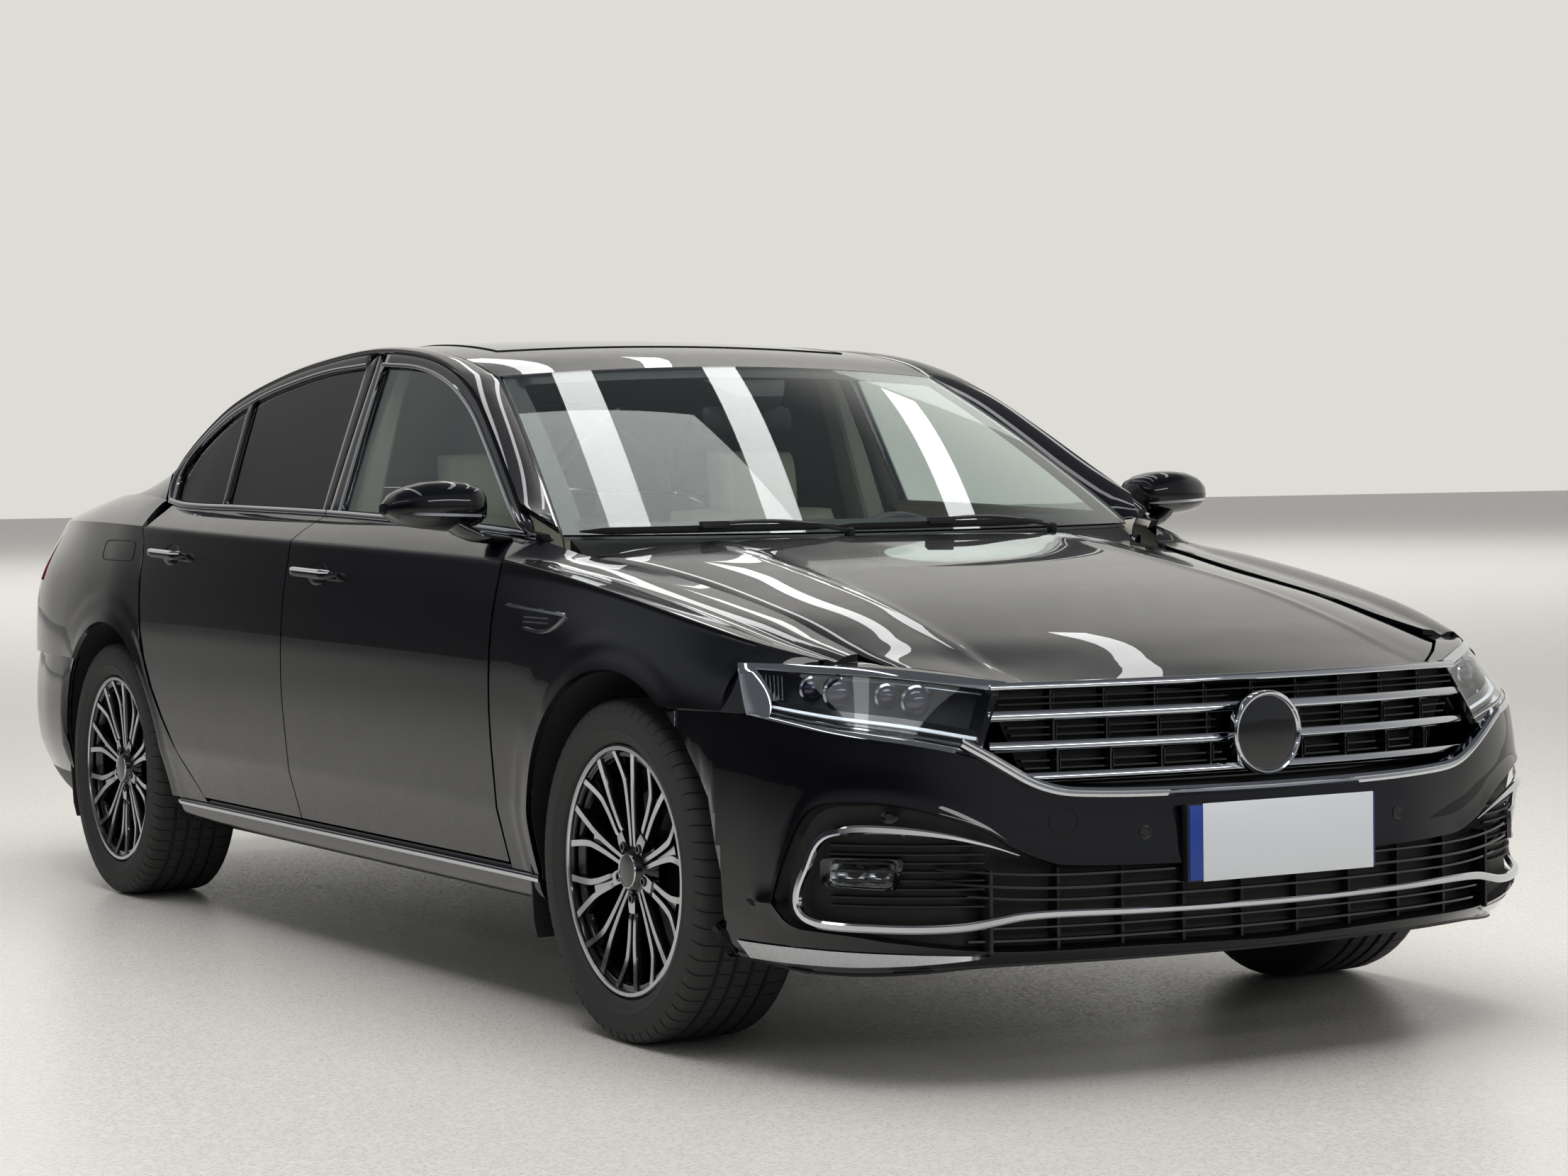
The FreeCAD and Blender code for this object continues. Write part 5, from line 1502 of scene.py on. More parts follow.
@dataclass
class Door:
    """A door: painted skin, inner lining, window frame with its bright line, glass and handle."""
    plan: DoorPlan
    side: Side
    lean: float = 26.0
    frame_depth: float = 0.024

    @property
    def name(self) -> str:
        """The door's node."""
        return f"{self.plan.name}_{self.side.word}"

    @property
    def body(self) -> str:
        """The door's body in the frame."""
        return f"{self.plan.end}_door_{self.side.word}"

    def station(self, share: float, h: float) -> float:
        """Station of a share between the shut lines at a height."""
        front, rear = straight(self.plan.front, h) + GAP, straight(self.plan.rear, h) - GAP
        return front + (rear - front) * share

    def skin(self) -> None:
        """Outer skin, edges and lining, up to the belt."""
        shares_along = [0, 0.006, 0.02] + between(0.05, 0.95, self.plan.columns) + [0.98, 0.994, 1]
        levels = [0.0, 0.03, 0.14, 0.27, 0.4, 0.53, 0.66, 0.78, 0.88, 0.94, 0.975, 0.992]
        outer: list[Line] = []
        depth: list[float] = []
        for h, d in ((312, 76), (330, 80), (365, 86), (400, 92), (421, 96)):
            outer.append([point(half_at(self.station(s, h), h), self.station(s, h), h) for s in shares_along])
            depth.append(d)
        foot = LOW_LINE + 3
        for t in levels:
            line = []
            for s in shares_along:
                # The shut lines lean, so station and height are found together, in three steps.
                h = foot + t * 545
                for _ in range(3):
                    y = self.station(s, h)
                    h = foot + (shoulder(y)[1] - foot) * t
                line.append(point(half_at(y, h), y, h))
            outer.append(line)
            depth.append(96 if t < 0.7 else 66)
        for t in (0.02, 0.07, 0.2, 0.4, 0.6, 0.8, 0.93, 1.0):
            line = []
            for s in shares_along:
                y = self.station(s, 975 + 60 * t)
                x, h = over(y, t)
                line.append(point(x, y, h))
            outer.append(line)
            depth.append(66 - 34 * t)
        inner = []
        for row, d in zip(outer, depth):
            line = []
            for p, s in zip(row, shares_along):
                back = (self.lean * (1 - s) + self.plan.rear_lean * s) * min(1, d / 96)
                line.append(p + Vector((-d, back, 0)) * MM)
            inner.append(line)
        made = Mesher()
        made.grid(outer, Stock.PAINT)
        made.grid(inner[:9], Stock.FOAM)
        made.grid(inner[8:], Stock.LEATHER)
        made.edges(outer, inner, Stock.PAINT)
        self._lining(made)
        piece = handed(made, self.side).build(f"{self.name}_skin")
        dress(piece, self.body, "black_paint", self.name)

    def _lining(self, made: Mesher) -> None:
        """Armrest and pull on the door's inside.

        Args:
            made: takes the faces.
        """
        y0, y1 = self.station(0.22, 620), self.station(0.8, 620)
        rings = []
        for t in shares(14):
            y = y0 + (y1 - y0) * t
            x = half_at(y, 640) - 95
            s = min(1.0, 5 * min(t, 1 - t) + 0.3)
            rings.append([point(x + dx * s if dx < 0 else x, y, 640 + dz * s) for dx, dz in (
                (4, -46), (-30, -42), (-52, -22), (-58, 4), (-50, 20), (-30, 26), (4, 26))])
        made.loft(rings, Stock.LEATHER)

    def frame(self) -> None:
        """Window frame above the belt: rails and posts between the windows and the door's edge."""
        made = Mesher()
        sheet = by_glass(0.5)
        first, last = self.plan.windows[0], self.plan.windows[-1]
        top_front, top_rear = straight(self.plan.front, 1500) + 22, straight(self.plan.rear, 1500) - 12
        upper = list(first[1]) + (list(last[1][:-1]) if last is not first else [])
        edge = outline(upper, 44)
        roof = []
        for i, (y, h) in enumerate(edge):
            t = i / (len(edge) - 1)
            stretch = 0.0 if last is first else t ** 6 * (top_rear - edge[-1][0])
            y_roof = min(max(y + stretch, top_front), top_rear)
            roof.append((y_roof, read(ROOF_EDGE, y_roof)[1] - 1))
        self._strip(made, edge, roof, sheet, Stock.GLOSS)
        if last is first:
            rear_edge = outline([first[0][-1], first[1][-1]], 14, curved=False)
            post = outline([(self.station(1, 1052), 1050), (self.station(1, 1442) - 2, 1437)], 14,
                           curved=False)
            self._strip(made, rear_edge, post, sheet, Stock.GLOSS)
            sail = outline([(-1012, 1002), (-1000, 1010), (-985, 1018)], 5, curved=False)
            foot = outline([(-1030, 1003), (-1022, 1008), (-1012, 1016)], 5, curved=False)
            self._strip(made, sail, foot, sheet, Stock.GLOSS)
        else:
            front_edge = outline([first[0][0], first[1][0]], 14, curved=False)
            post = outline([(self.station(0, 1052), 1050), (self.station(0, 1440), 1438)], 14, curved=False)
            self._strip(made, post, front_edge, sheet, Stock.GLOSS)
            divide_a = outline([first[0][-1], first[1][-1]], 12, curved=False)
            divide_b = outline([last[0][0], last[1][0]], 12, curved=False)
            self._strip(made, divide_a, divide_b, sheet, Stock.GLOSS)
            tail_a = outline([last[0][-1], (1243, 1100), (1246, 1150), (1190, 1215)], 14)
            tail_b = outline([(1300, 1086), (1303, 1112), (1298, 1142), (1246, 1196)], 14)
            self._strip(made, tail_a, tail_b, sheet, Stock.PAINT)
        low_edge = outline([(self.station(0, 1040) + 1, 0), (self.station(1, 1060) - 1, 0)], 40, curved=False)
        belt = [(y, flank(y)[5][0] - 2) for y, _ in low_edge]
        sill = [(y, h + 16) for y, h in belt]
        self._strip(made, belt, sill, by_glass(-1), Stock.SEAL)
        piece = handed(made, self.side).build(f"{self.name}_window_frame", bevel=0.001)
        dress(piece, self.body, "black_plastic")

    def _strip(self, made: Mesher, a: Sequence[Row], b: Sequence[Row],
               sheet: Callable[[float, float], Vector], finish: Finish) -> None:
        """Adds a strip of the frame between two lines of equally many points.

        Args:
            made: takes the faces.
            a: the one line.
            b: the other line.
            sheet: puts (station, height) on the surface.
            finish: the surface.
        """
        rows = ruled(a, b, 4, sheet)
        inner = [[p + Vector((-self.frame_depth, 0, -0.002)) for p in row] for row in rows]
        made.shell(rows, inner, finish, Stock.LINING)

    def bright(self) -> None:
        """Bright line over the windows and along the belt."""
        made = Mesher()
        section = [(-0.005, -0.002), (0.005, -0.002), (0.0045, 0.0025), (0.002, 0.0036), (-0.002, 0.0036),
                   (-0.0045, 0.0025)]
        path = [by_glass(1.5)(y, h) for y, h in outline(self.plan.chrome, 60)]
        made.sweep(path, Vector((1, 0, 0.25)), section, Stock.CHROME)
        if self.plan is FRONT_DOOR:
            post = [by_glass(1.5)(y, h) for y, h in outline([(112, 1413), (64, 1056)], 20, curved=False)]
            made.sweep(post, Vector((1, 0, 0.25)), section, Stock.CHROME)
        y0, y1 = self.station(0, 1040) + 0.5, self.station(1, 1062) - 0.5
        if self.plan is FRONT_DOOR:
            y0 = -1032
        belt = []
        for y in between(y0, y1, 40):
            belt_z, x = flank(y)[5]
            belt.append(point(x + 3, y, belt_z + 5))
        made.sweep(belt, Vector((1, 0, 0.3)), [(-0.0075, -0.003), (0.0075, -0.003), (0.0065, 0.0022),
                                               (0.002, 0.004), (-0.003, 0.0035), (-0.007, 0.0015)],
                                               Stock.CHROME)
        dress(handed(made, self.side).build(f"{self.name}_bright_line"), self.body, "bright_trim")

    def glass(self) -> None:
        """Panes of the door."""
        made = Mesher()
        for low, high in self.plan.windows:
            grow = 3.0
            a, b = outline([(y, h - grow) for y, h in low], 24), outline([(y, h + grow) for y, h in high], 24)
            rows = ruled(a, b, 12, by_glass(-9))
            inner = [[p + Vector((-0.004, 0, -0.0005)) for p in row] for row in rows]
            made.shell(rows, inner, self.plan.glass)
        name = f"glass_{self.plan.end}_{self.side.word}"
        dress(handed(made, self.side).build(f"{name}_panes"), self.body, "window_glass", name)

    def handle(self) -> None:
        """Pull handle with a bright upper blade, over its cup."""
        y0, y1, h0 = self.plan.handle
        made = Mesher()
        rise = 6.0
        bar, blade = [], []
        for t in shares(26):
            y = y0 + (y1 - y0) * t
            h = h0 + rise * t
            x = half_at(y, h)
            lift = 26 * min(1.0, math.sin(math.pi * t) * 2.6) ** 0.8 if 0 < t < 1 else 0.0
            s = 0.55 + 0.45 * min(1.0, math.sin(math.pi * t) * 3) if 0 < t < 1 else 0.4
            bar.append([point(x + lift + dx * s, y, h + dh * s) for dx, dh in (
                (-9, -8), (2, -11), (8, -7), (9, 0), (7, 7), (1, 10), (-9, 8))])
            blade.append([point(x + lift + 4 + dx * s, y, h + 4 + dh * s) for dx, dh in (
                (0, 1), (4.6, -1), (5.8, 2.4), (3.6, 5.8), (-2, 7.8), (-4, 6.4))])
        made.loft(bar, Stock.PAINT)
        made.loft(blade[1:-1], Stock.CHROME)
        mid, level = y0 + (y1 - y0) * 0.47, h0 + 1
        cup = []
        for s, lift in ((1.0, 0.4), (0.9, 0.6), (0.5, 0.8)):
            cup.append([point(half_at(mid + 62 * math.cos(a), level + 28 * math.sin(a)) + lift,
                              mid + 62 * math.cos(a) * s, level + 28 * math.sin(a) * s) for a in turns(40)])
        made.grid(cup, Stock.GLOSS, around=True)
        made.fan(cup[-1], Stock.GLOSS)
        dress(handed(made, self.side).build(f"{self.name}_handle"), self.body, "bright_trim")

    def build(self) -> None:
        """Makes the door."""
        self.skin()
        self.frame()
        self.glass()
        self.bright()
        self.handle()


@dataclass
class Mirror:
    """Door mirror: painted pointed cap, bright strip, dark lower shell, glass and arm."""
    side: Side

    @staticmethod
    def ring(x: float, y0: float, y1: float, low: float, high: float, count: int = 28,
             square: float = 0.72) -> Line:
        """Rounded upright section of the head at a half width.

        Args:
            x: the half width.
            y0: its front.
            y1: its back.
            low: its lowest height.
            high: its highest.
            count: how many points.
            square: 1 for an ellipse, less for a squarer form.

        Returns:
            The ring's points.
        """
        mid_y, mid_h = (y0 + y1) / 2, (low + high) / 2
        return [point(x, mid_y + (y1 - y0) / 2 * squared(math.cos(a), square),
                      mid_h + (high - low) / 2 * squared(math.sin(a), square)) for a in turns(count)]

    def build(self) -> None:
        """Makes the mirror."""
        head = Mesher()
        sections = ((876, -896, -826, 1048, 1094), (882, -920, -806, 1036, 1108),
                    (898, -932, -799, 1028, 1119), (930, -937, -796, 1023, 1127),
                    (970, -936, -795, 1022, 1129), (1010, -928, -795, 1025, 1126),
                    (1046, -913, -797, 1031, 1117), (1072, -895, -801, 1041, 1103),
                    (1089, -870, -812, 1057, 1081))
        rings = [self.ring(*row) for row in sections]
        head.loft(rings, Stock.PAINT)
        head.refinish(lambda mid, finish: Stock.GLOSS if mid.z < 1.052 else finish)
        strip = []
        for x, y0, y1, *_ in sections[1:-1]:
            y = y0 + (y1 - y0) * 0.035
            strip.append(point(x, y - 2, 1055 + (x - 970) * 0.04))
        path = spline(strip, 30)
        head.sweep(path, Vector((0, -1, 0)), bar_section(0.0045, -0.003, 0.003, 0.0022),
                   Stock.CHROME, grow=lambda t: min(1.0, 6 * min(t, 1 - t) + 0.25))
        face = [[point(978 + 88 * s * squared(math.cos(a), 0.6), y, 1076 + 38 * s * squared(math.sin(a), 0.6))
                 for a in turns(28)] for s, y in ((1.0, -794), (0.93, -793))]
        head.grid(face, Stock.DARK, around=True)
        head.fan(face[-1], Stock.SILVER)
        arm = []
        for x, y0, y1, h0, h1 in ((842, -962, -872, 992, 1008), (880, -952, -872, 990, 1014),
                                  (915, -938, -866, 996, 1028), (945, -926, -856, 1010, 1046),
                                  (962, -918, -850, 1026, 1056)):
            arm.append(self.ring(x, y0, y1, h0, h1, 16, 0.8))
        head.loft(arm, Stock.GLOSS)
        piece = handed(head, self.side).build(f"mirror_{self.side.word}_head")
        dress(piece, f"front_door_{self.side.word}", "black_paint", f"mirror_{self.side.word}")


# Bonnet by row: minus the middle's station, half width, stations at the crease and at the side,
# heights in the middle, at the crease and at the side, the crease's half width.
BONNET = ((1188, 735, -1164, -1104, 996, 990, 962, 452), (1330, 699, -1318, -1290, 972, 967, 942, 454),
          (1600, 674, -1586, -1550, 934, 926, 902, 462), (1900, 676, -1880, -1830, 884, 874, 856, 474),
          (2180, 680, -2130, -2020, 820, 810, 812, 488), (2340, 674, -2272, -2130, 768, 764, 788, 496),
          (2430, 664, -2362, -2206, 733, 740, 772, 502))


@dataclass
class Lids:
    """Bonnet and boot lid."""
    bonnet_skin: float = 0.022
    boot_skin: float = 0.028

    def bonnet_at(self, s: float, t: float) -> Vector:
        """Point of the bonnet at a lengthwise distance and a share from -1 to 1 across.

        Args:
            s: the distance, as in the bonnet's table.
            t: share from -1 to 1 across.

        Returns:
            The point, in metres.
        """
        half, y_crease, y_side, h_mid, h_crease, h_side, crease = read(BONNET, s)
        side = half - GAP * 2
        x = abs(t) * side
        if x <= crease:
            u = (x / crease) ** 2
            y, h = -s + (y_crease + s) * u, h_mid + (h_crease - h_mid) * u
            h += 3.2 * ridge(crease - x, 16)
        else:
            u = (x - crease) / (side - crease)
            y = y_crease + (y_side - y_crease) * (0.75 * u + 0.25 * u * u)
            h = h_crease + (h_side - h_crease) * u + 4.0 * bow(u)
            h += 3.2 * ridge(x - crease, 9)
            h -= 3.0 * ridge(1 - u, 0.05)
        return point(math.copysign(x, t), y, h)

    def bonnet(self) -> None:
        """Bonnet with its two creases."""
        steps = between(1188, 2430, 48)
        fine = [0, 0.1, 0.2, 0.3, 0.4, 0.5, 0.58, 0.63, 0.655, 0.67, 0.682, 0.694, 0.706, 0.72, 0.74, 0.77,
                0.82, 0.87, 0.92, 0.955, 0.975, 0.99, 1]
        across = [-t for t in fine[:0:-1]] + fine
        outer = [[self.bonnet_at(s, t) for t in across] for s in steps]
        lip = [p + Vector((0, -0.003, -0.008)) for p in outer[-1]]
        lip2 = [p + Vector((0, 0.004, -0.02)) for p in outer[-1]]
        outer += [lip, lip2]
        inner = [[p + Vector((0, 0, -self.bonnet_skin)) for p in row] for row in outer[:-2]]
        inner += [[p + Vector((0, 0.004, -self.bonnet_skin + 0.006)) for p in lip],
                  [p + Vector((0, 0.004, -0.001)) for p in lip2]]
        made = Mesher()
        made.shell(outer, inner, Stock.PAINT)
        dress(made.build("bonnet_skin"), "bonnet", "black_paint", "bonnet")

    def boot(self) -> None:
        """Boot lid: top, spoiler edge and rear face with the plate's recess."""
        rows = [(690, 1905, 1104, 0, 10), (664, 2040, 1103, 0, 15), (636, 2180, 1099, 6, 21),
                (616, 2320, 1098, 28, 28), (604, 2400, 1099, 44, 32), (598, 2440, 1100, 54, 34),
                (597, 2456, 1099, 57, 34), (596, 2462, 1092, 57, 31), (594, 2463, 1074, 56, 22),
                (591, 2470, 1035, 54, 12), (590, 2477, 1000, 52, 6), (586, 2486, 960, 50, 5),
                (582, 2493, 915, 47, 4), (578, 2497, 860, 44, 2), (575, 2499, 800, 42, 1),
                (572, 2500, 742, 40, 0)]
        across = between(-1, 1, 41)
        outer = []
        for half, y, h, dy, dh in rows:
            line = []
            for t in across:
                x = (half - GAP * 2) * t
                line.append(point(x, y - dy * t * t, h - dh * t * t))
            outer.append(line)
        # The plate lies in a shallow recess of the rear face.
        for row in outer[9:]:
            for p in row:
                u = 1 / (1 + math.exp((abs(p.x) - 0.29) / 0.008))
                v = 1 / (1 + math.exp((abs(p.z - 0.838) - 0.078) / 0.006))
                p.y -= 0.016 * u * v
        inner = []
        for i, row in enumerate(outer):
            down = max(0.0, 1 - max(0, i - 4) / 4)
            inner.append([p + Vector((0, -0.03 * (1 - down), -self.boot_skin * down)) for p in row])
        made = Mesher()
        made.shell(outer, inner, Stock.PAINT)
        dress(made.build("boot_lid_skin"), "boot_lid", "black_paint", "boot_lid")
        trims = Mesher()
        bar = [point(x, 2481 - 46 * (x / 560) ** 2, 1002) for x in between(-470, 470, 40)]
        trims.sweep(bar, Vector((0, 1, 0)), bar_section(0.008, -0.006, 0.006, 0.003),
                    Stock.CHROME)
        plate = [[point(x, 2492, h) for x in (-220, 220)] for h in (768, 908)]
        trims.skin(plate, -0.002, Stock.PLATE)
        disc = facing_rings(2488, 962, 38, ((1, -6), (1, 1), (0.94, 3), (0.86, 3), (0.43, 2)), 40)
        trims.grid(disc[:4], Stock.CHROME, around=True)
        trims.grid(disc[3:], Stock.GLOSS, around=True)
        trims.fan(disc[-1], Stock.GLOSS)
        dress(trims.build("boot_lid_trims", bevel=0.0005), "boot_lid", "bright_trim")

    def build(self) -> None:
        """Makes both lids."""
        self.bonnet()
        self.boot()


# Front bumper's plan from the wheel arch to the middle: half width, station, height of the top edge.
FRONT_PLAN = ((943, -1780, 687), (933, -1900, 687), (918, -2010, 687), (888, -2140, 676), (826, -2270, 654),
              (730, -2368, 636), (610, -2440, 606), (480, -2486, 556), (300, -2520, 532), (0, -2537, 526))
REAR_PLAN = ((942, 1660, 639), (932, 1850, 639), (905, 2080, 639), (850, 2290, 639), (730, 2430, 639),
             (566, 2500, 700), (300, 2530, 724), (0, 2537, 726))
# How far the bumpers draw in below and above their widest line: share of height, distance.
BUMPER_PROFILE = ((0.0, 60), (0.05, 34), (0.12, 12), (0.28, 3), (0.45, 0), (0.8, 4), (1.0, 16))
REAR_PROFILE = ((0.0, 104), (0.08, 74), (0.2, 42), (0.34, 17), (0.48, 4), (0.6, 0), (0.85, 3), (1.0, 12))


def turned_out(x: float) -> float:
    """Angle in radians by which the car's ends have turned towards the side at a half width."""
    return math.pi / 2 * min(1.0, abs(x) / 900) ** 2.4


@dataclass
class Wrap:
    """A bumper's outer surface: its plan line from the wheel arch round to the middle, and its profile."""
    plan: tuple[Row, ...]
    sign: float
    low: float = 218.0
    profile: tuple[Row, ...] = BUMPER_PROFILE

    def __post_init__(self) -> None:
        """Prepares the plan line by half width."""
        line = [Vector((x, y, top)) for x, y, top in self.plan]
        line += [Vector((-x, y, top)) for x, y, top in self.plan[-2:-4:-1]]
        fine = spline(line, 600)
        self.fine = [p for p in fine if p.x >= -1]

    def station(self, u: float) -> tuple[Vector, Vector]:
        """Plan point and outward direction at a share from the arch, 0, to the middle, 1.

        Args:
            u: share along the plan line, from the wheel arch to the middle.

        Returns:
            The point, in millimetres, and a unit vector.
        """
        f = u * (len(self.fine) - 1)
        i = min(int(f), len(self.fine) - 2)
        p = self.fine[i].lerp(self.fine[i + 1], f - i)
        a = turned_out(p.x)
        return p, Vector((math.sin(a), self.sign * math.cos(a), 0))

    def share_of(self, x: float) -> float:
        """Share along the plan line at a half width."""
        best = min(range(len(self.fine)), key=lambda i: abs(self.fine[i].x - x))
        return best / (len(self.fine) - 1)

    def at(self, u: float, h: float, out: float = 0.0) -> Vector:
        """Point of the skin at a share and a height.

        Args:
            u: share along the plan line, from the wheel arch to the middle.
            h: the height.
            out: how far it stands off the surface.

        Returns:
            The point, in metres.
        """
        p, outward = self.station(u)
        share = (h - self.low) / (p.z - self.low)
        back = read(self.profile, min(1.0, max(0.0, share)))[0]
        q = Vector((p.x, p.y, 0)) + outward * (out - back)
        return point(q.x, q.y, h)

    def by_x(self, x: float, h: float, out: float = 0.0) -> Vector:
        """Point of the skin at a half width and a height; negative x gives the right side."""
        q = self.at(self.share_of(abs(x)), h, out)
        return Vector((-q.x, q.y, q.z)) if x < 0 else q


def table(rows: Sequence[Row], x: float) -> float:
    """Reads (x, value) rows smoothly at |x|."""
    return read(rows, abs(x))[0]


# The front opening's upper and lower edge by half width.
OPEN_TOP = ((0, 403), (215, 403), (458, 411), (500, 421), (560, 447), (599, 474), (670, 504), (757, 527),
            (815, 528), (843, 521), (858, 500), (869, 458), (880, 395), (888, 335))
OPEN_LOW = ((0, 244), (328, 252), (596, 254), (759, 273), (807, 283), (850, 289), (866, 292), (878, 305),
            (888, 335))


@dataclass
class FrontBumper:
    """Front bumper: skin round the wide opening, intake, fog lamps, bright lines, sensors and plate."""
    wall: float = 14.0
    recess: float = 30.0
    columns: int = 110

    def __post_init__(self) -> None:
        """Prepares the wrap."""
        self.wrap = Wrap(FRONT_PLAN, -1)

    def skin(self) -> None:
        """Painted skin above and below the opening, its rim, and the seam behind it."""
        made = Mesher()
        us = [t ** 0.9 for t in shares(self.columns)]
        top_shares = (0, 0.015, 0.05, 0.14, 0.28, 0.45, 0.62, 0.78, 0.9, 0.97, 1.0)
        upper, lower = [], []
        for u in us:
            p, _ = self.wrap.station(u)
            x = p.x
            open_top, open_low = table(OPEN_TOP, x), table(OPEN_LOW, x)
            column_up, column_low = [], []
            for t in top_shares:
                h = open_top + (p.z - open_top) * t
                lip = 5.0 * ridge(h - open_top, 14) if x < 900 else 0.0
                column_up.append(self._kept(u, h, lip))
            foot = table(((0, 226), (469, 226), (620, 222), (760, 210), (880, 205), (914, 214), (945, 216)),
                         x)
            for t in (0, 0.08, 0.25, 0.5, 0.75, 0.92, 1.0):
                h = foot + (open_low - foot) * t
                lip = 4.0 * ridge(open_low - h, 10) if x < 900 else 0.0
                column_low.append(self._kept(u, h, lip))
            upper.append(column_up)
            lower.append(column_low)
        for sheet in (upper, lower):
            inner = []
            for u, column in zip(us, sheet):
                _, outward = self.wrap.station(u)
                inner.append([q - outward * self.wall * MM for q in column])
            made.shell(sheet, inner, Stock.PAINT)
        hems = []
        for u, column in zip(us, lower):
            _, outward = self.wrap.station(u)
            base = column[0]
            hems.append([base, base + Vector((0, 0, -0.002)) - outward * 0.012,
                         base - outward * 0.045 + Vector((0, 0, 0.004))])
        made.skin(hems, 0.004, Stock.PLASTIC)
        piece = made.mirror().build("front_bumper_skin")
        dress(piece, "body", "black_paint", "front_bumper")

    def _kept(self, u: float, h: float, out: float) -> Vector:
        """A skin point, drawn forward to the arch's edge where it would lie inside the arch.

        Args:
            u: share along the plan line, from the wheel arch to the middle.
            h: the height.
            out: how far it stands off the surface.

        Returns:
            The point, in metres.
        """
        q = self.wrap.at(u, h, out)
        dy, dz = q.y / MM - FRONT_AXLE, h - WHEEL_RADIUS
        edge = -math.sqrt(max(0.0, ARCH_RADIUS ** 2 - dz ** 2)) if abs(dz) < ARCH_RADIUS else 0.0
        if dy > edge:
            return point(half_at(FRONT_AXLE + edge, max(h, 300)) - 2 if h > 300 else q.x / MM,
                         FRONT_AXLE + edge, h)
        return q

    def recessed(self) -> None:
        """Dark inner panel of the opening, with fine ribs beside the fog lamps."""
        made = Mesher()
        us = between(self.wrap.share_of(890), 1, 80)
        rows = []
        for u in us:
            x = self.wrap.station(u)[0].x
            top, low = table(OPEN_TOP, x), table(OPEN_LOW, x)
            deep = self.recess + (26 if x < 600 else 26 * max(0, 1 - (x - 600) / 60))
            column = [self.wrap.at(u, top + 3, -2)]
            for t in shares(7):
                column.append(self.wrap.at(u, top - 4 + (low + 4 - top + 4) * t,
                                           -deep * (1 - 0.3 * abs(2 * t - 1) ** 4)))
            column.append(self.wrap.at(u, low - 3, -2))
            rows.append(column)
        made.skin(rows, 0.003, Stock.DARK)
        dress(made.mirror().build("front_opening_liner"), "body", "black_plastic")
        ribs = Mesher()
        for k in range(8):
            line = []
            h0 = 338 + 16 * k
            for x in between(610, 840, 16):
                if table(OPEN_TOP, x) - 14 > h0:
                    line.append(self.wrap.by_x(x, h0, -19))
            if len(line) > 3:
                ribs.sweep(line, Vector((0.4, -1, 0)).normalized(), bar_section(0.003, -0.004, 0.0015, 0.004),
                           Stock.PLASTIC)
        dress(ribs.mirror().build("fog_lamp_ribs"), "body", "black_plastic")

    def intake(self) -> None:
        """Slats and dividers of the lower intake."""
        made = Mesher()
        for h, half, out, high in ((272, 640, -16, 5), (296, 700, -16, 4), (346, 640, -12, 5),
                                   (368, 690, -8, 6), (392, 690, -10, 5)):
            line = [self.wrap.by_x(x, h + 18 * max(0, (abs(x) - 420) / 280) ** 2 * (1 if h > 340 else 0), out)
                    for x in between(-half, half, 60)]
            slat = bar_section(high * MM / 2, -0.012, high * MM / 2 * 0.8, 0.004)
            made.sweep(line, Vector((0, -1, 0)), slat, Stock.GLOSS)
        dress(made.build("intake_slats"), "body", "black_plastic")
        blade = Mesher()
        blade.block(point(-597, -2502, 250), point(-591, -2452, 404), Stock.PLASTIC)
        piece = blade.build("intake_dividers")
        ROW.apply(piece, 10, Vector((0.132, 0, 0)), Vector(), Stock.PLASTIC, Stock.PLASTIC)
        for vertex in piece.data.vertices:
            vertex.co.y += 0.175 * vertex.co.x ** 2
        dress(piece, "body", "black_plastic")

    def bright(self) -> None:
        """Bright lines: the hook round each fog lamp that runs on across the front, and the lip's blade."""
        half = [(549, 432, 3), (600, 451, 4), (671, 470, 5), (757, 481, 5), (806, 481, 5), (833, 472, 5),
                (846, 450, 5), (855, 410, 5), (864, 365, 4), (866, 332, 4), (858, 312, 5), (838, 302, 6),
                (778, 299, 6), (710, 298, 6), (640, 302, 7), (590, 311, 8), (545, 319, 8), (480, 322, 8),
                (330, 320, 8), (173, 318, 8), (0, 317, 8)]
        left = [self.wrap.by_x(x, h, out - 1) for x, h, out in half]
        right = [Vector((-p.x, p.y, p.z)) for p in left[-2::-1]]
        path = spline(left + right, 260)
        outward = []
        for p in path:
            a = turned_out(p.x / MM)
            outward.append(Vector((math.copysign(math.sin(a), p.x), -math.cos(a), 0)))
        made = Mesher()
        section = [(-0.0085, -0.006), (0.0085, -0.006), (0.008, 0.001), (0.0045, 0.0048), (-0.0045, 0.0048),
                   (-0.008, 0.001)]

        def grow(t: float) -> float:
            """The line's width by share: it tapers at both ends and in the middle."""
            return min(1.0, 0.15 + 12 * min(t, 1 - t)) * (1.0 - 0.28 * math.exp(-((t - 0.5) / 0.17) ** 4))

        made.sweep(path, lambda i: outward[i], section, Stock.CHROME, grow=grow)
        low = Mesher()
        blade = []
        for t in shares(40):
            u = self.wrap.share_of(916 - (916 - 600) * t)
            top = 254 - 10 * t
            high = 34 * (1 - t ** 1.6) + 2
            blade.append([self.wrap.at(u, top - drop, out)
                          for drop, out in ((0, 0.5), (0, 2), (high, 10), (high, 0.5))])
        low.loft(blade, Stock.CHROME)
        made.add(low.mirror())
        dress(made.build("bumper_bright_lines"), "body", "bright_trim")

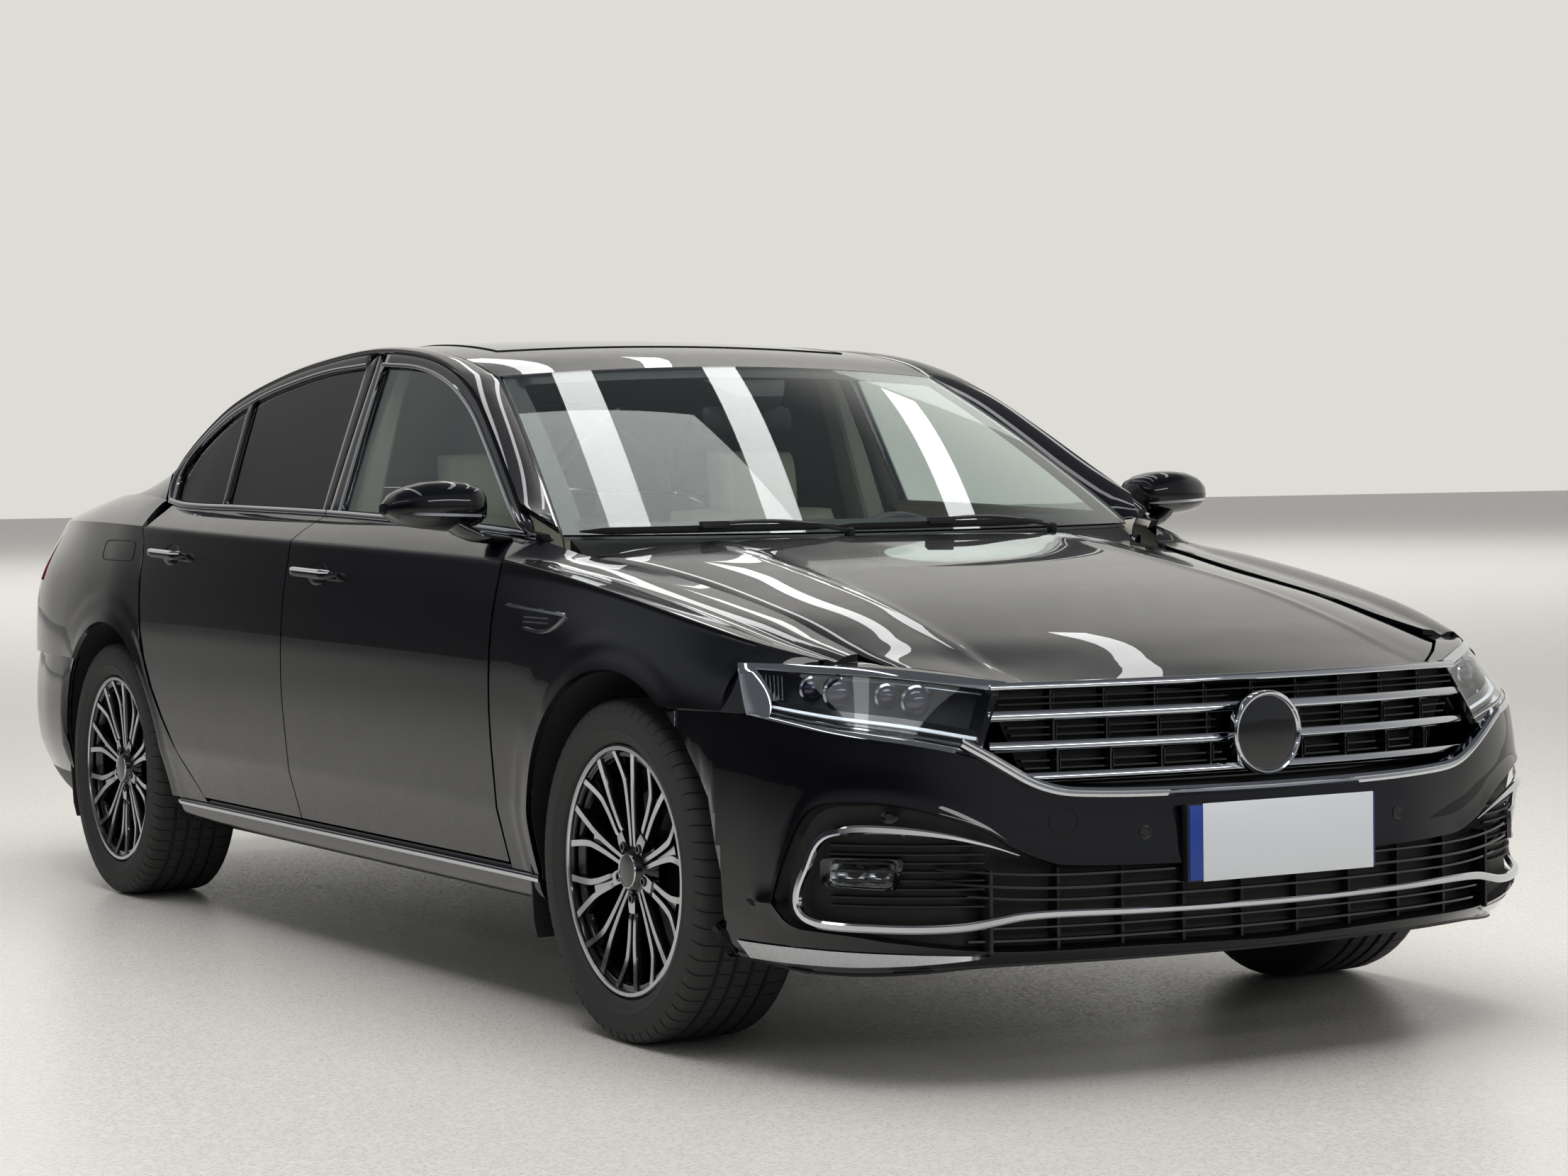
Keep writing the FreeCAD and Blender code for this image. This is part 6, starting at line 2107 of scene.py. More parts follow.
    def circle(self, x: float, h: float, radius: float, out: float, count: int) -> Line:
        """A round on the bumper's surface.

        Args:
            x: half width of its middle, negative on the right.
            h: height of its middle.
            radius: its radius.
            out: how far it stands off the surface.
            count: its points.

        Returns:
            The points.
        """
        return [self.wrap.by_x(x + radius * math.cos(a), h + radius * math.sin(a), out) for a in turns(count)]

    def fog_lamps(self) -> None:
        """Fog lamps: reflector, two lights, lens and bezel."""
        made = Mesher()
        corners = ((838, 424), (748, 424), (756, 372), (838, 376))

        def ring(grow: float, out: float) -> Line:
            """Rounded outline of the lamp, grown from its middle.

            Args:
                grow: scale of the outline.
                out: how far it stands off the surface.

            Returns:
                The ring's points.
            """
            mid_x = sum(x for x, _ in corners) / 4
            mid_h = sum(h for _, h in corners) / 4
            path = [Vector((mid_x + (x - mid_x) * grow, mid_h + (h - mid_h) * grow, 0)) for x, h in corners]
            soft = []
            for i, p in enumerate(path):
                before, after = path[i - 1], path[(i + 1) % 4]
                soft += [p.lerp(before, 0.16), p.lerp(before, 0.05).lerp(after, 0.03), p.lerp(after, 0.16),
                         p.lerp(after, 0.5)]
            return [self.wrap.by_x(q.x, q.y, out) for q in soft]

        made.grid([ring(1.2, -14), ring(1.14, -6), ring(1.04, -8), ring(0.98, -13)], Stock.GLOSS, around=True)
        made.grid([ring(0.98, -13), ring(0.8, -26), ring(0.3, -30)], Stock.PRISM, around=True)
        made.fan(ring(0.3, -30), Stock.PRISM)
        for x in (776, 812):
            cup = []
            for r, out in ((19, -18), (16, -24), (8, -28), (2, -29)):
                cup.append(self.circle(x, 399, r, out, 16))
            made.grid(cup, Stock.SILVER, around=True)
        made.grid([ring(0.985, -12.5), ring(0.6, -10), ring(0.2, -9.5)], Stock.CLEAR, around=True)
        made.fan(ring(0.2, -9.5), Stock.CLEAR)
        dress(made.mirror().build("fog_lamps"), "body", "lamp_lens")

    def sensors(self) -> None:
        """Parking sensors, radar ring and tow cover's outline."""
        made = Mesher()
        for x, h, r in ((755, 506, 11), (302, 463, 11), (-302, 463, 11), (-755, 506, 11)):
            rings = [self.circle(x, h, r * s, out, 24)
                     for s, out in ((1.15, 0), (1.15, 1.2), (1.0, 1.4), (0.96, 0.8), (0.5, 1.1))]
            made.grid(rings, Stock.GLOSS, around=True)
            made.fan(rings[-1], Stock.PLASTIC)
        ring = self.circle(-464, 491, 27, 0.6, 40)
        made.sweep(ring, Vector((-0.45, -0.9, 0)), bar_section(0.0008, -0.0004, 0.0008, 0.0008),
                   Stock.SEAL, closed=True)
        dress(made.build("parking_sensors"), "body", "black_plastic")

    def plate(self) -> None:
        """Blank number plate with a coloured margin, in its holder."""
        made = Mesher()
        made.block(point(-224, -2543, 366), point(224, -2526, 512), Stock.PLASTIC)
        made.block(point(-220, -2545.5, 369), point(220, -2542, 509), Stock.BLUE)
        made.block(point(-190, -2547, 366), point(216, -2545, 512), Stock.PLATE)
        dress(made.build("front_plate", bevel=0.0012), "body", "black_plastic")

    def build(self) -> None:
        """Makes the front bumper."""
        self.skin()
        self.recessed()
        self.intake()
        self.bright()
        self.fog_lamps()
        self.sensors()
        self.plate()


@dataclass
class Grille:
    """Upper grille: four bright bars and a sweep, fins with bright ticks behind, and a plain emblem disc."""
    # Each bar: station in the middle, lower and upper edge, half width, station at its ends.
    bars: tuple[Row, ...] = ((-2446, 728, 744, 556, -2386), (-2456, 672, 692, 566, -2392),
                             (-2466, 615, 635, 566, -2396), (-2480, 560, 578, 548, -2420))
    disc: tuple[float, float, float] = (633.0, 80.5, -2500.0)

    @staticmethod
    def bowed(half: float, mid: float, end: float, x: float) -> float:
        """Station of a bar's face at x."""
        return mid + (end - mid) * abs(x / half) ** 2.2

    @staticmethod
    def half_width(h: float) -> float:
        """Half width of the opening at a height."""
        return 470 + (h - 528) * 0.42

    def bright(self) -> None:
        """The bright bars and the sweep below them."""
        made = Mesher()
        for mid, low, high, half, end in self.bars:
            h = (low + high) / 2
            path = [point(x, self.bowed(half, mid, end, x), h) for x in between(-half, half, 60)]
            t = (high - low) / 2 * MM
            made.sweep(path, Vector((0, -1, 0)), [(-t, -0.012), (t, -0.012), (t, -0.0015), (t * 0.86, 0.001),
                                                  (t * 0.34, 0.0042), (t * 0.2, 0.0044), (-t * 0.86, 0.0014),
                                                  (-t, 0.0)], Stock.CHROME)
        sweep = [(642, -2421, 636), (600, -2440, 610), (563, -2454, 586), (530, -2464, 566),
                 (499, -2474, 552), (460, -2484, 542), (400, -2495, 537), (300, -2508, 533),
                 (171, -2518, 531), (0, -2524, 530)]
        left = [point(x, y - 2, h + 5) for x, y, h in sweep]
        path = spline(left + [Vector((-p.x, p.y, p.z)) for p in left[-2::-1]], 150)
        made.sweep(path, Vector((0, -1, 0.1)), [(-0.009, -0.014), (0.009, -0.014), (0.0088, 0.001),
                                                (0.003, 0.006), (0.0005, 0.003), (-0.004, 0.004),
                                                (-0.0088, 0.001)], Stock.CHROME)
        dress(made.build("grille_bright_bars"), "body", "bright_trim", "grilles")

    def back(self) -> None:
        """Dark panel, horizontal slats and upright fins behind the bars."""
        made = Mesher()
        rows = []
        for h in (528, 560, 620, 680, 740):
            half = self.half_width(h)
            rows.append([point(x, self.bowed(half, -2424, -2368, x) - (740 - h) * 0.1, h)
                         for x in between(-half, half, 40)])
        made.skin(rows, 0.004, Stock.DARK)
        for h in (552, 584, 598, 646, 660, 704, 716):
            half = self.half_width(h)
            path = [point(x, self.bowed(half, -2446, -2386, x) - (740 - h) * 0.1, h)
                    for x in between(-half, half, 40)]
            made.sweep(path, Vector((0, -1, 0)), bar_section(0.0022, -0.016, 0.0016, 0.004), Stock.GLOSS)
        dress(made.build("grille_dark_slats"), "body", "black_plastic")
        first, step = -440, 110
        for row, (low, high, mid) in enumerate(((582, 612, -2470), (638, 668, -2458), (695, 722, -2448))):
            tick = Mesher()
            for x in (first - 3.4, first + 3.4):
                tick.block(point(x - 0.8, mid - 1, low), point(x + 0.8, mid + 14, high), Stock.SILVER)
            tick.block(point(first - 2, mid + 2, low - 6), point(first + 2, mid + 34, high + 6), Stock.GLOSS)
            piece = tick.build(f"grille_ticks_{row + 1}")
            ROW.apply(piece, 9, point(step, 0, 0), Vector(), Stock.GLOSS, Stock.SILVER)
            for vertex in piece.data.vertices:
                vertex.co.y += 0.056 * abs(vertex.co.x / 0.56) ** 2.2
            dress(piece, "body", "bright_trim")

    def emblem(self) -> None:
        """Plain disc with a bright ring."""
        made = Mesher()
        h0, r0, y0 = self.disc
        profile = ((0.80, 26), (0.99, 20), (1.0, 2), (0.985, -2), (0.95, -4), (0.91, -3), (0.885, 1),
                   (0.87, 2))
        rings = facing_rings(y0, h0, r0, profile, 72)
        made.grid(rings, Stock.CHROME, around=True)
        face = facing_rings(y0, h0, r0, ((0.87, 2), (0.6, -1), (0.3, -2.4), (0.08, -2.8)), 72)
        made.grid(face, Stock.GLOSS, around=True)
        made.fan(face[-1], Stock.GLOSS)
        made.fan(rings[0], Stock.GLOSS)
        dress(made.build("emblem_disc"), "body", "bright_trim")

    def build(self) -> None:
        """Makes the grille."""
        self.bright()
        self.back()
        self.emblem()


@dataclass
class Headlamps:
    """Headlamps: dark housing, lights, comb, light guides, bright upper and outer edges and clear lens."""
    top: tuple[Row, ...] = ((530, -2386, 744), (690, -2262, 768), (800, -2120, 775), (868, -2000, 777))
    low: tuple[Row, ...] = ((596, -2412, 616), (716, -2352, 642), (822, -2240, 662), (897, -2080, 689))

    def __post_init__(self) -> None:
        """Prepares the lamp's edges."""
        self.upper = spline([point(*p) for p in self.top], 40)
        self.lower = spline([point(*p) for p in self.low], 40)
        self.out = []
        for a, b in zip(self.upper, self.lower):
            mid = (a.x + b.x) / 2 / MM
            angle = turned_out(mid)
            self.out.append(Vector((math.sin(angle), -math.cos(angle), 0)))

    def at(self, s: float, t: float, out: float = 0.0) -> Vector:
        """Point of the lamp's face: s from the inner end outwards, t from the lower edge up.

        Args:
            s: share from 0 to 1.
            t: share from 0 to 1.
            out: how far it stands off the surface.

        Returns:
            The point, in metres.
        """
        f = s * (len(self.upper) - 1)
        i = min(int(f), len(self.upper) - 2)
        k = f - i
        a, b = self.lower[i].lerp(self.lower[i + 1], k), self.upper[i].lerp(self.upper[i + 1], k)
        outward = self.out[i].lerp(self.out[i + 1], k)
        return a.lerp(b, t) + outward * (out + 1.75 * bow(t)) * MM

    def sheet(self, s0: float, s1: float, t0: float, t1: float, out: float, rows: int = 6,
              columns: int = 36) -> list[Line]:
        """Part of the lamp's face as rows of points.

        Args:
            s0: inner end.
            s1: outer end.
            t0: lower edge.
            t1: upper edge.
            out: how far it stands off the face.
            rows: rows of points.
            columns: points of a row.

        Returns:
            The rows, upwards.
        """
        return [[self.at(s, t, out) for s in between(s0, s1, columns)] for t in between(t0, t1, rows)]

    def rim(self, inset: float, out: float) -> Line:
        """Ring round the lamp's face.

        Args:
            inset: share by which it lies inside the edge.
            out: how far it stands off the face.

        Returns:
            The ring's points.
        """
        along, up = shares(36), shares(8)[1:-1]
        return ([self.at(s, inset, out) for s in along] + [self.at(1 - inset * 0.5, t, out) for t in up]
                + [self.at(s, 1 - inset, out) for s in along[::-1]]
                + [self.at(inset * 0.5, t, out) for t in up[::-1]])

    def housing(self) -> None:
        """Housing with its stepped inside."""
        made = Mesher()
        rims = [self.rim(inset, out) for inset, out in ((0.0, -14), (0.0, -1), (0.05, -4), (0.08, -20),
                                                        (0.14, -48))]
        made.grid(rims, Stock.GLOSS, around=True)
        made.skin(self.sheet(0.0, 1, 0.1, 0.9, -50, 7), 0.003, Stock.DARK)
        step = self.sheet(0.02, 0.96, 0.1, 0.3, -16, 3)
        made.skin(step, 0.01, Stock.GLOSS)
        dress(made.mirror().build("headlamp_housings"), "body", "black_plastic", "headlamps")

    @staticmethod
    def light_ring(mid: Vector, radius: float, depth: float) -> Line:
        """Ring of a round light.

        Args:
            mid: the light's middle.
            radius: the ring's radius.
            depth: how far it lies ahead of the middle.

        Returns:
            The ring's points.
        """
        up = Vector((0, 0, 1))
        ahead = Vector((0.25, -0.97, 0)).normalized()
        side = ahead.cross(up).normalized()
        return [mid + (side * math.cos(a) * radius + up * math.sin(a) * radius + ahead * depth) * MM
                for a in turns(28)]

    def lights(self) -> None:
        """Round lights in dark bezels, and the comb at the outer end."""
        made = Mesher()
        for s, t, r in ((0.30, 0.56, 26), (0.42, 0.58, 20), (0.62, 0.56, 27), (0.74, 0.58, 20)):
            mid = self.at(s, t, -30)
            bezel = ((r + 5, -8), (r + 5, 4), (r + 1, 7), (r, 3), (r, -4))
            glass = ((r, -4), (r * 0.9, 3), (r * 0.66, 9), (r * 0.3, 12.5), (r * 0.05, 13))
            made.grid([self.light_ring(mid, *row) for row in bezel], Stock.SILVER, around=True)
            made.grid([self.light_ring(mid, *row) for row in glass], Stock.LENS, around=True)
            made.fan(self.light_ring(mid, *glass[-1]), Stock.LENS)
        for k in range(7):
            s = 0.84 + 0.018 * k
            fin = [self.at(s + ds, t, -12) for ds, t in ((0, 0.34), (0, 0.78), (0.004, 0.78), (0.004, 0.34))]
            made.loft([fin, [p + Vector((-0.01, 0.024, 0)) for p in fin]], Stock.SILVER)
        guide = self.sheet(0.02, 0.97, 0.17, 0.215, -11, 2)
        made.skin(guide, 0.004, Stock.AMBER)
        upper = self.sheet(0.06, 0.8, 0.79, 0.815, -12, 2)
        made.skin(upper, 0.004, Stock.SILVER)
        dress(made.mirror().build("headlamp_lights"), "body", "lamp_lens")

    def lens(self) -> None:
        """Clear lens over the lamp."""
        made = Mesher()
        made.skin(self.sheet(0.0, 1, 0.03, 0.93, 0.5, 9), 0.0025, Stock.CLEAR)
        dress(made.mirror().build("headlamp_lenses"), "body", "lamp_lens")

    def bright(self) -> None:
        """Bright edges: wide band on top, pointed blade at the outer end and thin strip below."""
        made = Mesher()
        band = [[self.at(s, t, out) for s in shares(44)]
                for t, out in ((0.88, 0.5), (0.895, 3.0), (0.96, 5.5), (1.02, 4.0))]
        made.skin(band, 0.004, Stock.CHROME)
        blade = []
        for t in shares(14):
            wide = 0.13 * (0.35 + 0.65 * math.sin(math.pi * min(1, 0.25 + t * 0.75)))
            blade.append([self.at(s, t - 0.02, out)
                          for s, out in ((1 - wide, 1), (1 - wide * 0.9, 4), (1 - wide * 0.1, 5), (1, 2))])
        made.skin(blade, -0.004, Stock.CHROME)
        low = [[self.at(s, t, out) for s in shares(44)]
               for t, out in ((-0.05, 1.5), (-0.04, 5), (0.015, 5), (0.03, 2))]
        made.skin(low, 0.004, Stock.CHROME)
        second = [[self.at(0.97 * s, t, out) for s in shares(40)]
                  for t, out in ((0.075, -3), (0.08, 0.6), (0.10, 0.6), (0.105, -3))]
        made.skin(second, 0.003, Stock.CHROME)
        dress(made.mirror().build("headlamp_bright_edges"), "body", "bright_trim")

    def build(self) -> None:
        """Makes both headlamps."""
        self.housing()
        self.lights()
        self.bright()
        self.lens()


@dataclass
class Wheel:
    """A wheel: tyre with moulded rings and tread, and a rim with ten forked spokes of two bars each."""
    name: str
    centre: tuple[float, float]
    side: Side
    spokes: int = 5
    sipes: int = 64

    @property
    def body(self) -> str:
        """The wheel's body."""
        return f"wheel_{self.name}"

    def on_hub(self, p: Vector) -> Vector:
        """Moves a point that is drawn round the origin, +X outboard, to the wheel's hub."""
        return Vector((p.x * self.side.value, p.y, p.z)) + point(*self.centre, WHEEL_RADIUS)

    def place(self, made: Mesher) -> Mesher:
        """Sets a piece that is drawn round the origin on its hub."""
        made.points = [self.on_hub(p) for p in made.points]
        return made

    def tyre(self) -> None:
        """Tyre: turned section with sidewall rings and grooves, and shoulder blocks between sipes."""
        tread = [(-116.5, 324), (-112, 333), (-104, 338.8), (-95, 342)]
        crown = []
        grooves = (-58, -20, 20, 58)
        for g in grooves:
            crown += [(g - 6.5, 342.9), (g - 5, 342.7), (g - 4, 336), (g + 4, 336), (g + 5, 342.7),
                      (g + 6.5, 342.9)]
        side_wall = [(95, 342), (104, 338.8), (112, 333), (116.5, 324.5), (118, 322), (119.5, 320.5),
                     (119.8, 317), (121.2, 312), (122, 304), (122.4, 296), (122.2, 288), (123.2, 286.5),
                     (123.2, 283.5), (121.8, 282), (120, 276), (118.2, 273.5), (117.8, 270), (114.6, 265),
                     (113.4, 263.2), (111, 260.5), (105, 257.5), (99, 256.6), (95.5, 250), (95.5, 233.5)]
        back_wall = [(-95.5, 233.5), (-95.5, 250), (-99, 256.6), (-108, 259), (-116, 270), (-121.5, 288),
                     (-122.4, 300), (-119.6, 318)]
        made = Mesher()
        made.revolve(back_wall + tread + crown + side_wall, 96, Stock.RUBBER)
        self.place(made)
        piece = made.build(f"tyre_{self.name}_carcass", sharp=30)
        dress(piece, self.body, "tyre_rubber", f"tyre_{self.name}")
        block = Mesher()
        shoulder_rows = ((65, 344.6, 15.2, 0), (95, 343.6, 15.2, 2), (108, 340, 15, 4),
                         (114.5, 333.5, 14.6, 6), (118, 325, 14, 7))
        for sign in (1, -1):
            block.loft([[point(x * sign, dy + shift, r + dz) for dy, dz in bar_section(wide, -6, wide, 0.4)]
                        for x, r, wide, shift in shoulder_rows], Stock.RUBBER)
        for x in (-39, 0, 39):
            block.loft([[point(x + dx, dy + dx * 0.18, 344.8 + dz)
                         for dy, dz in bar_section(15.5, -6, 15.5, 0)]
                        for dx in (-13, 13)], Stock.RUBBER)
        piece = block.build(f"tyre_{self.name}_blocks")
        RING.apply(piece, self.sipes, Vector((math.tau / self.sipes, 0, 0)), Vector(), Stock.RUBBER,
                   Stock.RUBBER)
        self._settle_place(piece)
        crisp(piece, 30)
        dress(piece, self.body, "tyre_rubber")

    def _settle_place(self, piece: bpy.types.Object) -> None:
        """Sets a finished mesh, drawn round the origin, on its hub.

        Args:
            piece: the object.
        """
        for vertex in piece.data.vertices:
            vertex.co = self.on_hub(vertex.co)
        if self.side is Side.RIGHT:
            piece.data.flip_normals()

    @staticmethod
    def rings(profile: Sequence[Row]) -> list[Line]:
        """Rings of 60 points about the axle, one for each (x, radius)."""
        return [[point(x, r * math.cos(a), r * math.sin(a)) for a in turns(60)] for x, r in profile]

    def rim(self) -> None:
        """Barrel, outer lip, hub and cap."""
        made = Mesher()
        profile = ((-104.4, 224), (-104.4, 248), (-96.4, 248.6), (-96.4, 230), (-60, 226), (96.4, 230),
                   (96.4, 252.6), (103, 254.4), (107.2, 250.5), (107.2, 243.5), (104, 241.6), (99, 240.6),
                   (92, 232), (80, 224.6), (60, 222), (-60, 219))
        made.revolve(profile, 96, Stock.POCKET)
        lip = ((103.2, 254.2), (107.4, 250.6), (107.5, 243.2), (104.4, 241.4), (103.6, 242.4), (105.6, 244.4),
               (105.6, 250), (102.6, 253))
        made.revolve(lip, 96, Stock.TURNED)
        hub = ((40, 30.6), (40, 79), (66, 78), (78, 64), (84, 44), (90, 40), (93.5, 37), (94, 33), (90, 31),
               (66, 30.4))
        made.revolve(hub, 60, Stock.POCKET)
        made.grid(self.rings(((88, 36.4), (95.4, 36.2), (97.4, 35), (97.6, 33.6), (96.4, 32.6))),
                  Stock.CHROME, around=True)
        face = self.rings(((96.4, 32.6), (97.4, 22), (98, 10), (98.1, 2)))
        made.grid(face, Stock.GLOSS, around=True)
        made.fan(face[-1], Stock.GLOSS)
        self.place(made)
        dress(made.build(f"rim_{self.name}_barrel", sharp=30), self.body, "alloy", f"rim_{self.name}")

    @staticmethod
    def bar(made: Mesher, line: Sequence[tuple[float, float, float, float]], deep: float) -> None:
        """One machined bar with its gloss sides.

        Args:
            made: takes the faces.
            line: (radius, sideways place, face height, half width) in millimetres, from the hub outwards.
            deep: depth of the bar's sides.
        """
        made.loft([[point(x - down, off + side * (half + out), r) for side, down, out in (
            (1, 0, 0), (-1, 0, 0), (-1, 2.2, 1.2), (-1, deep, 3), (1, deep, 3), (1, 2.2, 1.2))]
                   for r, off, x, half in line], Stock.POCKET)

    def arm(self, near: float, kink: float, reach: float, start: float,
            sign: int) -> list[tuple[float, float, float, float]]:
        """Line of one arm of a forked spoke.

        Args:
            near: sideways place at the hub.
            kink: sideways place where the arm turns.
            reach: sideways place near the rim.
            start: radius of the inner end.
            sign: 1 or -1 for the arm's side.

        Returns:
            Radius, sideways place, face height and half width along the arm.
        """
        end = 240.5
        out = []
        rows = ((start, near, 82.0, 3.6), (90, near + 1.0, 85.0, 4.6), (140, kink - 4.0, 88.0, 5.6),
                (174, kink, 90.0, 6.2), (182, kink + 2.0, 90.5, 6.6),
                (210, kink + (reach - kink) * 0.55, 96.0, 6.8), (232, reach, 101.0, 7.2),
                (end, reach + 4, 102.5, 7.4))
        for r in between(start, end, 16):
            off, x, half = read(rows, r)
            out.append((r, off * sign, x, half))
        return out

    @staticmethod
    def slab(part: Mesher, rows: Sequence[Row], spread: float) -> None:
        """Adds a web or lug between two arms.

        Args:
            part: takes the faces.
            rows: (radius, half width, face height) from the hub outwards.
            spread: how much wider the back is.
        """
        part.loft([[point(x, half, r), point(x, -half, r), point(x - 14, -half - spread, r),
                    point(x - 14, half + spread, r)] for r, half, x in rows], Stock.POCKET)

    def spokes_piece(self) -> None:
        """The forked spokes, five long and five from stepped lugs in turn, repeated round the axle."""
        made = Mesher()
        for turn, near, kink, reach, start in ((0.0, 7.5, 15.5, 38.0, 40.0), (36.0, 9.0, 15.5, 38.0, 84.0)):
            part = Mesher()
            for sign in (1, -1):
                self.bar(part, self.arm(near, kink, reach, start, sign), 20)
            self.slab(part, ((56, 11, 70), (100, 13, 74), (150, 15, 78), (182, 17, 80)), 0)
            if turn:
                self.slab(part, ((50, 14, 86), (70, 14, 87), (86, 12, 86), (92, 10, 80)), 2)
            made.add(part.moved(Matrix.Rotation(math.radians(turn), 4, "X")))
        piece = made.build(f"rim_{self.name}_spokes")
        RING.apply(piece, self.spokes, Vector((math.tau / self.spokes, 0, 0)), Vector(), Stock.POCKET,
                   Stock.TURNED)
        self._settle_place(piece)
        crisp(piece, 30)
        dress(piece, self.body, "alloy")

    def brake(self) -> None:
        """Brake disc with its bell, and wheel bolts."""
        made = Mesher()
        disc = ((-12, 76), (-12, 164), (-10, 165), (12, 165), (14, 164), (14, 78), (20, 76), (54, 74),
                (56, 60), (52, 31), (30, 31), (-12, 60))
        made.revolve(disc, 72, Stock.DISC)
        for turn in turns(5):
            a = turn + math.pi / 5
            bolt = [[point(x, 56 * math.sin(a) + r * math.cos(b), 56 * math.cos(a) + r * math.sin(b))
                     for b in turns(12)]
                    for x, r in ((64, 11), (86, 11), (90, 9.5), (90, 6), (84, 5.5))]
            made.grid(bolt, Stock.POCKET, around=True)
            made.fan(bolt[-1], Stock.DARK)
        self.place(made)
        dress(made.build(f"rim_{self.name}_brake_disc", sharp=30), self.body, "steel")

    def build(self) -> None:
        """Makes the wheel."""
        self.tyre()
        self.rim()
        self.spokes_piece()
        self.brake()


@dataclass
class RearEnd:
    """Rear bumper with its exhaust trims, and the tail lamps round the corners."""
    columns: int = 90
    lamp: tuple[float, float, float] = (848.0, 992.0, 2150.0)

    def __post_init__(self) -> None:
        """Prepares the wrap."""
        self.wrap = Wrap(REAR_PLAN, 1, profile=REAR_PROFILE)

    def bumper(self) -> None:
        """Rear bumper skin, with a lower apron and bright strip."""
        made = Mesher()
        us = [t ** 0.95 for t in shares(self.columns)]
        sheet = []
        for u in us:
            p, _ = self.wrap.station(u)
            column = []
            for t in (0, 0.02, 0.06, 0.12, 0.2, 0.3, 0.4, 0.5, 0.62, 0.74, 0.86, 0.94, 0.985, 1):
                h = 218 + (p.z - 218) * t
                q = self.wrap.at(u, h, 2.0 * ridge(h - 380, 16))
                dy, dz = q.y / MM - REAR_AXLE, h - WHEEL_RADIUS
                edge = math.sqrt(max(0.0, ARCH_RADIUS ** 2 - dz ** 2)) if abs(dz) < ARCH_RADIUS else 0.0
                if dy < edge:
                    q = point(half_at(REAR_AXLE + edge, max(h, 300)) - 2, REAR_AXLE + edge, h)
                column.append(q)
            sheet.append(column)
        inner = [[q - self.wrap.station(u)[1] * 0.014 for q in column] for u, column in zip(us, sheet)]
        made.shell(sheet, inner, Stock.PAINT)
        made.refinish(lambda mid, finish: Stock.PLASTIC if mid.z < 0.296 else finish)
        dress(made.mirror().build("rear_bumper_skin"), "body", "black_paint", "rear_bumper")
        lights = Mesher()
        strip = [[self.wrap.by_x(x, h, out) for x in between(690, 820, 14)]
                 for h, out in ((336, 0.5), (336, 4), (352, 4), (352, 0.5))]
        lights.skin(strip, 0.002, Stock.RED)
        dress(lights.mirror().build("rear_reflectors"), "body", "red_lens")
        trims = Mesher()
        path = [self.wrap.by_x(x, 300, 2) for x in between(-800, 800, 80)]
        trims.sweep(path, Vector((0, 1, 0)), bar_section(0.006, -0.004, 0.005, 0.003), Stock.CHROME)
        for side in (1, -1):
            pipe = [[self.wrap.by_x(side * (560 + 110 * s * squared(math.cos(a), 0.45)),
                                    262 + 27 * s * squared(math.sin(a), 0.6), out) for a in turns(40)]
                    for s, out in ((1.0, -8), (1.0, 7), (0.93, 9), (0.86, 5), (0.84, -22))]
            bottom = [p + Vector((0, -0.004, 0)) for p in pipe[-1]]
            trims.grid(pipe, Stock.CHROME, around=True)
            trims.grid([pipe[-1], bottom], Stock.DARK, around=True)
            trims.fan(bottom, Stock.DARK)
        dress(trims.build("rear_bumper_trims"), "body", "bright_trim")

    def lamps(self) -> None:
        """Tail lamps: red lens with a clear band over dark insides."""
        low, high, front = self.lamp
        panels = SidePanels()
        corner = panels.corner[1]
        slope = 30
        lens, inside = [], []
        for t in shares(9):
            h = low + (high - low) * t
            lens_row, inner_row = [], []
            for y in between(front, corner, 12):
                back = 26 * (1 - t) * max(0.0, 1 - (y - front) / slope)
                x = half_at(y, h)
                lens_row.append(point(x - 0.5, y + back, h))
                inner_row.append(point(x - 50, y, h))
            for turn, q in zip(panels.corner_turns, panels.corner_row(half_at(corner, h), h)):
                a = math.radians(turn)
                lens_row.append(q)
                inner_row.append(q - Vector((math.cos(a), math.sin(a), 0)) * 0.05)
            lens.append(lens_row)
            inside.append(inner_row)
        made = Mesher()
        made.shell(lens, inside, Stock.RED)
        for k, (face, _) in enumerate(made.faces):
            mid = sum((made.points[i] for i in face), Vector()) / len(face)
            if abs(mid.z - 0.9) < 0.010 and k < 8 * len(lens[0]):
                made.faces[k] = (face, Stock.SILVER)
        dress(made.mirror().build("tail_lamp_lenses"), "body", "red_lens", "tail_lamps")

    def build(self) -> None:
        """Makes the rear end."""
        self.bumper()
        self.lamps()


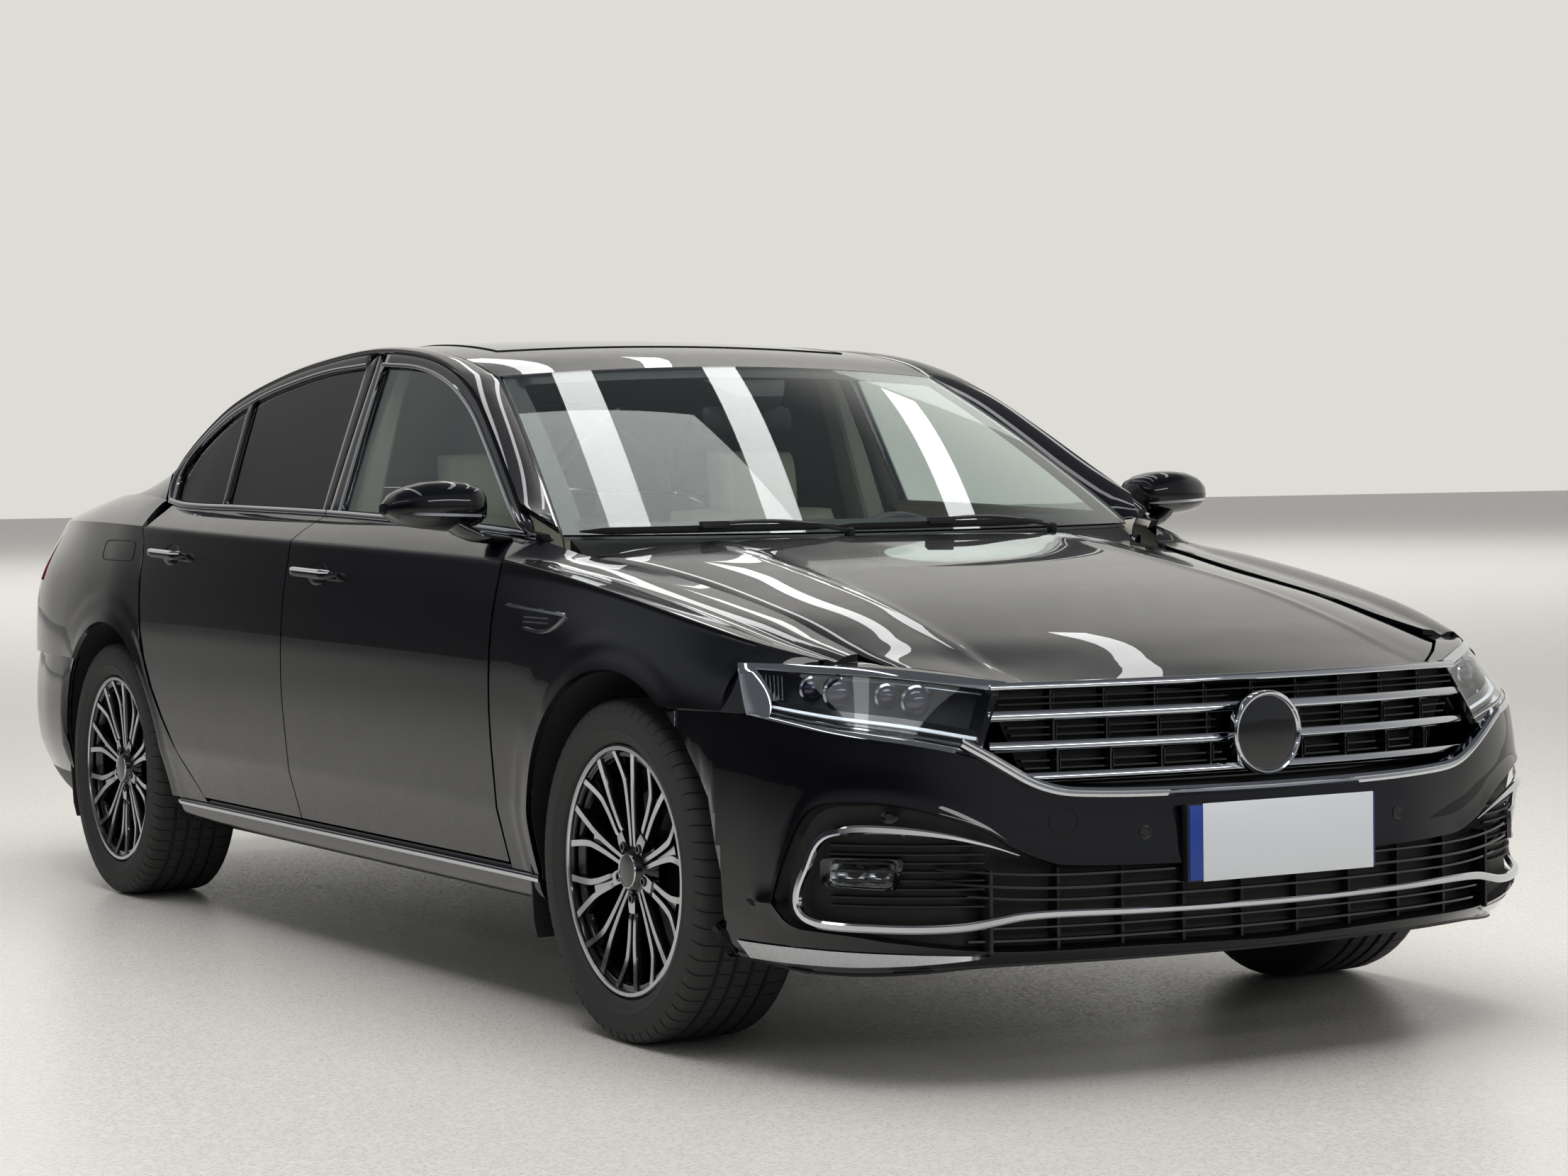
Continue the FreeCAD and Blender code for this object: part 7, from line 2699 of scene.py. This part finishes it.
@dataclass
class Cushion:
    """A padded form: a rounded block that crowns between its seams."""
    size: tuple[float, float, float]
    seams: int = 3
    crown: float = 0.018

    def add(self, made: Mesher, place: Matrix, finish: Finish) -> None:
        """Adds the cushion, whose face looks up +Z before it is placed.

        Args:
            made: takes the faces.
            place: where it goes.
            finish: the surface.
        """
        wide, long, thick = (s * MM for s in self.size)
        nu, nv = 26, 30
        face, back = [], []
        for v in shares(nv):
            row, under = [], []
            for u in shares(nu):
                a, b = 2 * u - 1, 2 * v - 1
                edge = (1 - abs(a) ** 5) * (1 - abs(b) ** 6)
                lift = thick / 2 * max(0.0, edge) ** 0.35 + self.crown * (1 - a * a) * (1 - b * b)
                groove = sum(ridge(v - (k + 1) / (self.seams + 1), 0.012) for k in range(self.seams))
                inner = ridge(abs(a) - 0.62, 0.02)
                lift -= 0.006 * max(groove * (abs(a) < 0.62), inner) * edge
                lift += 0.012 * max(0.0, abs(a) - 0.66) * edge * 6
                x, y = a * wide / 2 * (1 - 0.03 * b * b), b * long / 2 * (1 - 0.03 * a * a)
                row.append(place @ Vector((x, y, lift)))
                under.append(place @ Vector((x * 0.97, y * 0.97, -thick / 2 * max(0.0, edge) ** 0.35)))
            face.append(row)
            back.append(under)
        made.shell(face, back, finish)


def tilted(x: float, y: float, h: float, degrees: float) -> Matrix:
    """Place of a piece that is turned about a cross axis."""
    return Matrix.Translation(point(x, y, h)) @ Matrix.Rotation(math.radians(degrees), 4, "X")


@dataclass
class Cabin:
    """Seats, dashboard, console and steering wheel seen through the glass."""
    seat_middle: float = 382.5
    wheel_place: tuple[float, float, float, float] = (370.0, -520.0, 850.0, -68.0)

    def seats(self) -> None:
        """Front seats and rear bench in pale leather."""
        made = Mesher()
        mid = self.seat_middle
        seat = ((Cushion((500, 520, 150), 3, 0.02), -215, 410, 4),
                (Cushion((500, 640, 120), 4, 0.02), 62, 740, 74),
                (Cushion((250, 180, 90), 0, 0.012), 150, 1102, 82))
        for cushion, y, h, lean in seat:
            cushion.add(made, tilted(mid, y, h, lean), Stock.LEATHER)
        rod = [(0.006 * math.cos(a), 0.006 * math.sin(a)) for a in turns(8)]
        for x in (mid - 60, mid + 60):
            made.sweep([point(x, 140, 1000), point(x, 150, 1080)], Vector((0, 1, 0)), rod, Stock.SILVER)
        made.block(point(mid - 150, -420, 236), point(mid + 150, -40, 345), Stock.FOAM)
        piece = made.mirror().build("front_seat_cushions", sharp=60)
        dress(piece, "body", "seat_leather", "front_seats")
        rear = Mesher()
        for mid in (-420, 0, 420):
            wide = 400 if mid else 420
            Cushion((wide, 500, 150), 2, 0.015).add(rear, tilted(mid, 740, 400, 5), Stock.LEATHER)
            Cushion((wide - 30, 600, 100), 3, 0.012).add(rear, tilted(mid * 0.93, 1000, 730, 78),
                                                         Stock.LEATHER)
        rear.block(point(-620, 500, 236), point(620, 960, 340), Stock.FOAM)
        piece = rear.build("rear_bench_cushions", sharp=60)
        dress(piece, "body", "seat_leather", "rear_seat")

    def dash(self) -> None:
        """Dashboard with its binnacle, vents and console."""
        made = Mesher()
        rings = []
        for x in between(-668, 668, 27):
            hood = 26 * math.exp(-((x - 370) / 170) ** 4)
            rings.append([point(x, y, h) for y, h in ((-1126, 640), (-900, 628), (-720, 622), (-680, 640),
                                                      (-664, 700), (-668, 752), (-690, 768), (-700, 800),
                                                      (-712, 860 + hood * 0.4), (-736, 905 + hood),
                                                      (-800, 926 + hood), (-1000, 940), (-1110, 920),
                                                      (-1126, 890))])
        made.loft(rings, Stock.FOAM)
        strip = [point(x, -664, 726) for x in between(-640, 640, 30)]
        made.sweep(strip, Vector((0, 1, 0)), bar_section(0.012, -0.004, 0.010, 0.004), Stock.SILVER)
        made.block(point(-150, -716, 770), point(130, -690, 905), Stock.GLOSS)
        made.block(point(-112, -730, 300), point(112, -60, 560), Stock.FOAM)
        made.block(point(-104, -700, 560), point(104, -70, 618), Stock.GLOSS, 0.9)
        dress(made.build("dashboard_and_console", bevel=0.006), "body", "black_plastic", "dashboard")

    def wheel(self) -> None:
        """Steering wheel: leather rim, three spokes and airbag cover."""
        made = Mesher()
        place = tilted(*self.wheel_place)
        up = Vector((0, 0, 1))
        rings = []
        for a in turns(64):
            out = Vector((math.cos(a), math.sin(a), 0))
            rings.append([place @ (out * 0.185 + out * math.cos(b) * 0.0145 + up * math.sin(b) * 0.017)
                          for b in turns(12)])
        made.loft(rings, Stock.HIDE, closed=True)
        for a in (0.0, math.pi, -math.pi / 2):
            out, side = Vector((math.cos(a), math.sin(a), 0)), Vector((-math.sin(a), math.cos(a), 0))
            made.loft([[place @ (out * r + side * s + up * z) for s, z in bar_section(w, -0.006, w, 0.006)]
                       for r, w in ((0.05, 0.03), (0.1, 0.02), (0.15, 0.017), (0.176, 0.022))], Stock.GLOSS)
        pad = []
        for s, z in ((0.96, -0.028), (1.0, -0.01), (1.0, 0.004), (0.93, 0.014), (0.7, 0.021), (0.35, 0.024),
                     (0.06, 0.025)):
            pad.append([place @ Vector((0.072 * s * squared(math.cos(a), 0.7),
                                        0.06 * s * squared(math.sin(a), 0.8), z))
                        for a in turns(36)])
        made.loft(pad, Stock.HIDE)
        column = [[place @ Vector((0.0235 * math.cos(a), 0.0235 * math.sin(a), z)) for a in turns(20)]
                  for z in (-0.34, -0.02)]
        made.loft(column, Stock.FOAM)
        dress(made.build("steering_wheel_rim", sharp=45), "steering_wheel", "wheel_leather", "steering_wheel")

    def build(self) -> None:
        """Makes the cabin."""
        self.seats()
        self.dash()
        self.wheel()


@dataclass
class Wipers:
    """Wiper arms and blades, each on its spindle.

    arms holds the half widths of each one's spindle, joint with its blade and the blade's two ends.
    """
    arms: tuple[Row, ...] = ((-110, -430, -715, -140), (470, 130, -160, 440))

    @staticmethod
    def foot(x: float) -> float:
        """Station of the windscreen's foot at a half width."""
        return -1164 + 140 * (x / 745) ** 2

    def build(self) -> None:
        """Makes both wipers."""
        made = Mesher()
        for pivot, joint, tip, end in self.arms:
            arm = []
            for t, x in zip(shares(22), between(pivot, joint, 22)):
                arch = math.sin(math.pi * t)
                arm.append(point(x, self.foot(x) + 10 * arch + 4 * (1 - t), 1008 + 20 * t + 12 * arch))
            made.sweep(arm, Vector((0, -0.3, 1)), bar_section(0.008, -0.003, 0.006, 0.003),
                       Stock.PLASTIC, grow=lambda t: 1.25 - 0.5 * t)
            blade = [point(x, self.foot(x) + 6, 1015 + 3 * t)
                     for t, x in zip(shares(34), between(tip, end, 34))]
            made.sweep(blade, Vector((0, -0.2, 1)),
                       [(-0.006, -0.007), (0.006, -0.007), (0.005, 0.003), (0.001, 0.008), (-0.001, 0.008),
                        (-0.005, 0.003)], Stock.DARK, grow=lambda t: min(1.0, 8 * min(t, 1 - t) + 0.2))
            made.loft([[point(joint + dx, self.foot(joint) + dy, 1022 + dz)
                        for dy, dz in ((-9, -4), (9, -4), (7, 11), (-7, 11))]
                       for dx in (-34, 34)], Stock.PLASTIC)
            boss = [[point(pivot + r * math.cos(a), self.foot(pivot) + 4 + r * math.sin(a), h)
                     for a in turns(16)]
                    for r, h in ((10, 984), (12, 1000), (12, 1010), (8, 1014), (2, 1015))]
            made.loft(boss, Stock.PLASTIC)
        dress(made.build("wiper_arms", bevel=0.0006), "body", "black_plastic", "wipers")


def camera() -> None:
    """Camera at the photograph's place, turn and lens."""
    turn, rise, roll = 0.5261, -0.0342, -0.0125
    ahead = Vector((math.sin(turn) * math.cos(rise), math.cos(turn) * math.cos(rise), math.sin(rise)))
    level = ahead.cross(Vector((0, 0, 1))).normalized()
    up = level.cross(ahead)
    right = level * math.cos(roll) + up * math.sin(roll)
    above = level * -math.sin(roll) + up * math.cos(roll)
    place = Matrix((right, above, -ahead)).transposed().to_4x4()
    place.translation = Vector((-4.0799, -7.7008, 1.1429))
    lens = bpy.data.cameras.new("photograph")
    lens.lens, lens.sensor_width, lens.sensor_fit = 79.25, 36.0, "HORIZONTAL"
    lens.clip_end = 200
    seen = bpy.data.objects.new("photograph", lens)
    seen.matrix_world = place
    bpy.context.scene.collection.objects.link(seen)
    bpy.context.scene.camera = seen


@dataclass
class Studio:
    """Pale floor, soft lamps and a sky that is palest behind the car."""
    floor_half: float = 90.0
    # Parts of the hall: direction, where it starts and ends, the colour before it (first row) and its own.
    regions: tuple[tuple[Row, float, float, str, str], ...] = (
        ((0.5, -0.865, 0.0), 0.2, 0.9, "2E2F33", "9C9EA2"),
        ((0.0, 0.0, 1.0), 0.10, 0.40, "", "8C8E92"),
        ((0.80, 0.60, 0.0), 0.22, 0.66, "", "DEDCD6"),
        ((0.0, 0.0, 1.0), 0.50, 0.70, "", "5C5E62"))

    def floor(self) -> None:
        """Floor under the tyres."""
        mesh = bpy.data.meshes.new("floor")
        r = self.floor_half
        mesh.from_pydata([(-r, -r, 0), (r, -r, 0), (r, r, 0), (-r, r, 0)], [], [(0, 1, 2, 3)])
        mesh.materials.append(Stock.FLOOR.material())
        piece = bpy.data.objects.new("floor", mesh)
        bpy.context.scene.collection.objects.link(piece)

    def sky(self) -> None:
        """World light: a pale wall behind the car, a dim hall to the car's right and a dark ceiling."""
        world = bpy.data.worlds.new("hall")
        world.use_nodes = True
        bpy.context.scene.world = world
        tree = world.node_tree
        look = add_node(tree, "ShaderNodeTexCoord").outputs["Generated"]
        colour = None
        for towards, low, high, dim, lit in self.regions:
            facing = add_node(tree, "ShaderNodeVectorMath", {"operation": "DOT_PRODUCT", 1: towards},
                              {0: look})
            share = add_node(tree, "ShaderNodeMapRange",
                             {"interpolation_type": "SMOOTHSTEP", "From Min": low, "From Max": high},
                             {0: facing.outputs["Value"]})
            mix = add_node(tree, "ShaderNodeMix", {"data_type": "RGBA", 6: linear(dim or lit),
                                                   7: linear(lit)},
                           {0: share.outputs[0]})
            if colour is not None:
                tree.links.new(colour, mix.inputs[6])
            colour = mix.outputs[2]
        tree.links.new(colour, tree.nodes["Background"].inputs["Color"])

    def lamp(self, name: str, place: Row, aim: Row, size: tuple[float, float], power: float,
             turn: float = 0.0) -> bpy.types.Object:
        """Adds one soft lamp; turn swings it about the upright.

        Args:
            name: its name.
            place: where it hangs.
            aim: the point that it faces.
            size: its two sides, in metres.
            power: in watts.
            turn: in radians.

        Returns:
            The lamp.
        """
        light = bpy.data.lights.new(name, "AREA")
        light.shape, light.size, light.size_y, light.energy = "RECTANGLE", size[0], size[1], power
        lamp = bpy.data.objects.new(name, light)
        lamp.location = place
        lamp.rotation_euler = (Vector(aim) - Vector(place)).to_track_quat("-Z", "Y").to_euler()
        lamp.rotation_euler.z += turn
        bpy.context.scene.collection.objects.link(lamp)
        return lamp

    def daylight(self) -> None:
        """Broad soft light on the car and on the floor behind it, which leaves no mirror image of itself."""
        for name, place, size, power in (("overhead", (-0.5, -1.5, 7.0), (7.0, 9.0), 700),
                                         ("backdrop", (12.0, 24.0, 12.0), (34.0, 26.0), 5200)):
            self.lamp(name, place, (place[0], place[1], 0), size, power).visible_glossy = False

    def build(self) -> None:
        """Makes the studio."""
        self.floor()
        self.sky()
        self.daylight()
        for name, x, y, long in (("strip_1", 1.3, 2.5, 9.0), ("strip_2", 2.35, 2.6, 7.0),
                                 ("strip_3", 3.3, 1.0, 4.0), ("strip_4", -1.6, 0.5, 9.0)):
            self.lamp(name, (x, y, 4.6), (x, y, 0), (0.24, long), 22 * long / 9, -0.3)
        self.lamp("front_strip", (0.5, -9.6, 3.3), (0, -2.4, 0.6), (9.0, 0.45), 75)
        self.lamp("side_strip", (-7.5, -1.0, 4.2), (0, -0.5, 0.8), (9.0, 0.3), 24)


def underside(frame: dict) -> None:
    """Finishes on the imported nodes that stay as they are.

    Args:
        frame: the loaded frame.
    """
    finishes = {"arch_liners": Stock.CARPET, "floor_pan": Stock.STEEL, "front_structure": Stock.STEEL,
                "rear_suspension": Stock.CASTING, "engine": Stock.CASTING, "exhaust": Stock.SILENCER,
                "knuckle_left": Stock.CASTING, "knuckle_right": Stock.CASTING, "cowl": Stock.DARK}
    for name, finish in finishes.items():
        node = frame["nodes"][name]
        node.data.materials.clear()
        node.data.materials.append(finish.material())


def main() -> None:
    """Builds the car round its frame."""
    logging.basicConfig(level=logging.INFO, format="%(asctime)s %(message)s")
    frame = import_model()
    bpy.context.scene.view_settings.view_transform = "Standard"
    camera()
    Studio().build()
    underside(frame)
    SidePanels().build()
    Rails().build()
    Roof().build()
    Screens().build()
    for side in Side:
        Door(FRONT_DOOR, side).build()
        Door(REAR_DOOR, side).build()
        Mirror(side).build()
    Lids().build()
    FrontBumper().build()
    Grille().build()
    Headlamps().build()
    RearEnd().build()
    Cabin().build()
    Wipers().build()
    for name, side, y in (("front_left", Side.LEFT, FRONT_AXLE), ("front_right", Side.RIGHT, FRONT_AXLE),
                          ("rear_left", Side.LEFT, REAR_AXLE), ("rear_right", Side.RIGHT, REAR_AXLE)):
        Wheel(name, (HALF_TRACK * side.value, y), side).build()


if __name__ == "__main__":
    main()
